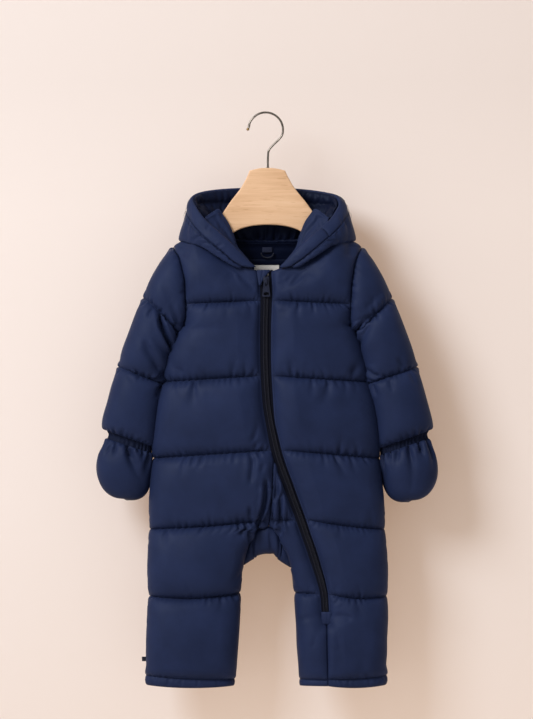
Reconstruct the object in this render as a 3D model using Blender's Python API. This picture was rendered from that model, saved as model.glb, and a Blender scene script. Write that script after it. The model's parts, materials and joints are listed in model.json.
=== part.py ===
"""Baby snowsuit, size 74, hanging on a wooden hanger.

A padded one-piece: hood with a wide front band, set-in sleeves that end in
elastic cuffs with sewn-on mittens, a front zip that starts at the neck and
runs down the left leg, a crotch gusset and quilting lines all round.

Frame: +Z up, the suit faces -Y, its own left side is at +X. The origin is
the inside top of the hanger's hook, where a rod or peg bears.
Tables are in millimetres and are turned into metres when a mesh is made.
Every cloth piece is a wall: an outer skin, an inner skin and its cut edges.
"""

import math

import bmesh
import bpy
import numpy as np

for old in list(bpy.data.objects):
    bpy.data.objects.remove(old, do_unlink=True)

MM = 0.001

# ---------------------------------------------------------------- sizes, mm
GAP = 0.3  # between pieces that are sewn to each other
SEAM_WALL = 3.0  # padded wall pressed flat where it is sewn
PUFF = 7.0  # how far the filling lifts the outer skin between two seams
INNER_PUFF = 0.35  # share of that lift on the lining side
PUFF_EDGE = 26.0  # distance from an upright seam at which the filling is full
ROUND_SIDE = 2.2  # body and leg section: |x/w|^ROUND_SIDE + |y/d|^ROUND_FACE = 1
ROUND_FACE = 2.4
SLEEVE_ROUND = 0.82  # sleeve and mitten section, 1 is an ellipse
COLUMNS = 6  # cells across a body panel

HOOK_RADIUS = 24.2
HOOK_WIRE = 1.5
HANGER_HALF = 6.0  # half the thickness of the wood
HANGER_ROUND = 1.6

CHAIN_HALF = 3.0
TAPE_WALL = 1.2

PULL_PIVOT = (-1.0, -42.0, -236.5)
PULL_LENGTH = 20.5
PULL_TOP, PULL_FOOT = 7.0, 11.5
PULL_THICK = 1.6

# ------------------------------------------------------- the body, by height
BODY = (
    # z, x_right, x_left, y_edge, d_front, d_back
    (-158.5, -77, 77, 0, 4, 4),
    (-163, -84.5, 84, 0, 10, 10),
    (-170, -94, 94, 0, 15, 15),
    (-178.5, -108, 108, 0, 20, 21),
    (-187.5, -130, 131.5, 0, 26, 28),
    (-191, -129, 130.5, 10, 27, 29),
    (-201, -123, 125.5, 20, 30, 33),
    (-216.5, -118.5, 121.5, 27, 34, 37),
    (-238.5, -114, 118, 31, 37, 40),
    (-261, -113.5, 117, 31, 38, 41),
    (-279.5, -114, 117, 26, 38.5, 41),
    (-294.5, -116.5, 118.5, 16, 39, 41),
    (-305, -119, 121, 0, 39, 41),
    (-317, -125.5, 124.5, 0, 39, 41),
    (-332.5, -133.5, 129.5, 0, 39, 41),
    (-350.5, -140, 135, 0, 39, 41),
    (-380, -145.5, 140.5, 0, 39, 41),
    (-423.5, -151.5, 151, 0, 39, 41),
    (-469.5, -158.5, 156, 0, 38, 41),
    (-517.5, -163, 161, 0, 36, 40),
    (-569, -165, 164.5, 0, 33, 37),
    (-629.5, -166, 166.5, 0, 30, 33),
    (-681, -166, 168, 0, 28, 30),
    (-744, -167.5, 166.5, 0, 27, 28),
    (-803, -167, 164.5, 0, 26, 27),
)
LEGS = (
    # z, x_in_right, x_in_left
    (-541, -7, 10),
    (-569, -12.5, 14),
    (-597, -22.5, 21),
    (-614, -28.5, 27.5),
    (-629.5, -32.5, 31.5),
    (-642, -35.5, 33.5),
    (-667, -37, 36.5),
    (-692.5, -39, 39),
    (-717.5, -41.5, 42),
    (-744, -43.5, 43.5),
    (-772, -45, 45.5),
    (-803, -47.5, 46.5),
)
LEG_START, LEG_END = -541.0, -633.5  # where one body section becomes two
ZIP = (
    # z, x_centre, half_width
    (-217.5, -2.5, 8.5),
    (-240, -1, 8.5),
    (-259.5, -0.5, 8),
    (-303, -1.5, 7.5),
    (-336.5, -1.5, 7.5),
    (-369, -0.5, 7.5),
    (-401, 1.5, 7.5),
    (-429, 5.5, 7.5),
    (-448.5, 9.5, 8),
    (-471, 14.5, 8.5),
    (-492, 21, 8.5),
    (-516, 30, 8.5),
    (-541, 39, 8.5),
    (-565, 48, 8.5),
    (-590, 56.5, 8),
    (-611, 64, 8),
    (-635, 71.5, 7.5),
    (-653, 77, 7),
    (-674, 81.5, 6.5),
    (-698, 83, 6),
    (-711, 83.5, 0),
    (-737, 84, 0),
    (-807, 85.5, 0),
)
ZIP_END = -698.0
NECK_FRONT = (
    # z, x_right, x_left
    (-158.5, -76.5, 76.5),
    (-164.5, -75, 74.5),
    (-171.5, -72, 71.5),
    (-178.5, -68.5, 68),
    (-187.5, -63.5, 63),
    (-196.5, -57.5, 57),
    (-206.5, -48.5, 47.5),
    (-213.5, -40, 39),
    (-216.5, -33.5, 33.5),
    (-218.5, -21, 19.5),
    (-219, -11.3, 6.3),
)
NECK_BACK = (
    # z, x_right, x_left
    (-158.5, -76.5, 76.5),
    (-162.5, -75, 75),
    (-167.5, -72, 71.5),
    (-173, -66, 66),
    (-178.5, -54.5, 54.5),
    (-182, -38, 38),
    (-183.5, -0.2, 0.2),
)
CENTRE_FRONT = (
    # z, x
    (-474, 10.5),
    (-492, 9),
    (-513, 8.5),
    (-541, 6.5),
    (-562, 4.5),
    (-577.5, 2.5),
)
ARCH = (
    # z, x_right, x_left: the seam between legs and gusset
    (-577.5, 2.35, 2.65),
    (-579.5, -7, 9),
    (-583, -14, 14),
    (-590, -19, 17.5),
    (-598.5, -23.5, 21.5),
    (-612.5, -28.5, 27.5),
    (-625, -31.5, 30.8),
    (-633.5, -33.5, 32.5),
)
GUSSET_LOW = (
    # x, z: the fold of the gusset between the legs
    (-34, -633),
    (-24, -623.5),
    (-8, -616.5),
    (8, -616.5),
    (18, -623.5),
    (34, -635),
)
# Quilting lines and edges across a panel, from the side seam inwards
QUILT = (
    # name, z_side, z_mid, z_inner
    ("shoulder_point", -158.5, -158.5, -158.5),
    ("armhole_top", -187.5, -187.5, -187.5),
    ("chest", -266.5, -264.5, -262),
    ("waist", -376, -371.5, -367),
    ("hip", -482.5, -476.5, -471),
    ("seat", -581.5, -577, -567),
    ("knee", -675, -678, -670.5),
    ("hem_stitch", -786, -790.5, -791),
    ("hem", -799.5, -803, -800.5),
)
UNDERARM = (305 - 266.5) / (376 - 266.5)  # where the armhole ends in its band
CUTS = (
    # the grid lines inside each band of quilting, as shares of its height
    (0, 0.2, 0.45, 0.72, 1),
    (0, 0.12, 0.27, 0.385, 0.62, 0.86, 1),
    (0, 0.14, UNDERARM, 0.62, 0.87, 1),
    (0, 0.13, 0.5, 0.87, 1),
    (0, 0.13, 0.5, 0.87, 1),
    (0, 0.1014, 0.14, 0.21, 0.33, 0.47, 0.62, 0.86, 1),
    (0, 0.12, 0.5, 0.88, 1),
    (0, 1),
)
ZIP_FOOT_CUTS = (0, 0.12, 0.23, 0.34, 0.6, 0.88, 1)  # the last band, where the zip ends in it
SLEEVE_RIGHT = (
    # x_outer, z_outer, x_inner, z_inner, depth, puff
    (-163, -235, -122.5, -309, 30, 5),
    (-172, -259.5, -123.9, -311, 31, 0),
    (-180.5, -276.5, -129.6, -321, 31, 3),
    (-191, -304.5, -137, -336, 31, 6),
    (-202, -334, -142.5, -354, 30, 4),
    (-206.5, -355, -147.7, -378, 29, 0),
    (-214, -374.5, -149.5, -388.5, 28.5, 4),
    (-221, -402.5, -153, -416.5, 27.5, 6),
    (-227.5, -427.5, -157.5, -448.5, 26, 4),
    (-228, -442.5, -161, -466, 24, 0),
)
SLEEVE_LEFT = (
    # x_outer, z_outer, x_inner, z_inner, depth, puff
    (164, -235, 123.7, -309, 30, 5),
    (173.5, -259.5, 124.6, -311, 31, 0),
    (182, -276.5, 128.8, -321, 31, 3),
    (192.5, -304.5, 133.5, -336, 31, 6),
    (203, -334, 138.5, -354, 30, 4),
    (208.5, -355, 143, -378, 29, 0),
    (215, -374.5, 145.5, -388.5, 28.5, 4),
    (222.5, -402.5, 151, -416.5, 27.5, 6),
    (228, -427.5, 156, -448.5, 26, 4),
    (229.5, -442.5, 158.5, -468.5, 24, 0),
)
CUFF_RIGHT = (
    # x_outer, z_outer, x_inner, z_inner, depth
    (-225.5, -444.5, -161.7, -467.6, 22),
    (-221, -449, -162.5, -470, 20.5),
    (-223.5, -453.5, -163, -473.5, 22),
)
CUFF_LEFT = (
    # x_outer, z_outer, x_inner, z_inner, depth
    (227, -444.5, 159.2, -470, 22),
    (223, -448.5, 160.2, -472.5, 20.5),
    (225, -453.5, 160.2, -476, 22),
)
MITTEN_RIGHT = (
    # x_outer, z_outer, x_inner, z_inner, depth
    (-224.5, -454.5, -163.6, -474.6, 22.5),
    (-237.5, -485, -164, -495, 26.5),
    (-239, -500.5, -164.5, -507.5, 25.5),
    (-235, -516.5, -166.5, -521, 22),
    (-225.5, -530, -171.5, -531.5, 17),
    (-211.5, -538.5, -182, -539, 10),
)
MITTEN_LEFT = (
    # x_outer, z_outer, x_inner, z_inner, depth
    (226, -454.5, 160.8, -477, 22.5),
    (237.5, -486, 162.6, -497, 26.5),
    (239, -501, 163.6, -509, 25.5),
    (236, -517.5, 166.5, -523, 22),
    (227, -531.5, 172, -533.5, 17),
    (213, -540.5, 183.5, -542, 10),
)
# The hood, by stations round the neck: from the centre front (first row)
# over the shoulder (row 7) to the centre back (last row). Each station has
# the neck seam, the low fold of the side panel, the seam of the front band
# and the rim of the face opening.
HOOD_RIGHT = (
    # z_neck, back, x_fold, z_fold, y_fold, x_seam, z_seam, y_seam, x_rim, z_rim, y_rim
    (-215.4, -1, -36, -216.8, -42, -35, -214.5, -44.5, -14.6, -215.5, -43.5),
    (-210.5, -1, -42.5, -215, -44, -49, -207, -47, -28, -203, -45),
    (-201.5, -1, -56.5, -208, -46, -65, -193, -48, -47, -183.5, -46),
    (-191, -1, -73.5, -197.5, -45, -80.5, -180.5, -46, -66, -166, -43),
    (-180, -1, -91, -187, -39, -95, -167.5, -39, -85.5, -148.5, -34),
    (-167.5, -1, -108, -181.5, -25, -107, -153.5, -25, -100, -131, -20),
    (-158.5, 0, -121, -177.5, -2, -113.5, -140.5, -4, -105.5, -118.5, -6),
    (-166, 1, -115.5, -178, 27, -108, -125.5, 18, -97.5, -111.5, 6),
    (-176, 1, -87, -192, 52, -89.5, -116, 38, -77, -107, 17),
    (-182.2, 1, -47.5, -205, 64, -47.5, -111.5, 48, -42, -104, 26),
    (-183.5, 1, 0, -208.5, 67, 0, -110, 51, 0, -103, 29),
)
HOOD_LEFT = (
    # z_neck, back, x_fold, z_fold, y_fold, x_seam, z_seam, y_seam, x_rim, z_rim, y_rim
    (-215.4, -1, 36, -216.4, -42, 35, -214, -44.5, 16, -216, -43.5),
    (-210.5, -1, 44, -214, -44, 49, -205, -47, 28, -203.5, -45),
    (-201.5, -1, 58, -206, -46, 65, -192.5, -48, 47, -185, -46),
    (-191, -1, 75, -195, -45, 78.5, -181, -46, 64.5, -168.5, -43),
    (-180, -1, 90.5, -185.5, -39, 94.5, -167.5, -39, 82, -153.5, -34),
    (-167.5, -1, 108, -180.5, -25, 108.5, -153, -25, 94.5, -138.5, -20),
    (-158.5, 0, 122, -177.5, -2, 115, -140.5, -4, 101.5, -124.5, -6),
    (-166, 1, 116, -178, 27, 110, -126.5, 18, 96.5, -114.5, 6),
    (-176, 1, 87, -192, 52, 89.5, -117.5, 38, 77, -109.5, 17),
    (-182.2, 1, 47.5, -205, 64, 47.5, -112, 48, 42, -105, 26),
    (-183.5, 1, 0, -208.5, 67, 0, -110, 51, 0, -103, 29),
)
# The facing that stands up inside the band and leans on the hanger's arm
FACING = (
    # x_foot, z_foot, y_foot, x_edge, z_edge, y_edge
    (-84.5, -152.5, -22, -86, -146, -20),
    (-77.5, -160.5, -24, -68, -134.5, -12),
    (-68.5, -171.5, -27, -62, -141, -11),
    (-58, -182.5, -29, -53, -154.5, -11),
    (-48.5, -192.5, -31, -47.5, -168, -12.5),
    (-37, -202.5, -33, -38.5, -190.5, -19),
    (-28, -210.5, -35, -26, -206.5, -30),
)
HANGER_OUTLINE = (
    # x, z: from the middle of the top to the middle of the underside
    (0, -76.3),
    (-11, -76.8),
    (-24.5, -80),
    (-29, -90.5),
    (-37, -105),
    (-50.5, -123.5),
    (-61.5, -140.5),
    (-62, -150),
    (-62.5, -160),
    (-65.5, -170),
    (-78.5, -180),
    (-98, -186.5),
    (-109, -194),
    (-112.5, -200.5),
    (-109, -206),
    (-98, -205.5),
    (-84, -199),
    (-66, -187),
    (-48, -168),
    (-25, -157.5),
    (0, -155.3),
)

# -------------------------------------------------------------- small tools


def smooth_curve(knots, values):
    """A smooth curve through the rows of a table that never overshoots them."""
    x = np.asarray(knots, float)
    y = np.asarray(values, float)
    if x[0] > x[-1]:
        x, y = x[::-1], y[::-1]
    h = np.diff(x)
    slope = np.diff(y) / h
    m = np.zeros(len(x))
    m[0], m[-1] = slope[0], slope[-1]
    for i in range(1, len(x) - 1):
        if slope[i - 1] * slope[i] > 0:
            w1, w2 = 2 * h[i] + h[i - 1], h[i] + 2 * h[i - 1]
            m[i] = (w1 + w2) / (w1 / slope[i - 1] + w2 / slope[i])

    def value(at):
        at = min(max(float(at), x[0]), x[-1])
        i = min(int(np.searchsorted(x, at, side="right")) - 1, len(x) - 2)
        t = (at - x[i]) / h[i]
        return float(
            (2 * t**3 - 3 * t**2 + 1) * y[i]
            + (t**3 - 2 * t**2 + t) * h[i] * m[i]
            + (3 * t**2 - 2 * t**3) * y[i + 1]
            + (t**3 - t**2) * h[i] * m[i + 1]
        )

    return value


def column(table, name, names, key=0):
    at = names.index(name)
    return smooth_curve([row[key] for row in table], [row[at] for row in table])


def ease(t):
    t = min(max(t, 0.0), 1.0)
    return t * t * (3 - 2 * t)


BODY_NAMES = ("z", "x_right", "x_left", "y_edge", "d_front", "d_back")
x_right, x_left, y_edge, d_front, d_back = (
    column(BODY, n, BODY_NAMES) for n in BODY_NAMES[1:]
)
leg_in_right = column(LEGS, "x_in_right", ("z", "x_in_right", "x_in_left"))
leg_in_left = column(LEGS, "x_in_left", ("z", "x_in_right", "x_in_left"))
zip_x = column(ZIP, "x_centre", ("z", "x_centre", "half_width"))
zip_half = column(ZIP, "half_width", ("z", "x_centre", "half_width"))
neck_front_right = column(NECK_FRONT, "x_right", ("z", "x_right", "x_left"))
neck_front_left = column(NECK_FRONT, "x_left", ("z", "x_right", "x_left"))
neck_back_right = column(NECK_BACK, "x_right", ("z", "x_right", "x_left"))
neck_back_left = column(NECK_BACK, "x_left", ("z", "x_right", "x_left"))
centre_front = column(CENTRE_FRONT, "x", ("z", "x"))
arch_right = column(ARCH, "x_right", ("z", "x_right", "x_left"))
arch_left = column(ARCH, "x_left", ("z", "x_right", "x_left"))
gusset_low = column(GUSSET_LOW, "z", ("x", "z"))
ARMHOLE_TOP, ARMHOLE_FOOT = -187.5, -305.0


def section(x, left, right, depth, edge=0.0):
    """Depth at x of a rounded section whose sides are at left and right."""
    middle, half = (left + right) / 2, (right - left) / 2
    if edge > 0:
        half /= (1 - (edge / depth) ** ROUND_FACE) ** (1 / ROUND_SIDE)
    t = min(abs(x - middle) / half, 1.0)
    return depth * (1 - t**ROUND_SIDE) ** (1 / ROUND_FACE)


def depth_at(x, z, side):
    """Distance of the seam-level skin from the side-seam plane, front (-1) or back (+1)."""
    deep = d_front(z) if side < 0 else d_back(z)
    edge = y_edge(z)
    body = section(x, x_right(z), x_left(z), deep, edge)
    split = ease((z - LEG_START) / (LEG_END - LEG_START))
    if split <= 0:
        return body
    if x < 0:
        leg = section(x, x_right(z), leg_in_right(z), deep)
    else:
        leg = section(x, leg_in_left(z), x_left(z), deep)
    return (1 - split) * body + split * leg


# ------------------------------------------------------------- panel edges


def inner_front_right(z):
    if z >= -219:
        return neck_front_right(z)
    tape = zip_x(z) - zip_half(z) - GAP
    if z > -474:
        return tape
    if z > -577.5:
        return min(tape, centre_front(z) - GAP / 2)
    return arch_right(z) if z > -633.5 else leg_in_right(z)


def inner_front_left(z):
    return neck_front_left(z) if z >= -219 else zip_x(z) + zip_half(z) + GAP


def wedge_outer(z):
    """The edge of the inner leg piece towards the other leg."""
    if z > -577.5:
        return centre_front(z) + GAP / 2
    return arch_left(z) if z > -633.5 else leg_in_left(z)


def wedge_inner(z):
    return zip_x(z) - zip_half(z) - GAP


def centre_back(z):
    """The centre-back seam, which meets the gusset where the front seam does."""
    return 2.5 * ease((z + 541) / -36.5)


def inner_back_right(z):
    if z >= -183.5:
        return neck_back_right(z)
    if z > -577.5:
        return centre_back(z) - GAP / 2
    return arch_right(z) if z > -633.5 else leg_in_right(z)


def inner_back_left(z):
    if z >= -183.5:
        return neck_back_left(z)
    if z > -577.5:
        return centre_back(z) + GAP / 2
    return arch_left(z) if z > -633.5 else leg_in_left(z)


# ------------------------------------------------------------ panel surface
NECKLINE = {
    -1: [(x, row[0]) for row in NECK_FRONT for x in row[1:]],
    1: [(x, row[0]) for row in NECK_BACK for x in row[1:]],
}


def clear_of_neck(x, z, side):
    """0 along the neckline, where the hood is sewn on and presses the filling
    flat, growing to 1 further down."""
    if z < -262:
        return 1.0
    near = min(math.hypot(x - nx, z - nz) for nx, nz in NECKLINE[side])
    return ease((near - 4.0) / 34.0)


def across(z_side, z_mid, z_inner, share):
    """Height of a line that passes through three heights, at a share of the width."""
    return (
        z_side * (1 - share) * (1 - 2 * share)
        + 4 * z_mid * share * (1 - share)
        + z_inner * share * (2 * share - 1)
    )


def puff_share(band, share):
    """Height of the filling inside a band of quilting, 0 at its seams, 1 in the middle."""
    if band <= 1:  # shoulder and chest are one band
        low, high = QUILT[2][1], QUILT[0][1]
        span = QUILT[band][1] + (QUILT[band + 1][1] - QUILT[band][1]) * share
        share = (span - high) / (low - high)
    if band == len(QUILT) - 2:
        return 0.0
    return (4 * share * (1 - share)) ** 0.6


def width_share(u, z, split_inner):
    """Where column u stands: closer together at a side seam, and at the inseam once the leg is a tube."""
    side = 1 - math.cos(u * math.pi / 2)
    both = (1 - math.cos(u * math.pi)) / 2
    s = ease((z - LEG_START) / (LEG_END - LEG_START)) if split_inner else 0.0
    return (1 - s) * side + s * both


def panel(side, outer, inner, rows, columns, split_inner=True, flip_share=False):
    """Outer and inner skins of a body panel as grids of points in millimetres.

    outer and inner give the two upright edges by height, rows are (band, share).
    """
    count = len(rows)
    base = np.zeros((count, columns + 1, 3))
    lift = np.zeros((count, columns + 1))
    heights = QUILT
    for j, (band, cut) in enumerate(rows):
        above, below = heights[band], heights[band + 1]
        line = [above[k] + (below[k] - above[k]) * cut for k in (1, 2, 3)]
        for i in range(columns + 1):
            u = i / columns
            share = u
            for _ in range(2):
                z = across(line[0], line[1], line[2], 1 - share if flip_share else share)
                share = width_share(u, z, split_inner)
            z = across(line[0], line[1], line[2], 1 - share if flip_share else share)
            xo, xi = outer(z), inner(z)
            x = xo + (xi - xo) * share
            base[j, i] = x, side * depth_at(x, z, side), z
            reach = min(abs(x - xo) + 6 * (i > 0), abs(x - xi)) if i else 0.0
            edge = min(reach / PUFF_EDGE, 1.0) ** 0.6
            lift[j, i] = PUFF * puff_share(band, cut) * edge * clear_of_neck(x, z, side)
    return base, lift


def grid_normals(grid, wrap=False):
    """Unit normals of a grid of points by the differences between neighbours."""
    if wrap:
        du = np.roll(grid, -1, axis=1) - np.roll(grid, 1, axis=1)
    else:
        du = np.gradient(grid, axis=1)
    dv = np.gradient(grid, axis=0)
    normal = np.cross(du, dv)
    size = np.linalg.norm(normal, axis=2, keepdims=True)
    size[size == 0] = 1
    return normal / size


def armhole_normal(z, side):
    """Which way the armhole's loop faces at a height, in its own plane."""
    if z >= ARMHOLE_TOP - 0.01:
        return np.array((0, 0, 1.0))
    if z <= ARMHOLE_FOOT + 0.01:
        return np.array((0, 0, -1.0))
    slope = (y_edge(z + 0.5) - y_edge(z - 0.5)) / 1.0
    n = np.array((0, side, -slope))
    return n / np.linalg.norm(n)


def body_skins(side, outer, inner, rows, columns, mirror, **options):
    """The two skins of a body panel: seam-level points, moved out and in by wall and filling."""
    base, lift = panel(side, outer, inner, rows, columns, **options)
    normal = grid_normals(base)
    if normal[len(rows) // 2, columns // 2, 1] * side < 0:
        normal = -normal
    for j in range(len(rows)):
        for i in (0, columns):
            x, y, z = base[j, i]
            on_side_seam = i == 0 and outer in (x_right, x_left)
            if on_side_seam and ARMHOLE_FOOT - 0.5 <= z <= ARMHOLE_TOP + 0.5:
                normal[j, i] = armhole_normal(z, side)
            elif abs(y) < 1.0:  # a seam in the side-seam plane
                flat = normal[j, i] * (1, 0, 1)
                normal[j, i] = flat / max(np.linalg.norm(flat), 1e-9)
            elif i and (z > -577.5 or inner is inner_front_left):  # zip or centre seam
                flat = normal[j, i] * (0, 1, 1)
                normal[j, i] = flat / max(np.linalg.norm(flat), 1e-9)
    skin = base + normal * lift[..., None]
    lining = base - normal * (SEAM_WALL + INNER_PUFF * lift)[..., None]
    # neighbours meet at the side-seam plane with half a gap each
    for grid in (skin, lining):
        grid[..., 1] = side * np.maximum(side * grid[..., 1], GAP / 2)
    return skin, lining


# -------------------------------------------------------------- mesh makers


def material(name, colour, roughness, metallic=0.0):
    made = bpy.data.materials.new(name)
    made.use_nodes = True
    shader = made.node_tree.nodes["Principled BSDF"]
    shader.inputs["Base Color"].default_value = (*colour, 1)
    shader.inputs["Roughness"].default_value = roughness
    shader.inputs["Metallic"].default_value = metallic
    made.diffuse_color = (*colour, 1)
    return made


def add_object(name, points, faces, colour, roughness=0.6, metallic=0.0, smooth=True):
    mesh = bpy.data.meshes.new(name)
    mesh.from_pydata([tuple(float(c) * MM for c in p) for p in points], [], faces)
    work = bmesh.new()
    work.from_mesh(mesh)
    bmesh.ops.triangulate(work, faces=work.faces[:])
    if work.calc_volume(signed=True) < 0:
        bmesh.ops.reverse_faces(work, faces=work.faces[:])
    work.to_mesh(mesh)
    work.free()
    if smooth:
        mesh.shade_smooth()
        mesh.set_sharp_from_angle(angle=math.radians(40))
    mesh.materials.append(material(name, colour, roughness, metallic))
    made = bpy.data.objects.new(name, mesh)
    bpy.context.scene.collection.objects.link(made)
    return made


def wall(name, skin, lining, colour, roughness=0.6, wrap=False, cap=None):
    """A closed wall from two grids of points. wrap joins the last column to the
    first; cap closes the last row of each skin with a point of its own."""
    rows, cols = skin.shape[:2]
    points = list(skin.reshape(-1, 3)) + list(lining.reshape(-1, 3))
    shift = rows * cols
    faces = []
    for j in range(rows - 1):
        for i in range(cols if wrap else cols - 1):
            k = (i + 1) % cols
            a, b, c, d = j * cols + i, j * cols + k, (j + 1) * cols + k, (j + 1) * cols + i
            faces.append((a, b, c, d))
            faces.append((shift + d, shift + c, shift + b, shift + a))

    def strip(line):
        for a, b in zip(line, line[1:]):
            faces.append((b, a, shift + a, shift + b))

    top = [i for i in range(cols)]
    foot = [(rows - 1) * cols + i for i in range(cols)]
    if wrap:
        strip(top + [top[0]])
        if cap is None:
            strip((foot + [foot[0]])[::-1])
        else:
            points += [cap[0], cap[1]]
            out, inn = len(points) - 2, len(points) - 1
            for a, b in zip(foot, foot[1:] + foot[:1]):
                faces.append((a, b, out))
                faces.append((shift + b, shift + a, inn))
    else:
        right = [j * cols + cols - 1 for j in range(rows)]
        left = [j * cols for j in range(rows)]
        strip(top)
        strip(right)
        strip(foot[::-1])
        strip(left[::-1])
    return add_object(name, points, faces, colour, roughness)


def prism(name, outline, y0, y1, colour, roughness=0.5, metallic=0.0, hole=None, bevel=0.0, origin=None):
    """A plate cut to an outline of x, z points, from y0 to y1, with an optional hole."""
    work = bmesh.new()
    loops = [outline] + ([hole] if hole else [])
    edges = []
    for loop in loops:
        verts = [work.verts.new((x * MM, y0 * MM, z * MM)) for x, z in loop]
        for a, b in zip(verts, verts[1:] + verts[:1]):
            edges.append(work.edges.new((a, b)))
    made = bmesh.ops.triangle_fill(work, edges=edges, use_beauty=True, use_dissolve=False)
    plate = [f for f in made["geom"] if isinstance(f, bmesh.types.BMFace)]
    up = bmesh.ops.extrude_face_region(work, geom=plate)
    moved = [v for v in up["geom"] if isinstance(v, bmesh.types.BMVert)]
    for v in moved:
        v.co.y = y1 * MM
    bmesh.ops.recalc_face_normals(work, faces=work.faces[:])
    if work.calc_volume(signed=True) < 0:
        bmesh.ops.reverse_faces(work, faces=work.faces[:])
    mesh = bpy.data.meshes.new(name)
    work.to_mesh(mesh)
    work.free()
    mesh.materials.append(material(name, colour, roughness, metallic))
    obj = bpy.data.objects.new(name, mesh)
    bpy.context.scene.collection.objects.link(obj)
    if origin is not None:
        here = [c * MM for c in origin]
        for v in mesh.vertices:
            v.co = [v.co[k] - here[k] for k in range(3)]
        obj.location = here
    if bevel:
        rounding = obj.modifiers.new("rounding", "BEVEL")
        rounding.width = bevel * MM
        rounding.segments = 2
        rounding.limit_method = "ANGLE"
        rounding.angle_limit = math.radians(50)
    return obj


NAVY = (0.020, 0.032, 0.085)
NAVY_DARK = (0.010, 0.014, 0.040)
NAVY_BAND = (0.024, 0.036, 0.092)
TRIM = (0.012, 0.016, 0.034)
METAL = (0.03, 0.035, 0.05)
CREAM = (0.80, 0.78, 0.72)
BEECH = (0.74, 0.52, 0.32)
STEEL = (0.62, 0.62, 0.63)

# ------------------------------------------------------------- body panels
ALL_ROWS = [(b, c) for b, cuts in enumerate(CUTS) for c in cuts if not (b and c == 0)]
ALL_ROWS[0] = (0, 0.02)


def body_panel(name, side, outer, inner, rows=ALL_ROWS, columns=COLUMNS, **options):
    skin, lining = body_skins(side, outer, inner, rows, columns, None, **options)
    wall(name, skin, lining, NAVY)


body_panel("front_right", -1, x_right, inner_front_right)
LEFT_ROWS = [r for r in ALL_ROWS if r[0] != 6] + [(6, c) for c in ZIP_FOOT_CUTS[1:]]
LEFT_ROWS.sort()
body_panel("front_left_outer", -1, x_left, inner_front_left, LEFT_ROWS, split_inner=False)
body_panel("back_right", 1, x_right, inner_back_right)
body_panel("back_left", 1, x_left, inner_back_left)


def wedge_rows():
    """The inner leg piece starts at a point between the zip and the centre seam."""
    rows = [(4, 0.165), (4, 0.3), (4, 0.5), (4, 0.72), (4, 0.87)]
    return rows + [r for r in LEFT_ROWS if r[0] > 4 or r == (4, 1)]


def wedge_share(u, z):
    """Columns of the inner leg piece: even above the crotch, closer together at the inseam below it."""
    s = ease((z - LEG_START) / (LEG_END - LEG_START))
    return (1 - s) * u + s * (1 - math.cos(u * math.pi / 2))


def inner_leg():
    rows, columns = wedge_rows(), 4
    base = np.zeros((len(rows), columns + 1, 3))
    lift = np.zeros((len(rows), columns + 1))
    for j, (band, cut) in enumerate(rows):
        above, below = QUILT[band], QUILT[band + 1]
        # the quilting line runs on from the centre seam to the zip
        z_here = above[3] + (below[3] - above[3]) * cut
        z_zip = z_here - 1.5 * (0 < band < 7)
        for i in range(columns + 1):
            u = i / columns
            share = wedge_share(u, z_here)
            z = z_here + (z_zip - z_here) * share
            xo, xi = wedge_outer(z), wedge_inner(z)
            x = xo + (xi - xo) * share
            base[j, i] = x, -depth_at(x, z, -1), z
            reach = min(abs(x - xo), abs(x - xi)) if 0 < i < columns else 0.0
            lift[j, i] = PUFF * puff_share(band, cut) * min(reach / PUFF_EDGE, 1) ** 0.6
    normal = grid_normals(base)
    if normal[len(rows) // 2, 2, 1] > 0:
        normal = -normal
    for j in range(len(rows)):
        if abs(base[j, 0, 1]) < 1.0:
            flat = normal[j, 0] * (1, 0, 1)
            normal[j, 0] = flat / np.linalg.norm(flat)
        elif base[j, 0, 2] > -577.5:
            flat = normal[j, 0] * (0, 1, 1)
            normal[j, 0] = flat / np.linalg.norm(flat)
        flat = normal[j, -1] * (0, 1, 1)
        normal[j, -1] = flat / np.linalg.norm(flat)
    skin = base + normal * lift[..., None]
    lining = base - normal * (SEAM_WALL + INNER_PUFF * lift)[..., None]
    for grid in (skin, lining):
        grid[..., 1] = -np.maximum(-grid[..., 1], GAP / 2)
    wall("front_left_inner", skin, lining, NAVY)


inner_leg()


def gusset():
    """The crotch piece: from the arch at the front, down through its fold, up to
    the arch at the back. Its columns stand where the legs' rows end."""
    inner_z = [QUILT[5][3] + (QUILT[6][3] - QUILT[5][3]) * c for c in CUTS[5][1:6]]
    inner_z += [inner_z[-1] - 9.0]
    right = [(arch_right(z), z) for z in inner_z[::-1]]
    left = [(arch_left(z), z) for z in inner_z[1:]]
    columns = right[:-1] + [(2.5, inner_z[0])] + left
    around = [-90 + 180 * k / 6 for k in range(7)]
    base = np.zeros((len(columns), len(around), 3))
    for j, (x, z) in enumerate(columns):
        yf, yb = depth_at(x, z, -1), depth_at(x, z, 1)
        clear = np.array((2.5 - x, -626.0 - z))
        clear *= 0.7 / np.linalg.norm(clear)
        top = z + clear[1]
        low = min(gusset_low(x), top - 1.2)
        for i, turn in enumerate(around):
            s, c = math.sin(math.radians(turn)), math.cos(math.radians(turn))
            reach = max(yf if turn < 0 else yb, 1.0)
            base[j, i] = x + clear[0], reach * s, low + (top - low) * (1 - c) ** 0.9
    normal = grid_normals(base)
    if normal[5, 3, 2] > 0:
        normal = -normal
    for j in range(len(columns)):
        normal[j, 0] = (0, -1, 0)
        normal[j, -1] = (0, 1, 0)
    lining = base - normal * SEAM_WALL
    wall("crotch_gusset", base, lining, NAVY)


gusset()

# -------------------------------------------------------- sleeves and cuffs
ARM_ROWS = [r for r in ALL_ROWS if r[0] == 1 or (r[0] == 2 and r[1] <= UNDERARM)]
ARM_ROWS = [(1, 0)] + ARM_ROWS


def arm_height(band, cut):
    return QUILT[band][1] + (QUILT[band + 1][1] - QUILT[band][1]) * cut


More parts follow.
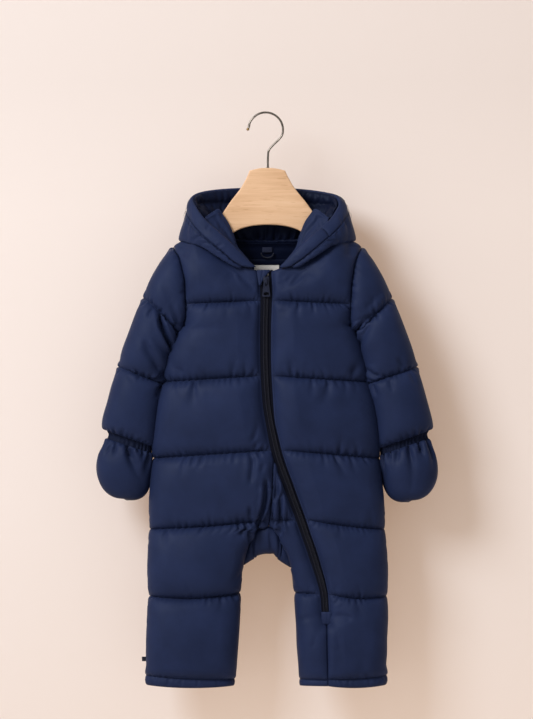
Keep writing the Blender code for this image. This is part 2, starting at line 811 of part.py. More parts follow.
ARM_Z = [arm_height(*row) for row in ARM_ROWS]
ARM_MID = (ARMHOLE_TOP + ARMHOLE_FOOT) / 2
ARM_HALF = (ARMHOLE_TOP - ARMHOLE_FOOT) / 2
FRONT_TURN = [math.acos(min(max((z - ARM_MID) / ARM_HALF, -1), 1)) for z in ARM_Z]
TURNS = FRONT_TURN + [2 * math.pi - t for t in FRONT_TURN[-2:0:-1]]


def ring(outer_x, outer_z, inner_x, inner_z, depth, turns):
    """One section of a tube: its two edges in the side-seam plane and its half depth."""
    made = []
    for t in turns:
        c, s = math.cos(t), math.sin(t)
        x = (outer_x + inner_x) / 2 + (outer_x - inner_x) / 2 * c
        z = (outer_z + inner_z) / 2 + (outer_z - inner_z) / 2 * c
        y = -depth * math.copysign(abs(s) ** SLEEVE_ROUND, s) + 2.0 * (1 - abs(c))
        made.append((x, y, z))
    return made


def armhole_ring(edge, away):
    made, facing = [], []
    count = len(ARM_Z)
    for k, z in enumerate(ARM_Z):
        made.append((edge(z) + away, -y_edge(z), z))
        facing.append(armhole_normal(z, -1))
    for z in ARM_Z[-2:0:-1]:
        made.append((edge(z) + away, y_edge(z), z))
        facing.append(armhole_normal(z, 1))
    assert len(made) == 2 * count - 2
    return made, facing


def tube_skins(rings, walls, puffs, first_normals=None):
    base = np.array(rings, float)
    normal = grid_normals(base, wrap=True)
    centre = base.mean(axis=1, keepdims=True)
    if ((base - centre) * normal).sum() < 0:
        normal = -normal
    for end in (0, -1):  # the cut ends stay in the plane of their ring
        axis = np.cross(base[end, 0] - base[end, len(rings[0]) // 2], (0, 1, 0))
        axis /= np.linalg.norm(axis)
        normal[end] -= np.outer(normal[end] @ axis, axis)
        normal[end] /= np.linalg.norm(normal[end], axis=1, keepdims=True)
    if first_normals is not None:
        normal[0] = np.array(first_normals)
    wall_of = np.array(walls, float)[:, None, None]
    lift = np.array(puffs, float)[:, None, None]
    # the silhouette edges of the table already include the filling
    face = np.abs(normal[..., 1:2])
    return base + normal * lift * face, base - normal * (wall_of + INNER_PUFF * lift)


def sleeve(name, edge, away, table):
    first, facing = armhole_ring(edge, away)
    rings = [first] + [ring(*row[:5], TURNS) for row in table]
    walls = [SEAM_WALL] * len(rings)
    puffs = [0] + [row[5] for row in table]
    skin, lining = tube_skins(rings, walls, puffs, facing)
    wall(name, skin, lining, NAVY, wrap=True)


sleeve("sleeve_right", x_right, -0.45, SLEEVE_RIGHT)
sleeve("sleeve_left", x_left, 0.45, SLEEVE_LEFT)

CUFF_TURNS = [2 * math.pi * k / 12 for k in range(12)]
MITTEN_TURNS = [2 * math.pi * k / 12 for k in range(12)]


def cuff(name, table):
    rings = [ring(*row, CUFF_TURNS) for row in table]
    skin, lining = tube_skins(rings, [2.2] * len(rings), [0] * len(rings))
    wall(name, skin, lining, NAVY_BAND, wrap=True)


cuff("cuff_right", CUFF_RIGHT)
cuff("cuff_left", CUFF_LEFT)


def mitten(name, table):
    rings = [ring(*row, MITTEN_TURNS) for row in table]
    walls = [3.0, 4.5, 4.5, 4.0, 3.5, 3.0]
    skin, lining = tube_skins(rings, walls, [0] * len(rings))
    tip = np.mean(rings[-1], axis=0) + (0, 0, -2.0)
    wall(name, skin, lining, NAVY, wrap=True, cap=(tip, tip + (0, 0, 3.5)))


mitten("mitten_right", MITTEN_RIGHT)
mitten("mitten_left", MITTEN_LEFT)

# -------------------------------------------------------------------- hood
HOOD_NAMES = (
    "z_neck", "back", "x_fold", "z_fold", "y_fold",
    "x_seam", "z_seam", "y_seam", "x_rim", "z_rim", "y_rim",
)  # fmt: skip


def hood_table(table):
    stations = range(len(table))
    return {
        n: smooth_curve(list(stations), [row[k] for row in table])
        for k, n in enumerate(HOOD_NAMES)
    }


HOOD = {1: hood_table(HOOD_LEFT), -1: hood_table(HOOD_RIGHT)}


def on_shoulder(station):
    """1 where the hood lies on top of the shoulder, 0 well in front or behind."""
    return math.exp(-(((station - 6) / 1.3) ** 2))


def neck_point(hand, station, up, reach):
    """A point at the neck seam: up is its distance into the opening, reach its
    distance outwards from the body's outer skin."""
    z = HOOD[hand]["z_neck"](station)
    back = station > 6
    right = neck_back_right if back else neck_front_right
    left = neck_back_left if back else neck_front_left
    edge = left if hand > 0 else right
    x = edge(z)
    step = 1.0
    lower, higher = max(z - step, -218.9 if not back else -183.4), min(z + step, -158.6)
    run, rise = edge(higher) - edge(lower), higher - lower
    e = np.array((-hand * rise, hand * run)) / max(math.hypot(run, rise), 1e-9)
    if e[1] < 0:
        e = -e
    x, z = x + e[0] * up, z + e[1] * up
    side = 1 if back else -1
    top = on_shoulder(station)
    depth = depth_at(x, max(min(z, -158.6), -219), side)
    y = side * ease(abs(station - 6) / 1.0) * depth
    out = np.array((0.35 * hand * top, side * (1 - top), top))
    return np.array((x, y, z)) + out * reach / np.linalg.norm(out)


def side_profile(hand, station):
    """Points of the side panel at one station, from the neck seam over the low
    fold up to the seam of the band."""
    row = HOOD[hand]
    top = on_shoulder(station)
    neck = neck_point(hand, station, 1.0, 1.0 + 1.2 * top)
    roll = neck_point(hand, station, -2.5, 1.3 + 1.2 * top)
    fold = np.array([row[n](station) for n in ("x_fold", "y_fold", "z_fold")])
    seam = np.array([row[n](station) for n in ("x_seam", "y_seam", "z_seam")])
    along = seam - fold
    out = (fold + seam) / 2 - neck
    out -= along * (out @ along) / max(along @ along, 1e-9)
    out /= max(np.linalg.norm(out), 1e-9)
    bulge = min(np.linalg.norm(along) / 12, 4.0)
    return [
        neck,
        roll,
        roll + (fold - roll) * 0.6 + np.array((0, 0, 0.8 + 2.0 * top)),
        fold,
        fold + along * 0.3 + out * bulge,
        fold + along * 0.68 + out * bulge * 0.9,
        seam,
    ]


def band_profile(hand, station, cells=3):
    """Points of the band at one station, from its seam to the rim."""
    row = HOOD[hand]
    seam = np.array([row[n](station) for n in ("x_seam", "y_seam", "z_seam")])
    rim = np.array([row[n](station) for n in ("x_rim", "y_rim", "z_rim")])
    step = (rim - seam) / np.linalg.norm(rim - seam)
    seam = seam + step * 0.5
    away = (seam + rim) / 2 - HOOD_MIDDLE
    away -= step * (away @ step)
    away /= np.linalg.norm(away)
    return [
        seam + (rim - seam) * k / cells + away * 2.2 * math.sin(math.pi * k / cells)
        for k in range(cells + 1)
    ]


HOOD_MIDDLE = np.array((0, -4.0, -170))


def hood_at(profile, round_neck):
    """A profile by its place round the neck: 0 and 20 are the right and left
    ends at the front, 10 is the centre back."""
    round_neck = min(max(round_neck, 0.0), 20.0)
    if round_neck <= 10:
        return np.array(profile(-1, round_neck))
    return np.array(profile(1, 20 - round_neck))


def hood_normals(profile, round_neck):
    """Unit normals of a profile's points, facing away from the hood's middle."""
    line = hood_at(profile, round_neck)
    onward = hood_at(profile, round_neck + 0.12) - hood_at(profile, round_neck - 0.12)
    across_it = np.gradient(line, axis=0)
    normal = np.cross(across_it, onward)
    normal /= np.maximum(np.linalg.norm(normal, axis=1, keepdims=True), 1e-9)
    return line, normal


def seam_mitre(round_neck):
    """The inward step at the band's seam that both its neighbours share."""
    _, side = hood_normals(side_profile, round_neck)
    _, band = hood_normals(band_profile, round_neck)
    both = side[-1] + band[0]
    both /= np.linalg.norm(both)
    return both * SIDE_WALLS[-1] / max(both @ side[-1], 0.75)


SIDE_WALLS = (2.2, 2.2, 3.2, 3.6, 4.2, 4.2, 3.4)
BAND_WALLS = (3.4, 4.4, 4.4, 3.2)


def hood_panel(name, places, colour=NAVY):
    skin, lining = [], []
    for place in places:
        line, normal = hood_normals(side_profile, place)
        inner = line - normal * np.array(SIDE_WALLS)[:, None]
        inner[-1] = line[-1] - seam_mitre(place)
        skin.append(line)
        lining.append(inner)
    wall(name, np.array(skin), np.array(lining), colour)


def hood_band(name, places):
    skin, lining = [], []
    for place in places:
        line, normal = hood_normals(band_profile, place)
        inner = line - normal * np.array(BAND_WALLS)[:, None]
        inner[0] = line[0] - seam_mitre(place)
        skin.append(line)
        lining.append(inner)
    wall(name, np.array(skin), np.array(lining), NAVY_BAND)


SIDE_PLACES = (0, 0.6, 1.4, 2.3, 3.2, 4, 4.8, 5.4, 5.8, 6.3, 6.9, 7.5, 7.985)
BAND_PLACES = (0, 0.7, 1.5, 2.5, 3.5, 4.5, 5.3, 6, 6.8, 7.6, 8.4, 9.2, 9.985)
JOIN = 3.55  # place of the seam across the band's left part
hood_panel("hood_side_right", SIDE_PLACES)
hood_panel("hood_side_left", [20 - p for p in SIDE_PLACES[::-1]])
hood_panel("hood_centre", (8.015, 8.6, 9.3, 10, 10.7, 11.4, 11.985))
hood_band("hood_band_right", BAND_PLACES)
hood_band("hood_band_left", [20 - p for p in BAND_PLACES[::-1] if p > JOIN] + [20 - JOIN - 0.014])
hood_band("hood_band_front", [20 - JOIN + 0.014] + [20 - p for p in BAND_PLACES[::-1] if p < JOIN])

LINING_STATIONS = [(-1, s) for s in (5.2, 5.6, 6.3, 7, 8, 9, 10)] + [
    (1, s) for s in (9, 8, 7, 6.3, 5.6, 5.2)
]


def lining_profile(hand, station):
    """The lining from just inside the rim down to the inside of the neck seam."""
    band = band_profile(hand, station)
    rim, seam = band[-1], band[0]
    centre = np.array((0, 2.0, -165))
    inward = centre - rim
    inward[2] *= 0.25
    inward /= np.linalg.norm(inward)
    start = rim + inward * 7.0 + (seam - rim) * 0.1
    above = neck_point(hand, station, 4.8, 4.0)
    below = neck_point(hand, station, 4.8, -4.0)
    return [
        start,
        start + (above - start) * 0.35 - inward * 4.5,
        start + (above - start) * 0.7 - inward * 3.5,
        above,
        below,
    ]


def hood_lining():
    grid = np.array([lining_profile(h, s) for h, s in LINING_STATIONS])
    normal = grid_normals(grid)
    mid = len(LINING_STATIONS) // 2
    if normal[mid, 2, 1] < 0:
        normal = -normal
    wall("hood_lining", grid, grid - normal * 1.2, NAVY_DARK)


hood_lining()


def neck_facing(name, hand):
    """The strip that stands up inside the band, beside the hanger's arm."""
    grid = []
    for row in FACING:
        foot = np.array((row[0], row[2], row[1]), float)
        edge = np.array((row[3], row[5], row[4]), float)
        line = []
        for t in (0, 0.35, 0.7, 1):
            p = foot + (edge - foot) * t
            p[1] -= 1.5 * math.sin(math.pi * t)
            line.append(p * (1 if hand < 0 else -1, 1, 1))
        grid.append(line)
    grid = np.array(grid)
    normal = grid_normals(grid)
    if normal[3, 1, 1] > 0:
        normal = -normal
    wall(name, grid, grid - normal * 1.8, NAVY)


neck_facing("neck_facing_right", -1)
neck_facing("neck_facing_left", 1)

# --------------------------------------- facing and labels inside the back
def back_patch(name, x0, x1, z0, z1, off, thick, colour, cells_x=6, cells_z=3):
    """A flat-lying patch on the inside of the back, off the lining by a distance."""
    grid = np.zeros((cells_z + 1, cells_x + 1, 3))
    for j in range(cells_z + 1):
        for i in range(cells_x + 1):
            x = x0 + (x1 - x0) * i / cells_x
            z = z0 + (z1 - z0) * j / cells_z
            inset = SEAM_WALL + INNER_PUFF * PUFF + off
            grid[j, i] = x, depth_at(x, z, 1) - inset, z
    inner = grid - np.array((0, thick, 0))
    wall(name, grid, inner, colour)


back_patch("back_neck_facing", -44, 44, -185, -213, 0.6, 1.2, NAVY_DARK)
back_patch("neck_label", -6, 7, -187.5, -193.5, 2.8, 0.6, NAVY, 3, 1)
back_patch("size_label", -18.5, 17.5, -212.2, -225, 2.2, 0.7, CREAM, 4, 2)


def hanging_loop():
    """A cord sewn at both ends below the neck label, sagging forward a little."""
    turns = [math.pi * k / 8 for k in range(9)]
    curve = bpy.data.curves.new("hanging_loop", "CURVE")
    curve.dimensions = "3D"
    line = curve.splines.new("POLY")
    line.points.add(len(turns) - 1)
    for p, t in zip(line.points, turns):
        x = 0.5 - 8.5 * math.cos(t)
        z = -195.5 - 6.0 * math.sin(t)
        y = depth_at(0, z, 1) - SEAM_WALL - INNER_PUFF * PUFF - 4.2
        p.co = (x * MM, y * MM, z * MM, 1)
    curve.bevel_depth = 1.0 * MM
    curve.bevel_resolution = 2
    curve.use_fill_caps = True
    made = bpy.data.objects.new("hanging_loop", curve)
    curve.materials.append(material("hanging_loop", TRIM, 0.7))
    bpy.context.scene.collection.objects.link(made)


hanging_loop()

# --------------------------------------------------------------------- zip
ZIP_ROWS = [-222 - 474.0 * k / 18 for k in range(19)]


def zip_strip(name, offsets, skin_off, thick, rows, colour, rough=0.7):
    """A strip that follows the zip's path; offsets are its edges from the path's centre."""
    skin = np.zeros((len(rows), 2, 3))
    for j, z in enumerate(rows):
        for i, off in enumerate(offsets):
            x = zip_x(z) + (off(z) if callable(off) else off)
            skin[j, i] = x, -depth_at(x, z, -1) - skin_off, z
    lining = skin + np.array((0, thick, 0))
    wall(name, skin, lining, colour, rough)


zip_strip("zip_tape_right", (lambda z: -zip_half(z) + 0.8, -CHAIN_HALF - 0.4), -0.9, TAPE_WALL, ZIP_ROWS, TRIM)
zip_strip("zip_tape_left", (CHAIN_HALF + 0.4, lambda z: zip_half(z) - 0.8), -0.9, TAPE_WALL, ZIP_ROWS, TRIM)
zip_strip("zip_chain", (-CHAIN_HALF, CHAIN_HALF), 0.5, 2.4, ZIP_ROWS[:-1], TRIM, 0.5)

# slider: a body over the chain with an arch on top that the pull hangs from
PX, PY, PZ = PULL_PIVOT


def slider():
    body = [(-3.6, 5.5), (3.6, 5.5), (4.4, 1.0), (3.4, -5.5), (-3.4, -5.5), (-4.4, 1.0)]
    outline = [(PX + x, PZ + z + 1.5) for x, z in body]
    front = PY + 1.4  # the body's outer face, behind the pull
    made = prism("zip_slider", outline, front, front + 2.6, METAL, 0.35, 0.7, bevel=0.5)
    # the arch: two feet and a bar, in the middle of the body, seen from the side
    arch = [(-3.6, 0.6), (-3.6, -2.6), (-2.8, -4.2), (2.8, -4.2), (3.6, -2.6), (3.6, 0.6),
            (2.3, 0.6), (2.3, -2.0), (1.8, -2.8), (-1.8, -2.8), (-2.3, -2.0), (-2.3, 0.6)]  # fmt: skip
    work = bmesh.new()
    for x in (-0.9, 0.9):
        for z, y in arch:
            work.verts.new(((PX + x) * MM, (front + y) * MM, (PZ + z) * MM))
    work.verts.ensure_lookup_table()
    n = len(arch)
    first = work.verts[:n]
    second = work.verts[n : 2 * n]
    work.faces.new(first)
    work.faces.new(second[::-1])
    for k in range(n):
        m = (k + 1) % n
        work.faces.new((first[m], first[k], second[k], second[m]))
    bmesh.ops.recalc_face_normals(work, faces=work.faces[:])
    mesh = bpy.data.meshes.new("slider_arch")
    work.to_mesh(mesh)
    work.free()
    cutter = bpy.data.objects.new("slider_arch", mesh)
    bpy.context.scene.collection.objects.link(cutter)
    cutter.hide_render = True
    cutter.display_type = "WIRE"
    join = made.modifiers.new("arch", "BOOLEAN")
    join.operation = "UNION"
    join.object = cutter
    join.solver = "EXACT"


slider()


def pull():
    """The tab: its eye goes round the slider's arch, its foot has an oblong hole."""
    top, foot = PULL_TOP / 2, PULL_FOOT / 2
    z0, z1 = PZ + 0.7, PZ - PULL_LENGTH
    outline = [
        (PX - top + 0.6, z0), (PX + top - 0.6, z0), (PX + top, z0 - 0.6), (PX + foot, z1 + 1.2),
        (PX + foot - 1.2, z1), (PX - foot + 1.2, z1), (PX - foot, z1 + 1.2), (PX - top, z0 - 0.6),
    ]  # fmt: skip
    y0 = PY - PULL_THICK / 2
    tab = prism("zip_pull", outline, y0, y0 + PULL_THICK, METAL, 0.4, 0.5, origin=PULL_PIVOT)
    for label, x, z_top, z_low in (("eye", 1.7, -0.7, -4.8), ("hole", 3.4, -PULL_LENGTH + 6.4, -PULL_LENGTH + 2.2)):
        work = bmesh.new()
        bmesh.ops.create_cube(work, size=1.0)
        for v in work.verts:
            v.co.x *= 2 * x * MM
            v.co.y *= 6 * MM
            v.co.z = (v.co.z * (z_top - z_low) + (z_top + z_low) / 2) * MM
        mesh = bpy.data.meshes.new("pull_" + label)
        work.to_mesh(mesh)
        work.free()
        cutter = bpy.data.objects.new("pull_" + label, mesh)
        cutter.location = tab.location
        bpy.context.scene.collection.objects.link(cutter)
        cutter.hide_render = True
        cutter.display_type = "WIRE"
        cut = tab.modifiers.new(label, "BOOLEAN")
        cut.operation = "DIFFERENCE"
        cut.object = cutter
        cut.solver = "EXACT"


pull()


def follow_patch(name, corners, rows, columns, off, thick, colour):
    """A patch over the zip's path, between two lines of x by height, off the seam-level skin."""
    zs = [corners[0][0] + (corners[-1][0] - corners[0][0]) * j / rows for j in range(rows + 1)]
    left = smooth_curve([c[0] for c in corners], [c[1] for c in corners])
    right = smooth_curve([c[0] for c in corners], [c[2] for c in corners])
    skin = np.zeros((rows + 1, columns + 1, 3))
    for j, z in enumerate(zs):
        for i in range(columns + 1):
            x = left(z) + (right(z) - left(z)) * i / columns
            skin[j, i] = x, -depth_at(x, z, -1) - off, z
    wall(name, skin, skin + np.array((0, thick, 0)), colour)


# flap over the zip's top end, cut on the slant
follow_patch("zip_top_flap", ((-219.3, -13.5, 3.2), (-229, -12.2, -5.6), (-239, -10.8, -9.0)), 4, 3, 3.6, 1.6, NAVY)
# tab over its lower end
follow_patch("zip_end_tab", ((-697, 76, 90), (-713, 76.6, 90.2)), 2, 4, 5.2, 1.6, NAVY)

# small plain tab caught in the right side seam near the hem
prism("side_tab", [(-168.6, -760.5), (-174.6, -760.8), (-174.6, -766.2), (-168.6, -766.5)], -0.6, 0.6, TRIM, 0.7)

# ------------------------------------------------------------------ hanger


def hanger():
    xs = [p[0] for p in HANGER_OUTLINE]
    half = [p for p in HANGER_OUTLINE]
    mirrored = [(-x, z) for x, z in half[::-1] if x != 0]
    wood = prism("hanger_wood", half + mirrored, -HANGER_HALF, HANGER_HALF, BEECH, 0.5, bevel=HANGER_ROUND)
    wood.data.set_sharp_from_angle(angle=math.radians(60))
    assert min(xs) < 0

    # hook: from its open end on the right side of the suit over the top and down to the wood
    centre = (-1.8, -HOOK_RADIUS + HOOK_WIRE)
    route = []
    for k in range(25):
        turn = math.radians(185 - (185 + 12) * k / 24)
        route.append((centre[0] + HOOK_RADIUS * math.cos(turn), centre[1] + HOOK_RADIUS * math.sin(turn)))
    tail = ((20.6, -32.5), (15.5, -40.5), (7.5, -48.2), (3.2, -53.2), (1.6, -58.5), (1.2, -65), (1.2, -75.9))
    route += list(tail)
    knots = [0.0]
    for a, b in zip(route, route[1:]):
        knots.append(knots[-1] + math.hypot(b[0] - a[0], b[1] - a[1]))
    px = smooth_curve(knots, [p[0] for p in route])
    pz = smooth_curve(knots, [p[1] for p in route])
    curve = bpy.data.curves.new("hanger_hook", "CURVE")
    curve.dimensions = "3D"
    line = curve.splines.new("POLY")
    count = 44
    line.points.add(count - 1)
    for k, p in enumerate(line.points):
        s = knots[-1] * k / (count - 1)
        p.co = (px(s) * MM, 0, pz(s) * MM, 1)
    curve.bevel_depth = HOOK_WIRE * MM
    curve.bevel_resolution = 2
    curve.use_fill_caps = True
    curve.materials.append(material("hanger_hook", STEEL, 0.25, 1.0))
    hook = bpy.data.objects.new("hanger_hook", curve)
    bpy.context.scene.collection.objects.link(hook)


hanger()
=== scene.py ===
"""Looks of the baby snowsuit on its hanger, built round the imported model.

Every cloth piece is a dense grid on the garment's own form. A small cloth
solver below inflates it between its seams: the grid is pinned along the
seams and quilting lines, is cut a little larger than the space between them,
and is pushed out by the filling, so the puckers, puffs and creases are real
geometry. Tables are in millimetres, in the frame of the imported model.
"""

import json
import math

import bpy
import numpy as np
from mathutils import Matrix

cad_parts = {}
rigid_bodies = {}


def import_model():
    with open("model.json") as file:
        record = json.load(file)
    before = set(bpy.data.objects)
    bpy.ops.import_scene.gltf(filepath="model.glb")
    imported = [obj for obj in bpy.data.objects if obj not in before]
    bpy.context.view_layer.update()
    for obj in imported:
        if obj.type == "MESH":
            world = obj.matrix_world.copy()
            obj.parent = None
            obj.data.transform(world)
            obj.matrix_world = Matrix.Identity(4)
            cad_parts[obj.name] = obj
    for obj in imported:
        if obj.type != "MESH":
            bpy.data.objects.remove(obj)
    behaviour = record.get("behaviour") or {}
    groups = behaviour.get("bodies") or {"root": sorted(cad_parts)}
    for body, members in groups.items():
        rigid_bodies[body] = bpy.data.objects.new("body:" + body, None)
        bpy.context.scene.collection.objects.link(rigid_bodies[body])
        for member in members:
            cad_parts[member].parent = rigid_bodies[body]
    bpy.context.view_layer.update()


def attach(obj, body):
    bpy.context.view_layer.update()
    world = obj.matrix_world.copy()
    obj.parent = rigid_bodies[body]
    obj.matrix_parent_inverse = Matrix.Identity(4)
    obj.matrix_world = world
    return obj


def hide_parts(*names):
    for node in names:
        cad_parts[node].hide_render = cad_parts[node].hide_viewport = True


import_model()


# ---------------------------------------------------------------- sizes, mm
GAP = 0.3  # between pieces that are sewn to each other
SEAM_WALL = 3.0  # padded wall pressed flat where it is sewn
PUFF = 7.0  # how far the filling lifts the outer skin between two seams
INNER_PUFF = 0.35  # share of that lift on the lining side
PUFF_EDGE = 26.0  # distance from an upright seam at which the filling is full
ROUND_SIDE = 2.2  # body and leg section: |x/w|^ROUND_SIDE + |y/d|^ROUND_FACE = 1
ROUND_FACE = 2.4
SLEEVE_ROUND = 0.82  # sleeve and mitten section, 1 is an ellipse
COLUMNS = 6  # cells across a body panel

HOOK_RADIUS = 24.2
HOOK_WIRE = 1.5
HANGER_HALF = 6.0  # half the thickness of the wood
HANGER_ROUND = 1.6

CHAIN_HALF = 3.0
TAPE_WALL = 1.2

PULL_PIVOT = (-1.0, -42.0, -236.5)
PULL_LENGTH = 20.5
PULL_TOP, PULL_FOOT = 7.0, 11.5
PULL_THICK = 1.6

# ------------------------------------------------------- the body, by height
BODY = (
    # z, x_right, x_left, y_edge, d_front, d_back
    (-158.5, -77, 77, 0, 4, 4),
    (-163, -84.5, 84, 0, 10, 10),
    (-170, -94, 94, 0, 15, 15),
    (-178.5, -108, 108, 0, 20, 21),
    (-187.5, -130, 131.5, 0, 26, 28),
    (-191, -129, 130.5, 10, 27, 29),
    (-201, -123, 125.5, 20, 30, 33),
    (-216.5, -118.5, 121.5, 27, 34, 37),
    (-238.5, -114, 118, 31, 37, 40),
    (-261, -113.5, 117, 31, 38, 41),
    (-279.5, -114, 117, 26, 38.5, 41),
    (-294.5, -116.5, 118.5, 16, 39, 41),
    (-305, -119, 121, 0, 39, 41),
    (-317, -125.5, 124.5, 0, 39, 41),
    (-332.5, -133.5, 129.5, 0, 39, 41),
    (-350.5, -140, 135, 0, 39, 41),
    (-380, -145.5, 140.5, 0, 39, 41),
    (-423.5, -151.5, 151, 0, 39, 41),
    (-469.5, -158.5, 156, 0, 38, 41),
    (-517.5, -163, 161, 0, 36, 40),
    (-569, -165, 164.5, 0, 33, 37),
    (-629.5, -166, 166.5, 0, 30, 33),
    (-681, -166, 168, 0, 28, 30),
    (-744, -167.5, 166.5, 0, 27, 28),
    (-803, -167, 164.5, 0, 26, 27),
)
LEGS = (
    # z, x_in_right, x_in_left
    (-541, -7, 10),
    (-569, -12.5, 14),
    (-597, -22.5, 21),
    (-614, -28.5, 27.5),
    (-629.5, -32.5, 31.5),
    (-642, -35.5, 33.5),
    (-667, -37, 36.5),
    (-692.5, -39, 39),
    (-717.5, -41.5, 42),
    (-744, -43.5, 43.5),
    (-772, -45, 45.5),
    (-803, -47.5, 46.5),
)
LEG_START, LEG_END = -541.0, -633.5  # where one body section becomes two
ZIP = (
    # z, x_centre, half_width
    (-217.5, -2.5, 8.5),
    (-240, -1, 8.5),
    (-259.5, -0.5, 8),
    (-303, -1.5, 7.5),
    (-336.5, -1.5, 7.5),
    (-369, -0.5, 7.5),
    (-401, 1.5, 7.5),
    (-429, 5.5, 7.5),
    (-448.5, 9.5, 8),
    (-471, 14.5, 8.5),
    (-492, 21, 8.5),
    (-516, 30, 8.5),
    (-541, 39, 8.5),
    (-565, 48, 8.5),
    (-590, 56.5, 8),
    (-611, 64, 8),
    (-635, 71.5, 7.5),
    (-653, 77, 7),
    (-674, 81.5, 6.5),
    (-698, 83, 6),
    (-711, 83.5, 0),
    (-737, 84, 0),
    (-807, 85.5, 0),
)
ZIP_END = -698.0
NECK_FRONT = (
    # z, x_right, x_left
    (-158.5, -76.5, 76.5),
    (-164.5, -75, 74.5),
    (-171.5, -72, 71.5),
    (-178.5, -68.5, 68),
    (-187.5, -63.5, 63),
    (-196.5, -57.5, 57),
    (-206.5, -48.5, 47.5),
    (-213.5, -40, 39),
    (-216.5, -33.5, 33.5),
    (-218.5, -21, 19.5),
    (-219, -11.3, 6.3),
)
NECK_BACK = (
    # z, x_right, x_left
    (-158.5, -76.5, 76.5),
    (-162.5, -75, 75),
    (-167.5, -72, 71.5),
    (-173, -66, 66),
    (-178.5, -54.5, 54.5),
    (-182, -38, 38),
    (-183.5, -0.2, 0.2),
)
CENTRE_FRONT = (
    # z, x
    (-474, 10.5),
    (-492, 9),
    (-513, 8.5),
    (-541, 6.5),
    (-562, 4.5),
    (-577.5, 2.5),
)
ARCH = (
    # z, x_right, x_left: the seam between legs and gusset
    (-577.5, 2.35, 2.65),
    (-579.5, -7, 9),
    (-583, -14, 14),
    (-590, -19, 17.5),
    (-598.5, -23.5, 21.5),
    (-612.5, -28.5, 27.5),
    (-625, -31.5, 30.8),
    (-633.5, -33.5, 32.5),
)
GUSSET_LOW = (
    # x, z: the fold of the gusset between the legs
    (-34, -633),
    (-24, -623.5),
    (-8, -616.5),
    (8, -616.5),
    (18, -623.5),
    (34, -635),
)
# Quilting lines and edges across a panel, from the side seam inwards
QUILT = (
    # name, z_side, z_mid, z_inner
    ("shoulder_point", -158.5, -158.5, -158.5),
    ("armhole_top", -187.5, -187.5, -187.5),
    ("chest", -266.5, -264.5, -262),
    ("waist", -376, -371.5, -367),
    ("hip", -482.5, -476.5, -471),
    ("seat", -581.5, -577, -567),
    ("knee", -675, -678, -670.5),
    ("hem_stitch", -786, -790.5, -791),
    ("hem", -799.5, -803, -800.5),
)
UNDERARM = (305 - 266.5) / (376 - 266.5)  # where the armhole ends in its band
CUTS = (
    # the grid lines inside each band of quilting, as shares of its height
    (0, 0.2, 0.45, 0.72, 1),
    (0, 0.12, 0.27, 0.385, 0.62, 0.86, 1),
    (0, 0.14, UNDERARM, 0.62, 0.87, 1),
    (0, 0.13, 0.5, 0.87, 1),
    (0, 0.13, 0.5, 0.87, 1),
    (0, 0.1014, 0.14, 0.21, 0.33, 0.47, 0.62, 0.86, 1),
    (0, 0.12, 0.5, 0.88, 1),
    (0, 1),
)
ZIP_FOOT_CUTS = (0, 0.12, 0.23, 0.34, 0.6, 0.88, 1)  # the last band, where the zip ends in it
SLEEVE_RIGHT = (
    # x_outer, z_outer, x_inner, z_inner, depth, puff
    (-163, -235, -122.5, -309, 30, 5),
    (-172, -259.5, -123.9, -311, 31, 0),
    (-180.5, -276.5, -129.6, -321, 31, 3),
    (-191, -304.5, -137, -336, 31, 6),
    (-202, -334, -142.5, -354, 30, 4),
    (-206.5, -355, -147.7, -378, 29, 0),
    (-214, -374.5, -149.5, -388.5, 28.5, 4),
    (-221, -402.5, -153, -416.5, 27.5, 6),
    (-227.5, -427.5, -157.5, -448.5, 26, 4),
    (-228, -442.5, -161, -466, 24, 0),
)
SLEEVE_LEFT = (
    # x_outer, z_outer, x_inner, z_inner, depth, puff
    (164, -235, 123.7, -309, 30, 5),
    (173.5, -259.5, 124.6, -311, 31, 0),
    (182, -276.5, 128.8, -321, 31, 3),
    (192.5, -304.5, 133.5, -336, 31, 6),
    (203, -334, 138.5, -354, 30, 4),
    (208.5, -355, 143, -378, 29, 0),
    (215, -374.5, 145.5, -388.5, 28.5, 4),
    (222.5, -402.5, 151, -416.5, 27.5, 6),
    (228, -427.5, 156, -448.5, 26, 4),
    (229.5, -442.5, 158.5, -468.5, 24, 0),
)
CUFF_RIGHT = (
    # x_outer, z_outer, x_inner, z_inner, depth
    (-225.5, -444.5, -161.7, -467.6, 22),
    (-221, -449, -162.5, -470, 20.5),
    (-223.5, -453.5, -163, -473.5, 22),
)
CUFF_LEFT = (
    # x_outer, z_outer, x_inner, z_inner, depth
    (227, -444.5, 159.2, -470, 22),
    (223, -448.5, 160.2, -472.5, 20.5),
    (225, -453.5, 160.2, -476, 22),
)
MITTEN_RIGHT = (
    # x_outer, z_outer, x_inner, z_inner, depth
    (-224.5, -454.5, -163.6, -474.6, 22.5),
    (-237.5, -485, -164, -495, 26.5),
    (-239, -500.5, -164.5, -507.5, 25.5),
    (-235, -516.5, -166.5, -521, 22),
    (-225.5, -530, -171.5, -531.5, 17),
    (-211.5, -538.5, -182, -539, 10),
)
MITTEN_LEFT = (
    # x_outer, z_outer, x_inner, z_inner, depth
    (226, -454.5, 160.8, -477, 22.5),
    (237.5, -486, 162.6, -497, 26.5),
    (239, -501, 163.6, -509, 25.5),
    (236, -517.5, 166.5, -523, 22),
    (227, -531.5, 172, -533.5, 17),
    (213, -540.5, 183.5, -542, 10),
)
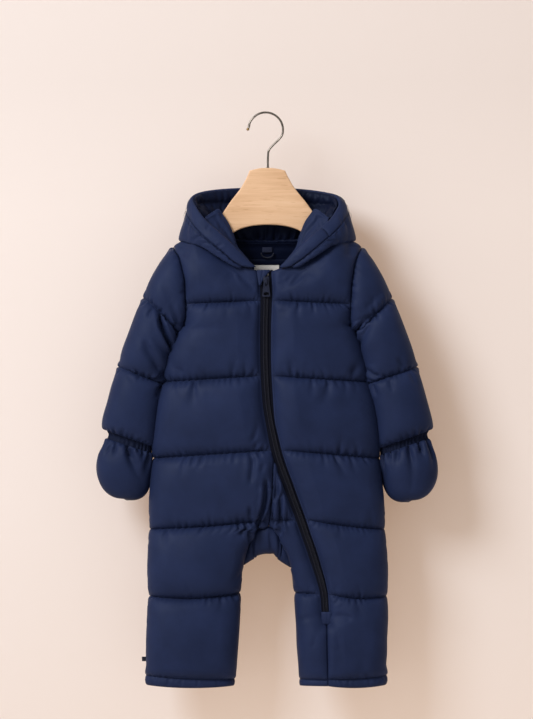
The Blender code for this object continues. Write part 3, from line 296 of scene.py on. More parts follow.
# The hood, by stations round the neck: from the centre front (first row)
# over the shoulder (row 7) to the centre back (last row). Each station has
# the neck seam, the low fold of the side panel, the seam of the front band
# and the rim of the face opening.
HOOD_RIGHT = (
    # z_neck, back, x_fold, z_fold, y_fold, x_seam, z_seam, y_seam, x_rim, z_rim, y_rim
    (-215.4, -1, -36, -216.8, -42, -35, -214.5, -44.5, -14.6, -215.5, -43.5),
    (-210.5, -1, -42.5, -215, -44, -49, -207, -47, -28, -203, -45),
    (-201.5, -1, -56.5, -208, -46, -65, -193, -48, -47, -183.5, -46),
    (-191, -1, -73.5, -197.5, -45, -80.5, -180.5, -46, -66, -166, -43),
    (-180, -1, -91, -187, -39, -95, -167.5, -39, -85.5, -148.5, -34),
    (-167.5, -1, -108, -181.5, -25, -107, -153.5, -25, -100, -131, -20),
    (-158.5, 0, -121, -177.5, -2, -113.5, -140.5, -4, -105.5, -118.5, -6),
    (-166, 1, -115.5, -178, 27, -108, -125.5, 18, -97.5, -111.5, 6),
    (-176, 1, -87, -192, 52, -89.5, -116, 38, -77, -107, 17),
    (-182.2, 1, -47.5, -205, 64, -47.5, -111.5, 48, -42, -104, 26),
    (-183.5, 1, 0, -208.5, 67, 0, -110, 51, 0, -103, 29),
)
HOOD_LEFT = (
    # z_neck, back, x_fold, z_fold, y_fold, x_seam, z_seam, y_seam, x_rim, z_rim, y_rim
    (-215.4, -1, 36, -216.4, -42, 35, -214, -44.5, 16, -216, -43.5),
    (-210.5, -1, 44, -214, -44, 49, -205, -47, 28, -203.5, -45),
    (-201.5, -1, 58, -206, -46, 65, -192.5, -48, 47, -185, -46),
    (-191, -1, 75, -195, -45, 78.5, -181, -46, 64.5, -168.5, -43),
    (-180, -1, 90.5, -185.5, -39, 94.5, -167.5, -39, 82, -153.5, -34),
    (-167.5, -1, 108, -180.5, -25, 108.5, -153, -25, 94.5, -138.5, -20),
    (-158.5, 0, 122, -177.5, -2, 115, -140.5, -4, 101.5, -124.5, -6),
    (-166, 1, 116, -178, 27, 110, -126.5, 18, 96.5, -114.5, 6),
    (-176, 1, 87, -192, 52, 89.5, -117.5, 38, 77, -109.5, 17),
    (-182.2, 1, 47.5, -205, 64, 47.5, -112, 48, 42, -105, 26),
    (-183.5, 1, 0, -208.5, 67, 0, -110, 51, 0, -103, 29),
)
# The facing that stands up inside the band and leans on the hanger's arm
FACING = (
    # x_foot, z_foot, y_foot, x_edge, z_edge, y_edge
    (-84.5, -152.5, -22, -86, -146, -20),
    (-77.5, -160.5, -24, -68, -134.5, -12),
    (-68.5, -171.5, -27, -62, -141, -11),
    (-58, -182.5, -29, -53, -154.5, -11),
    (-48.5, -192.5, -31, -47.5, -168, -12.5),
    (-37, -202.5, -33, -38.5, -190.5, -19),
    (-28, -210.5, -35, -26, -206.5, -30),
)
HANGER_OUTLINE = (
    # x, z: from the middle of the top to the middle of the underside
    (0, -76.3),
    (-11, -76.8),
    (-24.5, -80),
    (-29, -90.5),
    (-37, -105),
    (-50.5, -123.5),
    (-61.5, -140.5),
    (-62, -150),
    (-62.5, -160),
    (-65.5, -170),
    (-78.5, -180),
    (-98, -186.5),
    (-109, -194),
    (-112.5, -200.5),
    (-109, -206),
    (-98, -205.5),
    (-84, -199),
    (-66, -187),
    (-48, -168),
    (-25, -157.5),
    (0, -155.3),
)


# -------------------------------------------------------------- small tools


def smooth_curve(knots, values):
    """A smooth curve through a table's rows that never overshoots them; it takes arrays."""
    x = np.asarray(knots, float)
    y = np.asarray(values, float)
    if x[0] > x[-1]:
        x, y = x[::-1], y[::-1]
    h = np.diff(x)
    slope = np.diff(y) / h
    m = np.zeros(len(x))
    m[0], m[-1] = slope[0], slope[-1]
    for i in range(1, len(x) - 1):
        if slope[i - 1] * slope[i] > 0:
            w1, w2 = 2 * h[i] + h[i - 1], h[i] + 2 * h[i - 1]
            m[i] = (w1 + w2) / (w1 / slope[i - 1] + w2 / slope[i])

    def value(at):
        at = np.clip(np.asarray(at, float), x[0], x[-1])
        i = np.clip(np.searchsorted(x, at, side="right") - 1, 0, len(x) - 2)
        t = (at - x[i]) / h[i]
        return (
            (2 * t**3 - 3 * t**2 + 1) * y[i]
            + (t**3 - 2 * t**2 + t) * h[i] * m[i]
            + (3 * t**2 - 2 * t**3) * y[i + 1]
            + (t**3 - t**2) * h[i] * m[i + 1]
        )

    return value


def column(table, name, names, key=0):
    at = names.index(name)
    return smooth_curve([row[key] for row in table], [row[at] for row in table])


def ease(t):
    t = np.clip(t, 0.0, 1.0)
    return t * t * (3 - 2 * t)


BODY_NAMES = ("z", "x_right", "x_left", "y_edge", "d_front", "d_back")
x_right, x_left, y_edge, d_front, d_back = (
    column(BODY, n, BODY_NAMES) for n in BODY_NAMES[1:]
)
leg_in_right = column(LEGS, "x_in_right", ("z", "x_in_right", "x_in_left"))
leg_in_left = column(LEGS, "x_in_left", ("z", "x_in_right", "x_in_left"))
zip_x = column(ZIP, "x_centre", ("z", "x_centre", "half_width"))
zip_half = column(ZIP, "half_width", ("z", "x_centre", "half_width"))
neck_front_right = column(NECK_FRONT, "x_right", ("z", "x_right", "x_left"))
neck_front_left = column(NECK_FRONT, "x_left", ("z", "x_right", "x_left"))
neck_back_right = column(NECK_BACK, "x_right", ("z", "x_right", "x_left"))
neck_back_left = column(NECK_BACK, "x_left", ("z", "x_right", "x_left"))
centre_front = column(CENTRE_FRONT, "x", ("z", "x"))
arch_right = column(ARCH, "x_right", ("z", "x_right", "x_left"))
arch_left = column(ARCH, "x_left", ("z", "x_right", "x_left"))
gusset_low = column(GUSSET_LOW, "z", ("x", "z"))
ARMHOLE_TOP, ARMHOLE_FOOT = -187.5, -305.0


def section(x, left, right, depth, edge=0.0):
    """Depth at x of a rounded section whose sides are at left and right."""
    middle, half = (left + right) / 2, (right - left) / 2
    edge = np.clip(edge / depth, 0, 0.98)
    half = half / (1 - edge**ROUND_FACE) ** (1 / ROUND_SIDE)
    t = np.minimum(np.abs(x - middle) / half, 1.0)
    return depth * (1 - t**ROUND_SIDE) ** (1 / ROUND_FACE)


def depth_at(x, z, side):
    """Distance of the seam-level skin from the side-seam plane, front (-1) or back (+1)."""
    x, z = np.asarray(x, float), np.asarray(z, float)
    deep = d_front(z) if side < 0 else d_back(z)
    body = section(x, x_right(z), x_left(z), deep, y_edge(z))
    split = ease((z - LEG_START) / (LEG_END - LEG_START))
    low = np.where(x < 0, x_right(z), leg_in_left(z))
    high = np.where(x < 0, leg_in_right(z), x_left(z))
    leg = section(np.clip(x, low, high), low, high, deep)
    return np.where(split <= 0, body, (1 - split) * body + split * leg)


# ------------------------------------------------------------- panel edges


def inner_front_right(z):
    tape = zip_x(z) - zip_half(z) - GAP
    made = np.where(z > -633.5, arch_right(z), leg_in_right(z))
    made = np.where(z > -577.5, np.minimum(tape, centre_front(z) - GAP / 2), made)
    made = np.where(z > -474, tape, made)
    return np.where(z >= -219, neck_front_right(z), made)


def inner_front_left(z):
    return np.where(z >= -219, neck_front_left(z), zip_x(z) + zip_half(z) + GAP)


def wedge_outer(z):
    made = np.where(z > -633.5, arch_left(z), leg_in_left(z))
    return np.where(z > -577.5, centre_front(z) + GAP / 2, made)


def wedge_inner(z):
    return zip_x(z) - zip_half(z) - GAP


def centre_back(z):
    return 2.5 * ease((z + 541) / -36.5)


def inner_back_right(z):
    made = np.where(z > -633.5, arch_right(z), leg_in_right(z))
    made = np.where(z > -577.5, centre_back(z) - GAP / 2, made)
    return np.where(z >= -183.5, neck_back_right(z), made)


def inner_back_left(z):
    made = np.where(z > -633.5, arch_left(z), leg_in_left(z))
    made = np.where(z > -577.5, centre_back(z) + GAP / 2, made)
    return np.where(z >= -183.5, neck_back_left(z), made)


NECKLINE = {
    -1: [(x, row[0]) for row in NECK_FRONT for x in row[1:]],
    1: [(x, row[0]) for row in NECK_BACK for x in row[1:]],
}


def clear_of_neck(x, z, side):
    """0 along the neckline, where the hood is sewn on, growing to 1 further down."""
    points = np.array(NECKLINE[side])
    gap = np.hypot(x[..., None] - points[:, 0], z[..., None] - points[:, 1]).min(axis=-1)
    return np.where(z < -262, 1.0, ease((gap - 4.0) / 34.0))


def across(z_side, z_mid, z_inner, share):
    """Height of a line that passes through three heights, at a share of the width."""
    return (
        z_side * (1 - share) * (1 - 2 * share)
        + 4 * z_mid * share * (1 - share)
        + z_inner * share * (2 * share - 1)
    )


def grid_normals(grid, wrap=False):
    """Unit normals of a grid of points by the differences between neighbours."""
    if wrap:
        du = np.roll(grid, -1, axis=1) - np.roll(grid, 1, axis=1)
    else:
        du = np.gradient(grid, axis=1)
    dv = np.gradient(grid, axis=0)
    normal = np.cross(du, dv)
    size = np.linalg.norm(normal, axis=2, keepdims=True)
    size[size == 0] = 1
    return normal / size


def noise_line(count, smooth, seed, wrap=False):
    """Seeded noise along a line, smoothed over a number of points, about -1 to 1."""
    made = np.random.default_rng(seed).normal(size=count)
    radius = max(int(smooth * 2.5), 1)
    kernel = np.exp(-0.5 * (np.arange(-radius, radius + 1) / max(smooth, 0.3)) ** 2)
    kernel /= np.sqrt((kernel**2).sum())
    padded = np.pad(made, radius, mode="wrap" if wrap else "reflect") if count > radius else np.pad(made, radius, mode="edge")
    return np.clip(np.convolve(padded, kernel, mode="valid"), -2.2, 2.2) / 1.6


def noise_grid(rows, cols, smooth_rows, smooth_cols, seed, wrap=False):
    """Seeded noise on a grid, smoothed along both ways, about -1 to 1."""
    made = np.random.default_rng(seed).normal(size=(rows, cols))
    for axis, smooth in ((0, smooth_rows), (1, smooth_cols)):
        if smooth <= 0.3:
            continue
        size = made.shape[axis]
        radius = min(max(int(smooth * 2.5), 1), size - 1)
        kernel = np.exp(-0.5 * (np.arange(-radius, radius + 1) / smooth) ** 2)
        kernel /= np.sqrt((kernel**2).sum())
        pad = [(0, 0), (0, 0)]
        pad[axis] = (radius, radius)
        mode = "wrap" if wrap and axis == 1 else "reflect"
        wide = np.pad(made, pad, mode=mode)
        total = np.zeros_like(made)
        for k, w in enumerate(kernel):
            total += w * (wide[k : k + size] if axis == 0 else wide[:, k : k + size])
        made = total
    return np.clip(made, -2.2, 2.2) / 1.6


# ------------------------------------------------------------- cloth solver


def pairs(rows, cols, wrap):
    """Sets of point pairs on a grid. No point is in two pairs of one set, so a
    set is solved at once."""
    index = np.arange(rows * cols).reshape(rows, cols)
    made = []

    def add(kind, a, b):
        if a.size:
            made.append((kind, a.ravel(), b.ravel()))

    nxt = np.roll(index, -1, axis=1)
    for start in (0, 1):
        if wrap:
            add("across", index[:, start::2], nxt[:, start::2])
        else:
            a, b = index[:, start:-1:2], index[:, start + 1 :: 2]
            add("across", a[:, : b.shape[1]], b[:, : a.shape[1]])
        a, b = index[start:-1:2], index[start + 1 :: 2]
        n = min(len(a), len(b))
        add("down", a[:n], b[:n])
        if wrap:
            an, bn = nxt[start:-1:2], nxt[start + 1 :: 2]
            add("shear", a[:n], bn[:n])
            add("shear", an[:n], b[:n])
        else:
            add("shear", a[:n, :-1], b[:n, 1:])
            add("shear", a[:n, 1:], b[:n, :-1])
    two = np.roll(index, -2, axis=1)
    if wrap:
        cell = np.arange(cols)
        for part in ((cell % 4 < 2), (cell % 4 >= 2)):
            add("bend_across", index[:, part], two[:, part])
    else:
        cell = np.arange(cols - 2)
        for part in ((cell % 4 < 2), (cell % 4 >= 2)):
            add("bend_across", index[:, :-2][:, part], index[:, 2:][:, part])
    cell = np.arange(rows - 2)
    for part in ((cell % 4 < 2), (cell % 4 >= 2)):
        add("bend_down", index[:-2][part], index[2:][part])
    return made


def settle(target, base, pinned, more_across, more_down, steps, seed, wrap=False,
           push=0.012, bend=0.10, jitter=0.5, low=-0.8, over=4.0, speed=0.85, grain=None):
    """Inflated cloth: starts on the target surface, whose lengths it is cut to, plus
    a share more each way, and is pushed out by the filling while it is pinned.

    target and base are grids of points; more_across and more_down are arrays of
    extra length by point."""
    rows, cols = target.shape[:2]
    out = grid_normals(base, wrap)
    lift = ((target - base) * out).sum(axis=2)
    if lift.sum() < 0:
        out = -out
        lift = -lift
    facing = 1.0 if (grid_normals(target, wrap) * out).sum() > 0 else -1.0
    rough = noise_grid(rows, cols, 2.2, 1.3, seed, wrap) * jitter
    if grain is not None:
        rough = rough * grain
    free = (~pinned).astype(np.float32)
    points = (target + out * (rough * free)[..., None]).reshape(-1, 3).astype(np.float32)
    flat_target = target.reshape(-1, 3)
    weight = free.ravel()
    across_more = more_across.ravel()
    down_more = more_down.ravel()
    sets = []
    for kind, a, b in pairs(rows, cols, wrap):
        length = np.linalg.norm(flat_target[b] - flat_target[a], axis=1)
        if kind == "across":
            length = length * (1 + (across_more[a] + across_more[b]) / 2)
            k = 0.9
        elif kind == "down":
            length = length * (1 + (down_more[a] + down_more[b]) / 2)
            k = 0.9
        elif kind == "shear":
            length = length * (1 + (across_more[a] + across_more[b] + down_more[a] + down_more[b]) / 4)
            k = 0.35
        elif kind == "bend_across":
            length = length * (1 + (across_more[a] + across_more[b]) / 2)
            k = bend
        else:
            length = length * (1 + (down_more[a] + down_more[b]) / 2)
            k = bend
        wa, wb = weight[a], weight[b]
        total = wa + wb
        use = total > 0
        a, b, length = a[use], b[use], length[use]
        wa, wb, total = wa[use], wb[use], total[use]
        sets.append((a, b, length.astype(np.float32), (k * wa / total).astype(np.float32)[:, None],
                     (k * wb / total).astype(np.float32)[:, None], kind.startswith("bend")))
    start = base.reshape(-1, 3).astype(np.float32)
    out_flat = out.reshape(-1, 3).astype(np.float32)
    most = (np.maximum(lift, 0.5).ravel() * 1.25 + over).astype(np.float32)
    before = points.copy()
    held = weight == 0
    pins = flat_target[held].astype(np.float32)
    normal = None
    for step in range(steps):
        if step % 5 == 0:
            grid = points.reshape(rows, cols, 3)
            normal = (facing * grid_normals(grid, wrap)).reshape(-1, 3).astype(np.float32)
        now = points + speed * (points - before) + (push * weight)[:, None] * normal
        before = points
        points = now
        for a, b, length, ka, kb, bending in sets:
            if bending and step % 2:
                continue
            pa, pb = points[a], points[b]
            gap = pb - pa
            size = np.sqrt(np.einsum("ij,ij->i", gap, gap)) + 1e-6
            gap *= ((size - length) / size)[:, None]
            points[a] = pa + ka * gap
            points[b] = pb - kb * gap
        height = np.einsum("ij,ij->i", points - start, out_flat)
        fix = np.where(height > most, most - height, np.where(height < low, low - height, 0)) * weight * 0.5
        points += fix[:, None] * out_flat
        points[held] = pins
    return points.reshape(rows, cols, 3).astype(float)


# -------------------------------------------------------------- mesh makers
MADE = {}


def add_mesh(name, points, faces, finish, body="suit", smooth=True, uv=None, sharp=None):
    """A mesh object from points in millimetres. faces is a list of arrays of quads or
    triangles, all closed and facing out."""
    points = np.asarray(points, float) * 0.001
    mesh = bpy.data.meshes.new(name)
    loops, starts, sizes, at = [], [], [], 0
    for block in faces:
        block = np.asarray(block, np.int32)
        if not block.size:
            continue
        n, k = block.shape
        loops.append(block.ravel())
        starts.append(at + np.arange(n) * k)
        sizes.append(np.full(n, k))
        at += n * k
    loops = np.concatenate(loops)
    starts = np.concatenate(starts)
    mesh.vertices.add(len(points))
    mesh.vertices.foreach_set("co", points.ravel().astype(np.float32))
    mesh.loops.add(len(loops))
    mesh.loops.foreach_set("vertex_index", loops.astype(np.int32))
    mesh.polygons.add(len(starts))
    mesh.polygons.foreach_set("loop_start", starts.astype(np.int32))
    mesh.update(calc_edges=True)
    mesh.validate(verbose=False)
    if uv is not None:
        layer = mesh.uv_layers.new(name="UVMap")
        layer.data.foreach_set("uv", np.asarray(uv, float)[loops].ravel().astype(np.float32))
    if smooth:
        mesh.shade_smooth()
        if sharp:
            mesh.set_sharp_from_angle(angle=math.radians(sharp))
    mesh.materials.append(finish)
    obj = bpy.data.objects.new(name, mesh)
    bpy.context.scene.collection.objects.link(obj)
    if body:
        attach(obj, body)
    MADE[name] = obj
    return obj


def wall_mesh(name, skin, lining, finish, wrap=False, cap=None, **options):
    """A closed wall from two grids of points; cap closes the last row of a tube."""
    rows, cols = skin.shape[:2]
    shift = rows * cols
    points = [skin.reshape(-1, 3), lining.reshape(-1, 3)]
    index = np.arange(shift).reshape(rows, cols)
    if wrap:
        right = np.roll(index, -1, axis=1)
        a, b, c, d = index[:-1], right[:-1], right[1:], index[1:]
    else:
        a, b, c, d = index[:-1, :-1], index[:-1, 1:], index[1:, 1:], index[1:, :-1]
    outer = np.stack([a.ravel(), b.ravel(), c.ravel(), d.ravel()], axis=1)
    inner = outer[:, ::-1] + shift
    blocks = [outer, inner]

    def strip(line):
        line = np.asarray(line)
        p, q = line[:-1], line[1:]
        blocks.append(np.stack([q, p, p + shift, q + shift], axis=1))

    if wrap:
        strip(np.append(index[0], index[0, 0]))
        if cap is None:
            strip(np.append(index[-1], index[-1, 0])[::-1])
        else:
            points += [np.array([cap[0]]), np.array([cap[1]])]
            tip, deep = 2 * shift, 2 * shift + 1
            foot, after = index[-1], np.roll(index[-1], -1)
            blocks.append(np.stack([foot, after, np.full(cols, tip)], axis=1))
            blocks.append(np.stack([after + shift, foot + shift, np.full(cols, deep)], axis=1))
    else:
        strip(index[0])
        strip(index[:, -1])
        strip(index[-1][::-1])
        strip(index[:, 0][::-1])
    points = np.concatenate(points)
    # outward check by signed volume
    total = 0.0
    for block in blocks:
        p = points[block]
        for k in range(1, block.shape[1] - 1):
            total += np.einsum("ij,ij->i", p[:, 0], np.cross(p[:, k], p[:, k + 1])).sum()
    if total < 0:
        blocks = [block[:, ::-1] for block in blocks]
    quads = [b for b in blocks if b.shape[1] == 4]
    tris = [b for b in blocks if b.shape[1] == 3]
    return add_mesh(name, points, quads + tris, finish, **options)


def resample_rows(grid, count):
    """Each row of a grid at equal steps of its own length."""
    step = np.linalg.norm(np.diff(grid, axis=1), axis=2)
    far = np.concatenate([np.zeros((len(grid), 1)), np.cumsum(step, axis=1)], axis=1)
    far /= far[:, -1:]
    made = np.zeros((len(grid), count, 3))
    at = np.linspace(0, 1, count)
    for j in range(len(grid)):
        for k in range(3):
            made[j, :, k] = np.interp(at, far[j], grid[j, :, k])
    return made


def loft(lines, places, at):
    """Grids between given lines of points, by a smooth curve through each column."""
    lines = np.asarray(lines, float)
    x = np.asarray(places, float)
    h = np.diff(x)[:, None, None]
    slope = np.diff(lines, axis=0) / h
    m = np.zeros_like(lines)
    m[0], m[-1] = slope[0], slope[-1]
    for i in range(1, len(x) - 1):
        w = h[i] / (h[i - 1] + h[i])
        m[i] = slope[i - 1] * w + slope[i] * (1 - w)
    at = np.asarray(at, float)
    i = np.clip(np.searchsorted(x, at, side="right") - 1, 0, len(x) - 2)
    t = ((at - x[i]) / np.diff(x)[i])[:, None, None]
    hh = np.diff(x)[i][:, None, None]
    return (
        (2 * t**3 - 3 * t**2 + 1) * lines[i]
        + (t**3 - 2 * t**2 + t) * hh * m[i]
        + (3 * t**2 - 2 * t**3) * lines[i + 1]
        + (t**3 - t**2) * hh * m[i + 1]
    )


# ---------------------------------------------------------------- materials


def noise_node(nodes, links, scale, detail=3.0, rough=0.5, stretch=None, seed=0.0):
    """Noise over the garment's own coordinates, in metres."""
    place = nodes.new("ShaderNodeTexCoord")
    mapping = nodes.new("ShaderNodeMapping")
    mapping.inputs["Location"].default_value = (seed, seed * 0.7, seed * 1.3)
    if stretch:
        mapping.inputs["Scale"].default_value = stretch
    links.new(place.outputs["Object"], mapping.inputs["Vector"])
    noise = nodes.new("ShaderNodeTexNoise")
    noise.inputs["Scale"].default_value = scale
    noise.inputs["Detail"].default_value = detail
    noise.inputs["Roughness"].default_value = rough
    links.new(mapping.outputs["Vector"], noise.inputs["Vector"])
    return noise


def ramp(nodes, links, source, stops):
    made = nodes.new("ShaderNodeValToRGB")
    while len(made.color_ramp.elements) > 1:
        made.color_ramp.elements.remove(made.color_ramp.elements[-1])
    for k, (at, colour) in enumerate(stops):
        element = made.color_ramp.elements[0] if k == 0 else made.color_ramp.elements.new(at)
        element.position = at
        element.color = (*colour, 1)
    links.new(source, made.inputs["Fac"])
    return made


def bump(nodes, links, height, strength, distance, under=None):
    made = nodes.new("ShaderNodeBump")
    made.inputs["Strength"].default_value = strength
    made.inputs["Distance"].default_value = distance
    links.new(height, made.inputs["Height"])
    if under is not None:
        links.new(under, made.inputs["Normal"])
    return made.outputs["Normal"]


def nylon(name, colour, rough=0.56, sheen=0.01, weave=2400.0, crinkle=0.00022, spec=0.11, tint=(0.75, 0.84, 1.0)):
    """Fine woven nylon over filling: plain weave, faint slubs and a soft crinkle."""
    made = bpy.data.materials.new(name)
    made.use_nodes = True
    nodes, links = made.node_tree.nodes, made.node_tree.links
    shader = nodes["Principled BSDF"]
    dark = tuple(c * 0.86 for c in colour)
    light = tuple(min(c * 1.13, 1) for c in colour)
    cloudy = noise_node(nodes, links, 26.0, 4.0, 0.6)
    shade = ramp(nodes, links, cloudy.outputs["Fac"], [(0.30, dark), (0.70, light)])
    links.new(shade.outputs["Color"], shader.inputs["Base Color"])
    patchy = noise_node(nodes, links, 60.0, 3.0, 0.55, seed=3.1)
    span = nodes.new("ShaderNodeMapRange")
    span.inputs["From Min"].default_value = 0.3
    span.inputs["From Max"].default_value = 0.7
    span.inputs["To Min"].default_value = rough - 0.05
    span.inputs["To Max"].default_value = rough + 0.06
    links.new(patchy.outputs["Fac"], span.inputs["Value"])
    links.new(span.outputs["Result"], shader.inputs["Roughness"])
    shader.inputs["Specular IOR Level"].default_value = spec
    shader.inputs["Specular Tint"].default_value = (*tint, 1)
    shader.inputs["Sheen Weight"].default_value = sheen
    shader.inputs["Sheen Roughness"].default_value = 0.42
    shader.inputs["Sheen Tint"].default_value = (*tint, 1)
    wrinkle = noise_node(nodes, links, 190.0, 3.0, 0.55, seed=1.7)
    normal = bump(nodes, links, wrinkle.outputs["Fac"], 0.55, crinkle)
    # the weave: two crossed sets of fine threads on the cloth's own coordinates
    uv = nodes.new("ShaderNodeTexCoord")
    split = nodes.new("ShaderNodeSeparateXYZ")
    links.new(uv.outputs["UV"], split.inputs["Vector"])
    threads = []
    for axis in ("X", "Y"):
        wave = nodes.new("ShaderNodeMath")
        wave.operation = "MULTIPLY"
        wave.inputs[1].default_value = weave * 2.0
        links.new(split.outputs[axis], wave.inputs[0])
        sine = nodes.new("ShaderNodeMath")
        sine.operation = "SINE"
        links.new(wave.outputs[0], sine.inputs[0])
        threads.append(sine)
    both = nodes.new("ShaderNodeMath")
    both.operation = "MULTIPLY"
    links.new(threads[0].outputs[0], both.inputs[0])
    links.new(threads[1].outputs[0], both.inputs[1])
    normal = bump(nodes, links, both.outputs[0], 0.16, 0.00006, normal)
    links.new(normal, shader.inputs["Normal"])
    return made


NAVY_SHELL = nylon("nylon_navy", (0.0131, 0.0213, 0.0635))


# --------------------------------------------------------------- body panels
SPACING = 2.15  # between cloth points, on average
PUFF_SEEN = 9.0  # how far the filling lifts the cloth between two seams
SIDE_INSET = 3.1  # how far a side seam is drawn in between the puffs
PLACKET = 3.2  # from the zip's edge to its line of topstitching
SIDE_ROUND = 1.2  # how far the filling bows a side seam out between two quilting lines
SEAM_PATHS = []  # (points, normals) of every stitched line


SIDE_WAVE_Z = np.linspace(-810, -160, 260)
SIDE_WAVE = noise_line(260, 3.2, 401)  # the side seam puckers a little


def side_bow(z):
    """How far the side seam stands out: in bows between the quilting lines."""
    z = np.asarray(z, float)
    lines = [row[1] for row in QUILT[2:]]
    made = np.zeros(z.shape)
    for high, low in zip(lines, lines[1:]):
        s = np.clip((high - z) / (high - low), 0, 1)
        made = np.where((z <= high) & (z >= low), (4 * s * (1 - s)) ** 0.6, made)
    made = made + 0.32 * np.interp(z, SIDE_WAVE_Z, SIDE_WAVE)
    made = SIDE_ROUND * made + 0.8 * ease((z + 470) / 40.0) - SIDE_INSET * ease((-455 - z) / 40.0) * (1 - 0.85 * ease((-768 - z) / 16.0))
    return made * ease((-305 - z) / 30.0)


def side_right(z):
    return x_right(z) - side_bow(z) - 1.8 * ease((-744 - np.asarray(z, float)) / 22.0)


def side_left(z):
    z = np.asarray(z, float)
    return x_left(z) + side_bow(z) - 1.1 * np.exp(-(((z + 738) / 14.0) ** 2)) + 1.8 * ease((-770 - z) / 14.0)


def leg_apart(z):
    """How far the inner legs are drawn back, so that their filling reaches the leg's edge."""
    return np.interp(z, (-800, -758, -717, -671, -642, -625, -606), (-0.1, 1.7, 2.4, 3.6, 5.3, 3.7, 0))


def right_apart(z):
    """The same on the right leg, whose inner side hangs fuller."""
    return np.interp(z, (-800, -758, -717, -671, -642, -625, -606), (-0.6, 0.3, 0.9, 2.0, 3.2, 2.4, 0))


AS_CUT = {side_right: x_right, side_left: x_left}  # the seam's own line under a drawn one


def leg_right(inner):
    made = lambda z: inner(z) - right_apart(z)
    AS_CUT[made] = inner
    return made


def leg_left(inner):
    made = lambda z: inner(z) + leg_apart(z)
    AS_CUT[made] = inner
    return made


def puff_share(band, cut):
    """Height of the filling inside a band of quilting; it hangs a little low."""
    if band <= 1:
        low, high = QUILT[2][1], QUILT[0][1]
        cut = (QUILT[band][1] + (QUILT[band + 1][1] - QUILT[band][1]) * cut - high) / (low - high)
    if band == len(QUILT) - 2:
        return 0.22 * (4 * cut * (1 - cut)) ** 0.5
    cut = cut ** 0.93
    return (4 * cut * (1 - cut)) ** 0.54


def dense_rows(first=0, skip_to=None):
    rows = []
    for band in range(len(QUILT) - 1):
        tall = abs(QUILT[band][2] - QUILT[band + 1][2])
        count = max(int(round(tall / SPACING)), 2)
        for k in range(count + 1):
            if band and k == 0:
                continue
            s = k / count
            # closer together beside the stitching than between two lines of it
            rows.append((band, 1 if k == count else s - 0.5 * math.sin(2 * math.pi * s) / (2 * math.pi)))
    rows[0] = (0, 0.02)
    return rows


def row_lines(rows):
    lines = []
    for band, cut in rows:
        above, below = QUILT[band], QUILT[band + 1]
        lines.append([above[k] + (below[k] - above[k]) * cut for k in (1, 2, 3)])
    return np.array(lines)


def seam_rows(rows):
    """Rows that are stitched down: the quilting lines, not the top of the armhole."""
    return [j for j, (band, cut) in enumerate(rows) if cut == 1 and band not in (0, len(QUILT) - 2)]


def armhole_normal(z, side):
    if z >= ARMHOLE_TOP - 0.01:
        return np.array((0, 0, 1.0))
    if z <= ARMHOLE_FOOT + 0.01:
        return np.array((0, 0, -1.0))
    slope = float(y_edge(z + 0.5) - y_edge(z - 0.5))
    n = np.array((0, side, -slope))
    return n / np.linalg.norm(n)


def body_base(side, outer, inner, rows, columns):
    """Seam-level surface of a panel: rows follow the quilting, columns stand at equal steps."""
    lines = row_lines(rows)
    share = (1 - np.cos(np.linspace(0, np.pi, 181))) / 2
    z = across(lines[:, :1], lines[:, 1:2], lines[:, 2:], share[None, :])
    xo, xi = outer(z), inner(z)
    x = xo + (xi - xo) * share
    # the depth is that of the same place between the seams, so front and back meet
    co, ci = AS_CUT.get(outer, outer)(z), AS_CUT.get(inner, inner)(z)
    fine = np.stack([x, side * depth_at(co + (ci - co) * share, z, side), z], axis=2)
    return resample_rows(fine, columns + 1)


def edge_distance(base):
    """Distance of each point from the two upright edges, measured on the cloth."""
    step = np.linalg.norm(np.diff(base, axis=1), axis=2)
    far = np.concatenate([np.zeros((len(base), 1)), np.cumsum(step, axis=1)], axis=1)
    return far, far[:, -1:] - far


def seam_distance(base, rows, seams):
    """Distance of each row's points from the nearest stitched row, down the cloth."""
    made = np.full(base.shape[:2], 1e3)
    step = np.linalg.norm(np.diff(base, axis=0), axis=2)
    far = np.concatenate([np.zeros((1, base.shape[1])), np.cumsum(step, axis=0)], axis=0)
    for j in seams:
        made = np.minimum(made, np.abs(far - far[j]))
    return made


SEAM_STRENGTH = (1.0, 1.75, 1.75, 1.6, 1.4, 0.5)


def troughs(u, d, seed, length, strength, spacing=(7.0, 16.0), reach=(6.0, 28.0), lean=0.32, wrap=0.0):
    """Short creases that run away from a seam. u is the place along the seam and d the
    distance from it; they are as uneven as hand-fed cloth under a needle."""
    rng = np.random.default_rng(seed)
    made = np.zeros(u.shape)
    at = rng.uniform(0, spacing[1])
    while at < length:
        pick = rng.random()
        deep = strength * (0.35 + 2.3 * pick**2.2)
        far = reach[0] + (reach[1] - reach[0]) * rng.random() ** 1.6 * (0.45 + 0.55 * pick)
        wide = 1.05 + 0.045 * far + rng.uniform(0, 0.5)
        slant = rng.uniform(-lean, lean)
        curl = rng.uniform(-0.006, 0.006)
        gap = u - at - slant * d - curl * d * d
        if wrap:
            gap = (gap + wrap / 2) % wrap - wrap / 2
        w = wide * (1 + d / 20.0)
        fade = np.exp(-((d / far) ** 2)) * ease(d / 2.2)
        made -= deep * (np.exp(-((gap / w) ** 2)) - 0.42 * np.exp(-(((np.abs(gap) - 1.95 * w) / (0.95 * w)) ** 2))) * fade
        at += rng.uniform(*spacing) * (0.6 + 0.9 * rng.random())
    return made


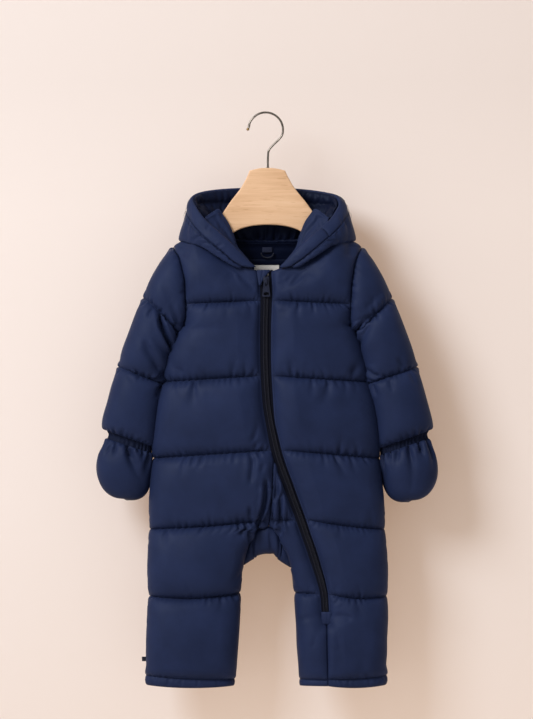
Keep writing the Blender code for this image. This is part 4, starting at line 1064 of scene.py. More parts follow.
def seam_puckers(base, seams, seed):
    """Creases above and below every quilting line."""
    step = np.linalg.norm(np.diff(base, axis=1), axis=2)
    u = np.concatenate([np.zeros((len(base), 1)), np.cumsum(step, axis=1)], axis=1)
    step = np.linalg.norm(np.diff(base, axis=0), axis=2)
    down = np.concatenate([np.zeros((1, base.shape[1])), np.cumsum(step, axis=0)], axis=0)
    made = np.zeros(base.shape[:2])
    strengths = SEAM_STRENGTH[-len(seams):]
    for k, (j, strong) in enumerate(zip(seams, strengths)):
        share = u[j] / max(u[j, -1], 1e-6)
        place = u * (u[j, -1] / np.maximum(u[:, -1:], 1e-6))
        for side in (-1, 1):
            d = side * (down - down[j])
            limit = np.abs(down[min(j + 30, len(down) - 1)] - down[j]).mean() + 20
            on = (d > 0) & (d < limit)
            field = troughs(place, np.maximum(d, 0), seed + 10 * k + side, u[j, -1], strong * (1.0 if side > 0 else 0.85))
            made += np.where(on, field, 0)
    return made


def edge_puckers(base, from_outer, from_inner, seed, outer_on, inner_on):
    """Creases beside the upright seams, the zip's and the side's."""
    z = -base[..., 2]
    span = z.max() - z.min()
    made = np.zeros(base.shape[:2])
    if outer_on:
        made += troughs(z - z.min(), from_outer, seed + 1, span, 0.8, (9.0, 24.0), (7.0, 20.0), 0.5)
    if inner_on:
        made += troughs(z - z.min(), np.maximum(from_inner - PLACKET, 0), seed + 2, span, 0.75, (7.0, 20.0), (6.0, 18.0), 0.6)
    return made


def clean_normals(base, side, outer_is_side, inner_full):
    normal = grid_normals(base)
    if normal[len(base) // 2, base.shape[1] // 2, 1] * side < 0:
        normal = -normal
    for j in range(len(base)):
        for i in (0, base.shape[1] - 1):
            x, y, z = base[j, i]
            if i == 0 and outer_is_side and ARMHOLE_FOOT - 0.5 <= z <= ARMHOLE_TOP + 0.5:
                normal[j, i] = armhole_normal(z, side)
            elif abs(y) < 1.0:
                flat = normal[j, i] * (1, 0, 1)
                normal[j, i] = flat / max(np.linalg.norm(flat), 1e-9)
            elif (i and (z > -577.5 or inner_full)) or (not i and not outer_is_side and z > -577.5):
                flat = normal[j, i] * (0, 1, 1)
                normal[j, i] = flat / max(np.linalg.norm(flat), 1e-9)
    return normal


STITCH_COLUMN = 3  # columns between the zip's edge and its topstitching


def place_topstitch(base, on, width):
    """Moves the columns of each row so that the third stands on the topstitching."""
    made = base.copy()
    count = base.shape[1]
    natural = np.arange(count, dtype=float)
    for j in range(len(base)):
        if on[j] <= 0:
            continue
        row = base[j, ::-1]
        far = np.concatenate([[0], np.cumsum(np.linalg.norm(np.diff(row, axis=0), axis=1))])
        total = far[-1]
        want = min(width, 0.35 * total)
        put = np.where(natural <= STITCH_COLUMN, want * natural / STITCH_COLUMN,
                       want + (total - want) * (natural - STITCH_COLUMN) / (count - 1 - STITCH_COLUMN))
        put = far + (put - far) * on[j]
        made[j] = np.stack([np.interp(put, far, row[:, k]) for k in range(3)], axis=1)[::-1]
    return made


def body_cloth(name, side, outer, inner, rows, columns, seed, folds=None, base=None,
               outer_is_side=True, inner_full=False, gather=None, steps=110, zip_side=None, flat_below=None):
    if base is None:
        base = body_base(side, outer, inner, rows, columns)
    if zip_side is not None:
        z_in = base[:, -1, 2]
        base = place_topstitch(base, ease((zip_side[0] + 6 - z_in) / 8.0) * ease((z_in - zip_side[1] + 6) / 8.0), zip_side[2])
    normal = clean_normals(base, side, outer_is_side, inner_full)
    from_outer, from_inner = edge_distance(base)
    seams = seam_rows(rows)
    near = seam_distance(base, rows, seams)
    bands = np.array([puff_share(b, c) for b, c in rows])[:, None]
    z = base[..., 2]
    beside_zip = np.zeros(base.shape[:2], bool)
    if zip_side is not None:
        beside_zip = (z < zip_side[0]) & (z > zip_side[1])
    lip_wide, lip_high = (zip_side[2], zip_side[3]) if zip_side is not None else (PLACKET, 0)
    lipped = np.where(beside_zip, np.maximum(from_inner - lip_wide, 0), from_inner)
    edge = np.minimum(np.minimum(from_outer / 24.0, 1.0) ** 0.55, np.minimum(np.where(beside_zip, lipped / 30.0, lipped / 24.0), 1.0) ** np.where(beside_zip, 0.7, 0.55))
    lift = PUFF_SEEN * bands * edge * clear_of_neck(base[..., 0], base[..., 2], side)
    lift_lining = lift.copy()
    count = base.shape[1]
    soft = noise_grid(len(rows), count, 14, 10, seed + 1)
    lift = lift * (1 + 0.15 * soft)
    crease = seam_puckers(base, seams, 100 * seed) + edge_puckers(
        base, from_outer, from_inner, 100 * seed + 77, outer_is_side, inner_full or zip_side is not None)
    calm = clear_of_neck(base[..., 0], base[..., 2], side) * np.minimum(edge * 1.3, 1.0)
    crease *= calm
    crotch = np.exp(-(((base[..., 0] - 3) / 30.0) ** 2) - (((z + 525) / 62.0) ** 2))
    if folds is not None:
        crease = crease + folds(base, side) * np.minimum(edge * (1 + 1.4 * crotch), 1.0)
    lift = lift * (1 - 0.85 * ease((z + 212) / 14.0) * ease((np.abs(base[..., 0]) - 98) / 18.0))
    lift = lift + np.maximum(crease, -0.9 * lift - (2.2 + 3.4 * crotch) * np.minimum(edge * (1 + 1.4 * crotch), 1.0) - 0.4)
    lip = np.clip(from_inner / lip_wide, 0, 1)
    low_lip = np.where(beside_zip, (lip_high + 0.8) * lip - 0.8, 0)
    lift = np.where(beside_zip & (from_inner < lip_wide), low_lip + 0.35 * (4 * lip * (1 - lip)) ** 0.5, np.maximum(lift, low_lip))
    if flat_below is not None:
        # the seam under the zip lies nearly level with the cloth beside it
        level = ease((flat_below - z) / 9.0) * np.exp(-((from_inner / 17.0) ** 2))
        wanted = PUFF_SEEN * bands * (0.82 + 0.08 * np.minimum(from_inner / 4.0, 1.0)) * np.minimum(from_outer / 24.0, 1.0) ** 0.55
        lift = lift + (wanted - lift) * level
    target = base + normal * lift[..., None]
    pinned = np.zeros(base.shape[:2], bool)
    pinned[:, 0] = pinned[:, -1] = pinned[0] = pinned[-1] = True
    for j in seams:
        pinned[j] = True
    topstitch = []
    for j in range(len(base)):
        if beside_zip[j, -1]:
            i = count - 1 - STITCH_COLUMN
            pinned[j, i] = True
            target[j, i] = base[j, i] + normal[j, i] * lip_high
            topstitch.append((j, i))
    # the quilting gathers the cloth unevenly along its length
    uneven = 1 + 0.75 * noise_grid(len(rows), count, 9, 4.5, seed + 2)
    more = 0.008 + 0.065 * np.exp(-near / 11.0) * np.clip(uneven, 0.15, 2.2)
    if gather is not None:
        more = more + gather(base, side)
    down = np.full(base.shape[:2], 0.006) + 0.02 * np.exp(-np.minimum(from_outer, from_inner) / 10.0)
    skin = settle(target, base, pinned, more, down, steps, seed, low=(-2.6 - 3.0 * crotch).ravel())
    if folds is not None:
        # the sharpest part of a crease is drawn in after the cloth has settled
        sharp = np.clip(folds(base, side), -6.0, 2.0) * np.minimum(edge * (1 + 1.4 * crotch), 1.0) * (0.10 + 0.24 * crotch)
        skin = skin + normal * np.where(pinned, 0, sharp)[..., None]
    lining = base - normal * (SEAM_WALL + 0.35 * lift_lining)[..., None]
    for grid in (skin, lining):
        grid[..., 1] = side * np.maximum(side * grid[..., 1], GAP / 2)
    for i in (0, -1):
        # where front and back are sewn together their edges close the seam
        sewn = np.abs(base[:, i, 1]) < 1.0
        skin[sewn, i, 1] = -0.22 * side
    for j in seams:
        SEAM_PATHS.append((skin[j].copy(), normal[j].copy()))
    if topstitch:
        SEAM_PATHS.append((np.array([skin[j, i] for j, i in topstitch]), np.array([normal[j, i] for j, i in topstitch])))
    return skin, lining, base, normal


ROWS = dense_rows()
BODY_COLUMNS = 78


def zip_cover(z):
    """How far the left panel reaches over the tape, further where the zip slants."""
    return 1.3 + 2.3 * ease((-395 - z) / 45.0)


# ------------------------------------------------------------- body pieces


def stroke(x, z, path, depth, width, ridge=0.35, fade=0.3):
    """A soft trough along a path of x, z points, with a low ridge on both sides; it
    fades out towards its ends."""
    path = np.asarray(path, float)
    best = np.full(np.shape(x), 1e9)
    where = np.zeros(np.shape(x))
    step = np.diff(path, axis=0)
    length = np.hypot(step[:, 0], step[:, 1])
    total = length.sum()
    done = 0.0
    for k in range(len(step)):
        t = ((x - path[k, 0]) * step[k, 0] + (z - path[k, 1]) * step[k, 1]) / length[k] ** 2
        t = np.clip(t, 0, 1)
        gap = np.hypot(x - path[k, 0] - t * step[k, 0], z - path[k, 1] - t * step[k, 1])
        closer = gap < best
        best = np.where(closer, gap, best)
        where = np.where(closer, (done + t * length[k]) / total, where)
        done += length[k]
    ends = ease(np.minimum(where, 1 - where) / fade + 0.12)
    return depth * ends * (-np.exp(-((best / width) ** 2)) + ridge * np.exp(-(((best - 2.1 * width) / (0.9 * width)) ** 2)))


def strokes(x, z, table):
    total = np.zeros(np.shape(x))
    for row in table:
        total += stroke(x, z, row[0], *row[1:])
    return total


CROTCH_FOLDS = (
    # path of x, z points, depth, width, ridge
    (((12.8, -476), (13.4, -500), (13, -525), (14, -545)), 10.5, 2.3, 0.6),
    (((-3.5, -507), (-3.5, -530), (-6, -548), (-12, -566), (-20, -585)), 7.5, 2.4, 0.5),
    (((18.8, -520), (18.4, -548), (19.5, -566), (24, -592)), 8.5, 2.1, 0.5),
    (((8.5, -549), (9.5, -562), (8, -574)), 4.5, 2.0, 0.4),
    (((-34, -566), (-30, -578), (-28, -592), (-27, -606)), 5.6, 2.0, 0.4),
    (((-42, -562), (-41, -574), (-36, -590)), 3.8, 2.2, 0.4),
    (((-20, -480), (-21, -498), (-24, -518)), 2.5, 3.0, 0.5),
    (((-25, -548), (-23, -562)), 2.8, 2.5, 0.4),
    (((26, -600), (32, -624), (40, -650), (50, -668)), 3.8, 2.9, 0.4),
    (((-36, -612), (-42, -636), (-52, -655)), 3.2, 3.4, 0.4),
)
NECK_FOLDS = (
    (((-33, -217), (-28, -228), (-14, -238)), 4.5, 2.4, 0.4),
    (((-40, -214), (-33, -230), (-20, -245), (-13, -252)), 3.9, 3.0, 0.4),
    (((34, -219), (24, -228), (12, -234)), 4.5, 2.2, 0.5),
    (((40, -221), (28, -234), (12, -241)), 3.9, 2.4, 0.5),
    (((50, -222), (36, -236), (16, -247)), 2.4, 3.0, 0.4),
)
ZIP_END_FOLDS = (
    (((74, -690), (64, -676), (52, -668)), 2.6, 2.6, 0.4),
    (((74, -706), (62, -704), (50, -710)), 2.6, 2.6, 0.4),
    (((92, -690), (102, -678), (116, -672)), 2.4, 2.8, 0.4),
    (((92, -702), (106, -702), (120, -708)), 2.2, 2.8, 0.4),
    (((90, -716), (98, -732), (104, -748)), 2.0, 2.6, 0.4),
    (((78, -716), (71, -730), (66, -750)), 2.0, 2.6, 0.4),
)
BELLY_FOLDS = (
    (((-14, -432), (-17, -446), (-22, -460)), 2.4, 2.8, 0.4),
    (((-12, -455), (-20, -468)), 1.8, 2.6, 0.4),
    (((-6, -488), (-10, -502)), 1.6, 2.6, 0.4),
    (((-110, -365), (-126, -352), (-134, -340)), 2.2, 4.0, 0.4),
    (((112, -366), (122, -352), (126, -338)), 2.0, 4.0, 0.4),
)
BACK_FOLDS = (
    (((6, -500), (4, -530), (2, -562)), 4.0, 3.0, 0.5),
    (((-12, -520), (-14, -548), (-24, -580)), 4.0, 3.0, 0.5),
    (((18, -518), (20, -548), (28, -584)), 4.2, 3.2, 0.5),
    (((-34, -556), (-32, -580), (-30, -602)), 3.6, 2.8, 0.4),
    (((36, -552), (35, -578), (31, -600)), 3.2, 2.8, 0.4),
    (((-60, -480), (-66, -500), (-76, -520)), 1.8, 4.0, 0.4),
    (((70, -478), (78, -500), (84, -522)), 1.8, 4.0, 0.4),
    (((-100, -360), (-116, -345), (-124, -330)), 2.2, 4.0, 0.4),
    (((98, -362), (112, -347), (120, -332)), 2.2, 4.0, 0.4),
)


def front_folds(base, side):
    x, z = base[..., 0], base[..., 2]
    return strokes(x, z, CROTCH_FOLDS + NECK_FOLDS + ZIP_END_FOLDS + BELLY_FOLDS)


def back_folds(base, side):
    return strokes(base[..., 0], base[..., 2], BACK_FOLDS)


def crotch_gather(base, side):
    """The seams round the crotch pull the cloth together."""
    x, z = base[..., 0], base[..., 2]
    near = np.exp(-(((x - 2) / 34.0) ** 2) - (((z + 552) / 46.0) ** 2))
    return 0.07 * near


def body_piece(name, side, outer, inner, rows, columns, seed, **options):
    skin, lining, base, normal = body_cloth(name, side, outer, inner, rows, columns, seed, **options)
    if side > 0:
        # the two back panels are sewn edge to edge
        for grid in (skin, lining):
            grid[:, -1, 0] += 0.45 * np.sign(base[:, -1, 0] - base[:, 0, 0])
    step = np.linalg.norm(np.diff(base, axis=1), axis=2)
    u = np.concatenate([np.zeros((len(base), 1)), np.cumsum(step, axis=1)], axis=1)
    uv = np.stack([u, -base[..., 2]], axis=2).reshape(-1, 2) * 0.001
    uv = np.concatenate([uv, uv])
    obj = wall_mesh(name + "_cloth", skin, lining, NAVY_SHELL, uv=uv)
    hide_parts(name)
    return skin, lining, base, normal


def inner_left_seen(z):
    z = np.asarray(z, float)
    return inner_front_left(z) - zip_cover(z) * ease((-216 - z) / 8.0) * ease((z + 712) / 6.0)


FRONT_RIGHT = body_piece("front_right", -1, side_right, leg_right(inner_front_right), ROWS, BODY_COLUMNS, 11,
                         folds=front_folds, gather=crotch_gather, zip_side=(-219, -474, 1.9, 0.6))
FRONT_LEFT = body_piece("front_left_outer", -1, side_left, inner_left_seen, ROWS, 68, 12,
                        inner_full=True, folds=front_folds, zip_side=(-219, -712, 3.0, 1.5), flat_below=-714)
BACK_RIGHT = body_piece("back_right", 1, side_right, leg_right(inner_back_right), ROWS, BODY_COLUMNS, 13,
                        folds=back_folds, gather=crotch_gather)
BACK_LEFT = body_piece("back_left", 1, side_left, leg_left(inner_back_left), ROWS, BODY_COLUMNS, 14,
                       folds=back_folds, gather=crotch_gather)


def wedge_base(rows, columns):
    share = (1 - np.cos(np.linspace(0, np.pi, 121))) / 2
    lines = row_lines(rows)
    here = lines[:, 2:]
    inside = np.array([0 < band < 7 for band, cut in rows])[:, None]
    z = here - 1.5 * inside * share[None, :]
    xo, xi = wedge_outer(z) + leg_apart(z), wedge_inner(z)
    x = xo + (xi - xo) * share
    cut = wedge_outer(z) + (xi - wedge_outer(z)) * share
    return resample_rows(np.stack([x, -depth_at(cut, z, -1), z], axis=2), columns + 1)


WEDGE_ROWS = [(4, 0.165)] + [r for r in ROWS if r[0] > 4 or (r[0] == 4 and r[1] > 0.18)]
WEDGE = body_piece("front_left_inner", -1, wedge_outer, wedge_inner, WEDGE_ROWS, 40, 15,
                   base=wedge_base(WEDGE_ROWS, 40), outer_is_side=False, inner_full=True,
                   folds=front_folds, gather=crotch_gather, zip_side=(-500, -712, 1.9, 0.6), flat_below=-714)


GUSSET_FOOT = smooth_curve((-36, -24, -8, 2.5, 9, 19, 34), (-633.5, -624, -616.6, -615.6, -616.6, -624, -635))


def gusset_piece():
    """The crotch piece, from the arch at the front through its fold to the arch at the back."""
    heights = -577.5 - 47.1 * np.linspace(1, 0, 25) ** 1.7
    columns = [(float(arch_right(z)), z) for z in heights[:-1]] + [(2.5, -577.5)]
    columns += [(float(arch_left(z)), z) for z in heights[:-1][::-1]]
    around = np.radians(np.linspace(-90, 90, 31))
    base = np.zeros((len(columns), len(around), 3))
    for j, (x, z) in enumerate(columns):
        yf, yb = float(depth_at(x, z, -1)), float(depth_at(x, z, 1))
        apart = float(leg_apart(z)) if x > 2.5 else float(right_apart(z))
        x = x + (apart + 0.6 * float(ease((-600 - z) / 14.0))) * (1 if x > 2.5 else -1)
        clear = np.array((2.5 - x, -626.0 - z))
        clear *= 0.7 / np.linalg.norm(clear)
        top = z + clear[1]
        low = min(float(GUSSET_FOOT(x)) + 0.1, top - 1.2)
        s, c = np.sin(around), np.cos(around)
        reach = np.where(around < 0, max(yf, 1.0), max(yb, 1.0))
        base[j, :, 0] = x + clear[0]
        base[j, :, 1] = reach * s
        base[j, :, 2] = low + (top - low) * np.clip(1 - c, 0, 1) ** 0.9
    normal = grid_normals(base)
    if normal[len(columns) // 2, 15, 2] > 0:
        normal = -normal
    normal[:, 0] = (0, -1, 0)
    normal[:, -1] = (0, 1, 0)
    rows, cols = base.shape[:2]
    u = np.linspace(0, 1, rows)[:, None]
    v = np.linspace(0, 1, cols)[None, :]
    lift = 1.8 * (4 * u * (1 - u)) ** 0.7 * (4 * v * (1 - v)) ** 0.5
    folds = np.zeros((rows, cols))
    for at, deep, wide in ((0.30, 2.4, 0.030), (0.44, 1.2, 0.03), (0.55, 2.6, 0.030), (0.66, 2.2, 0.028), (0.77, 1.4, 0.03)):
        folds -= deep * np.exp(-(((u - at - 0.03 * np.sin(5 * v + 9 * at)) / wide) ** 2)) * (0.4 + 0.6 * np.cos(2 * np.pi * (v - 0.1)) ** 2) * (1 - 0.85 * np.exp(-(((v - 0.5) / 0.13) ** 2)))
    target = base + normal * (lift + folds * (4 * u * (1 - u)) ** 0.5 * (4 * v * (1 - v)) ** 0.4)[..., None]
    pinned = np.zeros((rows, cols), bool)
    pinned[0] = pinned[-1] = True
    pinned[:, 0] = pinned[:, -1] = True
    skin = settle(target, base, pinned, np.full((rows, cols), 0.03), np.full((rows, cols), 0.07), 90, 21, low=-3.5, over=2.0)
    skin = skin + normal * (0.45 * folds * (4 * u * (1 - u)) ** 0.5 * (4 * v * (1 - v)) ** 0.4)[..., None]
    lining = base - normal * SEAM_WALL
    uv = np.stack([base[..., 0], base[..., 1]], axis=2).reshape(-1, 2) * 0.001
    obj = wall_mesh("crotch_gusset_cloth", skin, lining, NAVY_SHELL, uv=np.concatenate([uv, uv]))
    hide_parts("crotch_gusset")
    return skin, base


GUSSET = gusset_piece()


# -------------------------------------------------------- sleeves and cuffs
ARM_MID = (ARMHOLE_TOP + ARMHOLE_FOOT) / 2
ARM_HALF = (ARMHOLE_TOP - ARMHOLE_FOOT) / 2
SLEEVE_TURNS = np.linspace(0, 2 * np.pi, 112, endpoint=False)


def tube_ring(row, turns):
    """One section of a tube: its two edges in the side-seam plane and its half depth."""
    outer_x, outer_z, inner_x, inner_z, depth = row[:5]
    c, s = np.cos(turns), np.sin(turns)
    x = (outer_x + inner_x) / 2 + (outer_x - inner_x) / 2 * c
    z = (outer_z + inner_z) / 2 + (outer_z - inner_z) / 2 * c
    y = -depth * np.sign(s) * np.abs(s) ** SLEEVE_ROUND + 2.0 * (1 - np.abs(c))
    return np.stack([x, y, z], axis=1)


def armhole_line(edge, away, turns):
    z = ARM_MID + ARM_HALF * np.cos(turns)
    return np.stack([edge(z) + away, -np.sign(np.sin(turns)) * y_edge(z), z], axis=1)


def tube_lift(places, seams, at, full):
    """Height of the filling along a tube: 0 at its seams."""
    made = np.zeros(len(at))
    for a, b in zip(seams, seams[1:]):
        s = (at - a) / (b - a)
        inside = (s >= 0) & (s <= 1)
        made = np.where(inside, full * (4 * np.clip(s, 0, 1) ** 0.95 * (1 - np.clip(s, 0, 1) ** 0.95)) ** 0.6, made)
    return made


def along(lines):
    """Mean distance of each line of a loft from the first."""
    step = [0.0]
    for a, b in zip(lines, lines[1:]):
        step.append(step[-1] + np.linalg.norm(b - a, axis=1).mean())
    return np.array(step)


def snap(at, marks):
    """Moves the nearest of evenly spaced places onto each mark."""
    at = at.copy()
    rows = []
    for mark in marks:
        j = int(np.abs(at - mark).argmin())
        at[j] = mark
        rows.append(j)
    return at, rows


def tube_normals(grid):
    normal = grid_normals(grid, wrap=True)
    centre = grid.mean(axis=1, keepdims=True)
    if ((grid - centre) * normal).sum() < 0:
        normal = -normal
    return normal


SLEEVE_FOLDS_RIGHT = (
    (((-149, -276), (-150.5, -284), (-148, -300), (-141, -322), (-136, -338)), 10.6, 2.3, 0.5),
    (((-140, -279), (-136.5, -290), (-132, -306), (-130, -318)), 8.8, 2.0, 0.5),
    (((-131, -291), (-128, -303), (-127, -312)), 6.2, 1.9, 0.4),
    (((-158, -270), (-162, -280), (-163, -290)), 3.2, 2.3, 0.5),
    (((-172, -312), (-166, -328), (-157, -350), (-150, -366)), 5.2, 3.1, 0.5),
    (((-148, -352), (-150, -364), (-158, -370), (-170, -372)), 4.4, 2.0, 0.4),
    (((-139, -342), (-142, -356), (-146, -368)), 5.6, 2.3, 0.4),
    (((-186, -352), (-176, -364), (-166, -368)), 3.2, 2.2, 0.4),
    (((-150, -378), (-156, -388), (-160, -398)), 5.0, 2.3, 0.4),
    (((-146, -232), (-138, -250), (-130, -268)), 3.0, 3.9, 0.4),
    (((-134, -262), (-131, -276), (-125, -290)), 3.8, 2.5, 0.4),
    (((-196, -362), (-190, -372), (-182, -378)), 2.5, 2.0, 0.4),
)
SLEEVE_FOLDS_LEFT = (
    (((148, -282), (137, -286), (126, -288)), 4.2, 2.3, 0.5),
    (((141, -288), (133, -292), (128, -302), (128, -312)), 6.9, 2.0, 0.6),
    (((150, -292), (141, -306), (135, -322), (134, -336)), 4.2, 3.3, 0.5),
    (((160, -246), (148, -262), (136, -276)), 3.5, 3.9, 0.4),
    (((142, -352), (150, -362), (160, -366)), 4.5, 2.3, 0.4),
    (((178, -340), (188, -352), (196, -358)), 3.0, 2.5, 0.4),
    (((150, -376), (156, -388), (160, -398)), 3.8, 2.5, 0.4),
    (((166, -368), (174, -380), (178, -392)), 2.5, 2.2, 0.4),
    (((196, -360), (200, -372), (206, -384)), 2.8, 2.3, 0.4),
)
SLEEVE_PUFF = 8.0


def sleeve_piece(name, edge, away, table, folds, seed, bow):
    turns = SLEEVE_TURNS
    lines = [armhole_line(edge, away, turns)] + [tube_ring(row, turns) for row in table]
    places = along(lines)
    marks = [places[0], places[2], places[6], places[-1]]
    at = [0.0]
    for a, b in zip(marks, marks[1:]):
        s = np.linspace(0, 1, int(round((b - a) / 2.0)) + 1)[1:]
        at += list(a + (b - a) * (s - 0.5 * np.sin(2 * np.pi * s) / (2 * np.pi)))
    at = np.array(at)
    at, stitched = snap(at, marks)
    surface = loft(lines, places, at)
    lift = tube_lift(places, marks, at, SLEEVE_PUFF)[:, None] * np.ones((1, len(turns)))
    # the seam at the top of the arm bows up on the front
    fall = np.exp(-(((at - marks[1]) / 22.0) ** 2))[:, None]
    front = np.clip(np.sin(turns), 0, 1)[None, :] ** 1.2
    surface[..., 2] += bow * fall * front
    normal = tube_normals(surface)
    facing = np.abs(normal[..., 1])
    lift = lift * (1 + 0.10 * noise_grid(len(at), len(turns), 10, 9, seed + 1, wrap=True))
    outer_side = ease(np.cos(turns) + 0.35)[None, :]
    slim = tube_lift(places, marks, at, 6.4)[:, None] - 5.2 * outer_side * (np.exp(-((at / 15.0) ** 2)) * ease(at / 3.0))[:, None]
    slim = slim - (2.6 - 0.6 * outer_side) * sum(np.exp(-(((at - m) / 9.0) ** 2)) for m in marks[1:3])[:, None]
    slim = slim + 2.4 * outer_side * sum(np.exp(-(((at - m) / 19.0) ** 2)) - 0.45 * np.exp(-(((at - m) / 5.0) ** 2)) for m in marks[1:3])[:, None]
    slim = slim - (1 - outer_side) * (3.0 * ease(at / 12.0) * ease((marks[-1] - at) / 20.0))[:, None]
    base = surface - normal * ((lift + slim) * (1 - facing))[..., None]
    # the cap of the sleeve stands up beside the armhole's seam
    near_front = (surface[..., 1] < 6) * np.clip((6 - surface[..., 1]) / 14, 0, 1)
    crease = strokes(surface[..., 0], surface[..., 2], folds)
    back = np.clip(surface[..., 1] / 14, 0, 1)
    mirrored = strokes(surface[..., 0], surface[..., 2], folds[:3]) * 0.7
    quiet = np.ones(len(at))
    for mark in marks:
        quiet *= 1 - np.exp(-(((at - mark) / 4.0) ** 2))
    shift = (crease * near_front + mirrored * back) * quiet[:, None]
    # creases off every seam round the arm
    round_it = np.linalg.norm(np.diff(surface, axis=1), axis=2).sum(axis=1).mean()
    u = turns[None, :] / (2 * np.pi) * round_it * np.ones((len(at), 1))
    for k, mark in enumerate(marks):
        for way in (-1, 1):
            d = way * (at[:, None] - mark) * np.ones((1, len(turns)))
            strong = (0.5, 1.6, 1.6, 1.3)[k]
            field = troughs(u, np.maximum(d, 0), 100 * seed + 10 * k + way, round_it, strong, (7.0, 17.0), (6.0, 24.0), 0.35, wrap=round_it)
            shift = shift + np.where((d > 0) & (d < 60), field, 0)
    shift = np.maximum(shift, -0.95 * lift - 7.0 * near_front - 1.0)
    target = base + normal * (lift + shift)[..., None]
    pinned = np.zeros(surface.shape[:2], bool)
    for j in stitched:
        pinned[j] = True
    near = np.min([np.abs(at - m) for m in marks], axis=0)[:, None]
    uneven = 1 + 0.8 * noise_grid(len(at), len(turns), 8, 4.0, seed + 2, wrap=True)
    wrist = np.exp(-(marks[-1] - at) / 12.0)[:, None]
    more = 0.012 + 0.08 * np.exp(-near / 12.0) * np.clip(uneven, 0.15, 2.4) + 0.16 * wrist
    inner_side = np.clip(-np.cos(turns), 0, 1)[None, :]
    down = 0.008 + 0.05 * inner_side * np.ones((len(at), 1))
    skin = settle(target, base, pinned, more, down, 110, seed, wrap=True, low=-6.0)
    skin[0] = base[0]
    thick = SEAM_WALL + 0.35 * lift
    lining = base - normal * thick[..., None]
    lining[0] = armhole_lining(edge, away, turns)
    uv_u = turns[None, :] * 0.032 * np.ones((len(at), 1))
    uv = np.stack([uv_u, at[:, None] * 0.001 * np.ones((1, len(turns)))], axis=2).reshape(-1, 2)
    obj = wall_mesh(name + "_cloth", skin, lining, NAVY_SHELL, wrap=True, uv=np.concatenate([uv, uv]))
    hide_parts(name)
    for j in stitched[1:3]:
        SEAM_PATHS.append((np.vstack([skin[j], skin[j][:1]]), np.vstack([normal[j], normal[j][:1]])))
    return skin, normal


def armhole_lining(edge, away, turns):
    """The inner edge of the wall at the armhole, in the plane of its loop."""
    line = armhole_line(edge, away, turns)
    made = line.copy()
    for k in range(len(turns)):
        side = -1 if np.sin(turns[k]) > 0 else 1
        made[k] -= armhole_normal(line[k, 2], side) * SEAM_WALL
    return made


SLEEVE_R = sleeve_piece("sleeve_right", x_right, -0.45, SLEEVE_RIGHT, SLEEVE_FOLDS_RIGHT, 31, 5.5)
SLEEVE_L = sleeve_piece("sleeve_left", x_left, 0.45, SLEEVE_LEFT, SLEEVE_FOLDS_LEFT, 32, 1.0)


def cuff_piece(name, table, seed):
    """The elastic: cloth gathered tightly over it, in small uneven ribs."""
    turns = np.linspace(0, 2 * np.pi, 180, endpoint=False)
    table = [list(row) for row in table]
    # tucked a little way under the sleeve and the mitten
    table[0][1] += 3.4
    table[0][3] += 3.4
    table[-1][1] -= 2.8
    table[-1][3] -= 2.8
    for row in table:
        # the inner side lies close to the suit
        row[2] -= 1.2 * np.sign(row[0])
    lines = [tube_ring(row, turns) for row in table]
    places = along(lines)
    at = np.linspace(0, places[-1], 12)
    surface = loft(lines, places, at)
    normal = tube_normals(surface)
    v = (at / at[-1])[:, None]
    wander = 0.35 * noise_grid(len(at), len(turns), 5, 5, seed, wrap=True)
    count = 33
    ribs = np.cos(count * turns[None, :] + 3.4 * noise_line(len(turns), 6, seed + 1, wrap=True)[None, :] * 2 + 2.4 * wander)
    size = np.clip(0.8 + 0.7 * noise_line(len(turns), 9, seed + 2, wrap=True)[None, :], 0.1, 1.6)
    roll = 0.5 * (4 * v * (1 - v)) ** 0.5
    skin = surface + normal * (roll + 1.0 * ribs * size - 0.4)[..., None]
    lining = surface - normal * (1.6 + 0.3 * ribs)[..., None]
    uv = np.stack([turns[None, :] * 0.03 + 0 * v, at[:, None] * 0.001 + 0 * turns[None, :]], axis=2).reshape(-1, 2)
    obj = wall_mesh(name + "_cloth", skin, lining, NAVY_ELASTIC, wrap=True, uv=np.concatenate([uv, uv]))
    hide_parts(name)
    return obj


MITTEN_WALLS = (3.0, 4.5, 4.5, 4.0, 3.5, 3.0)


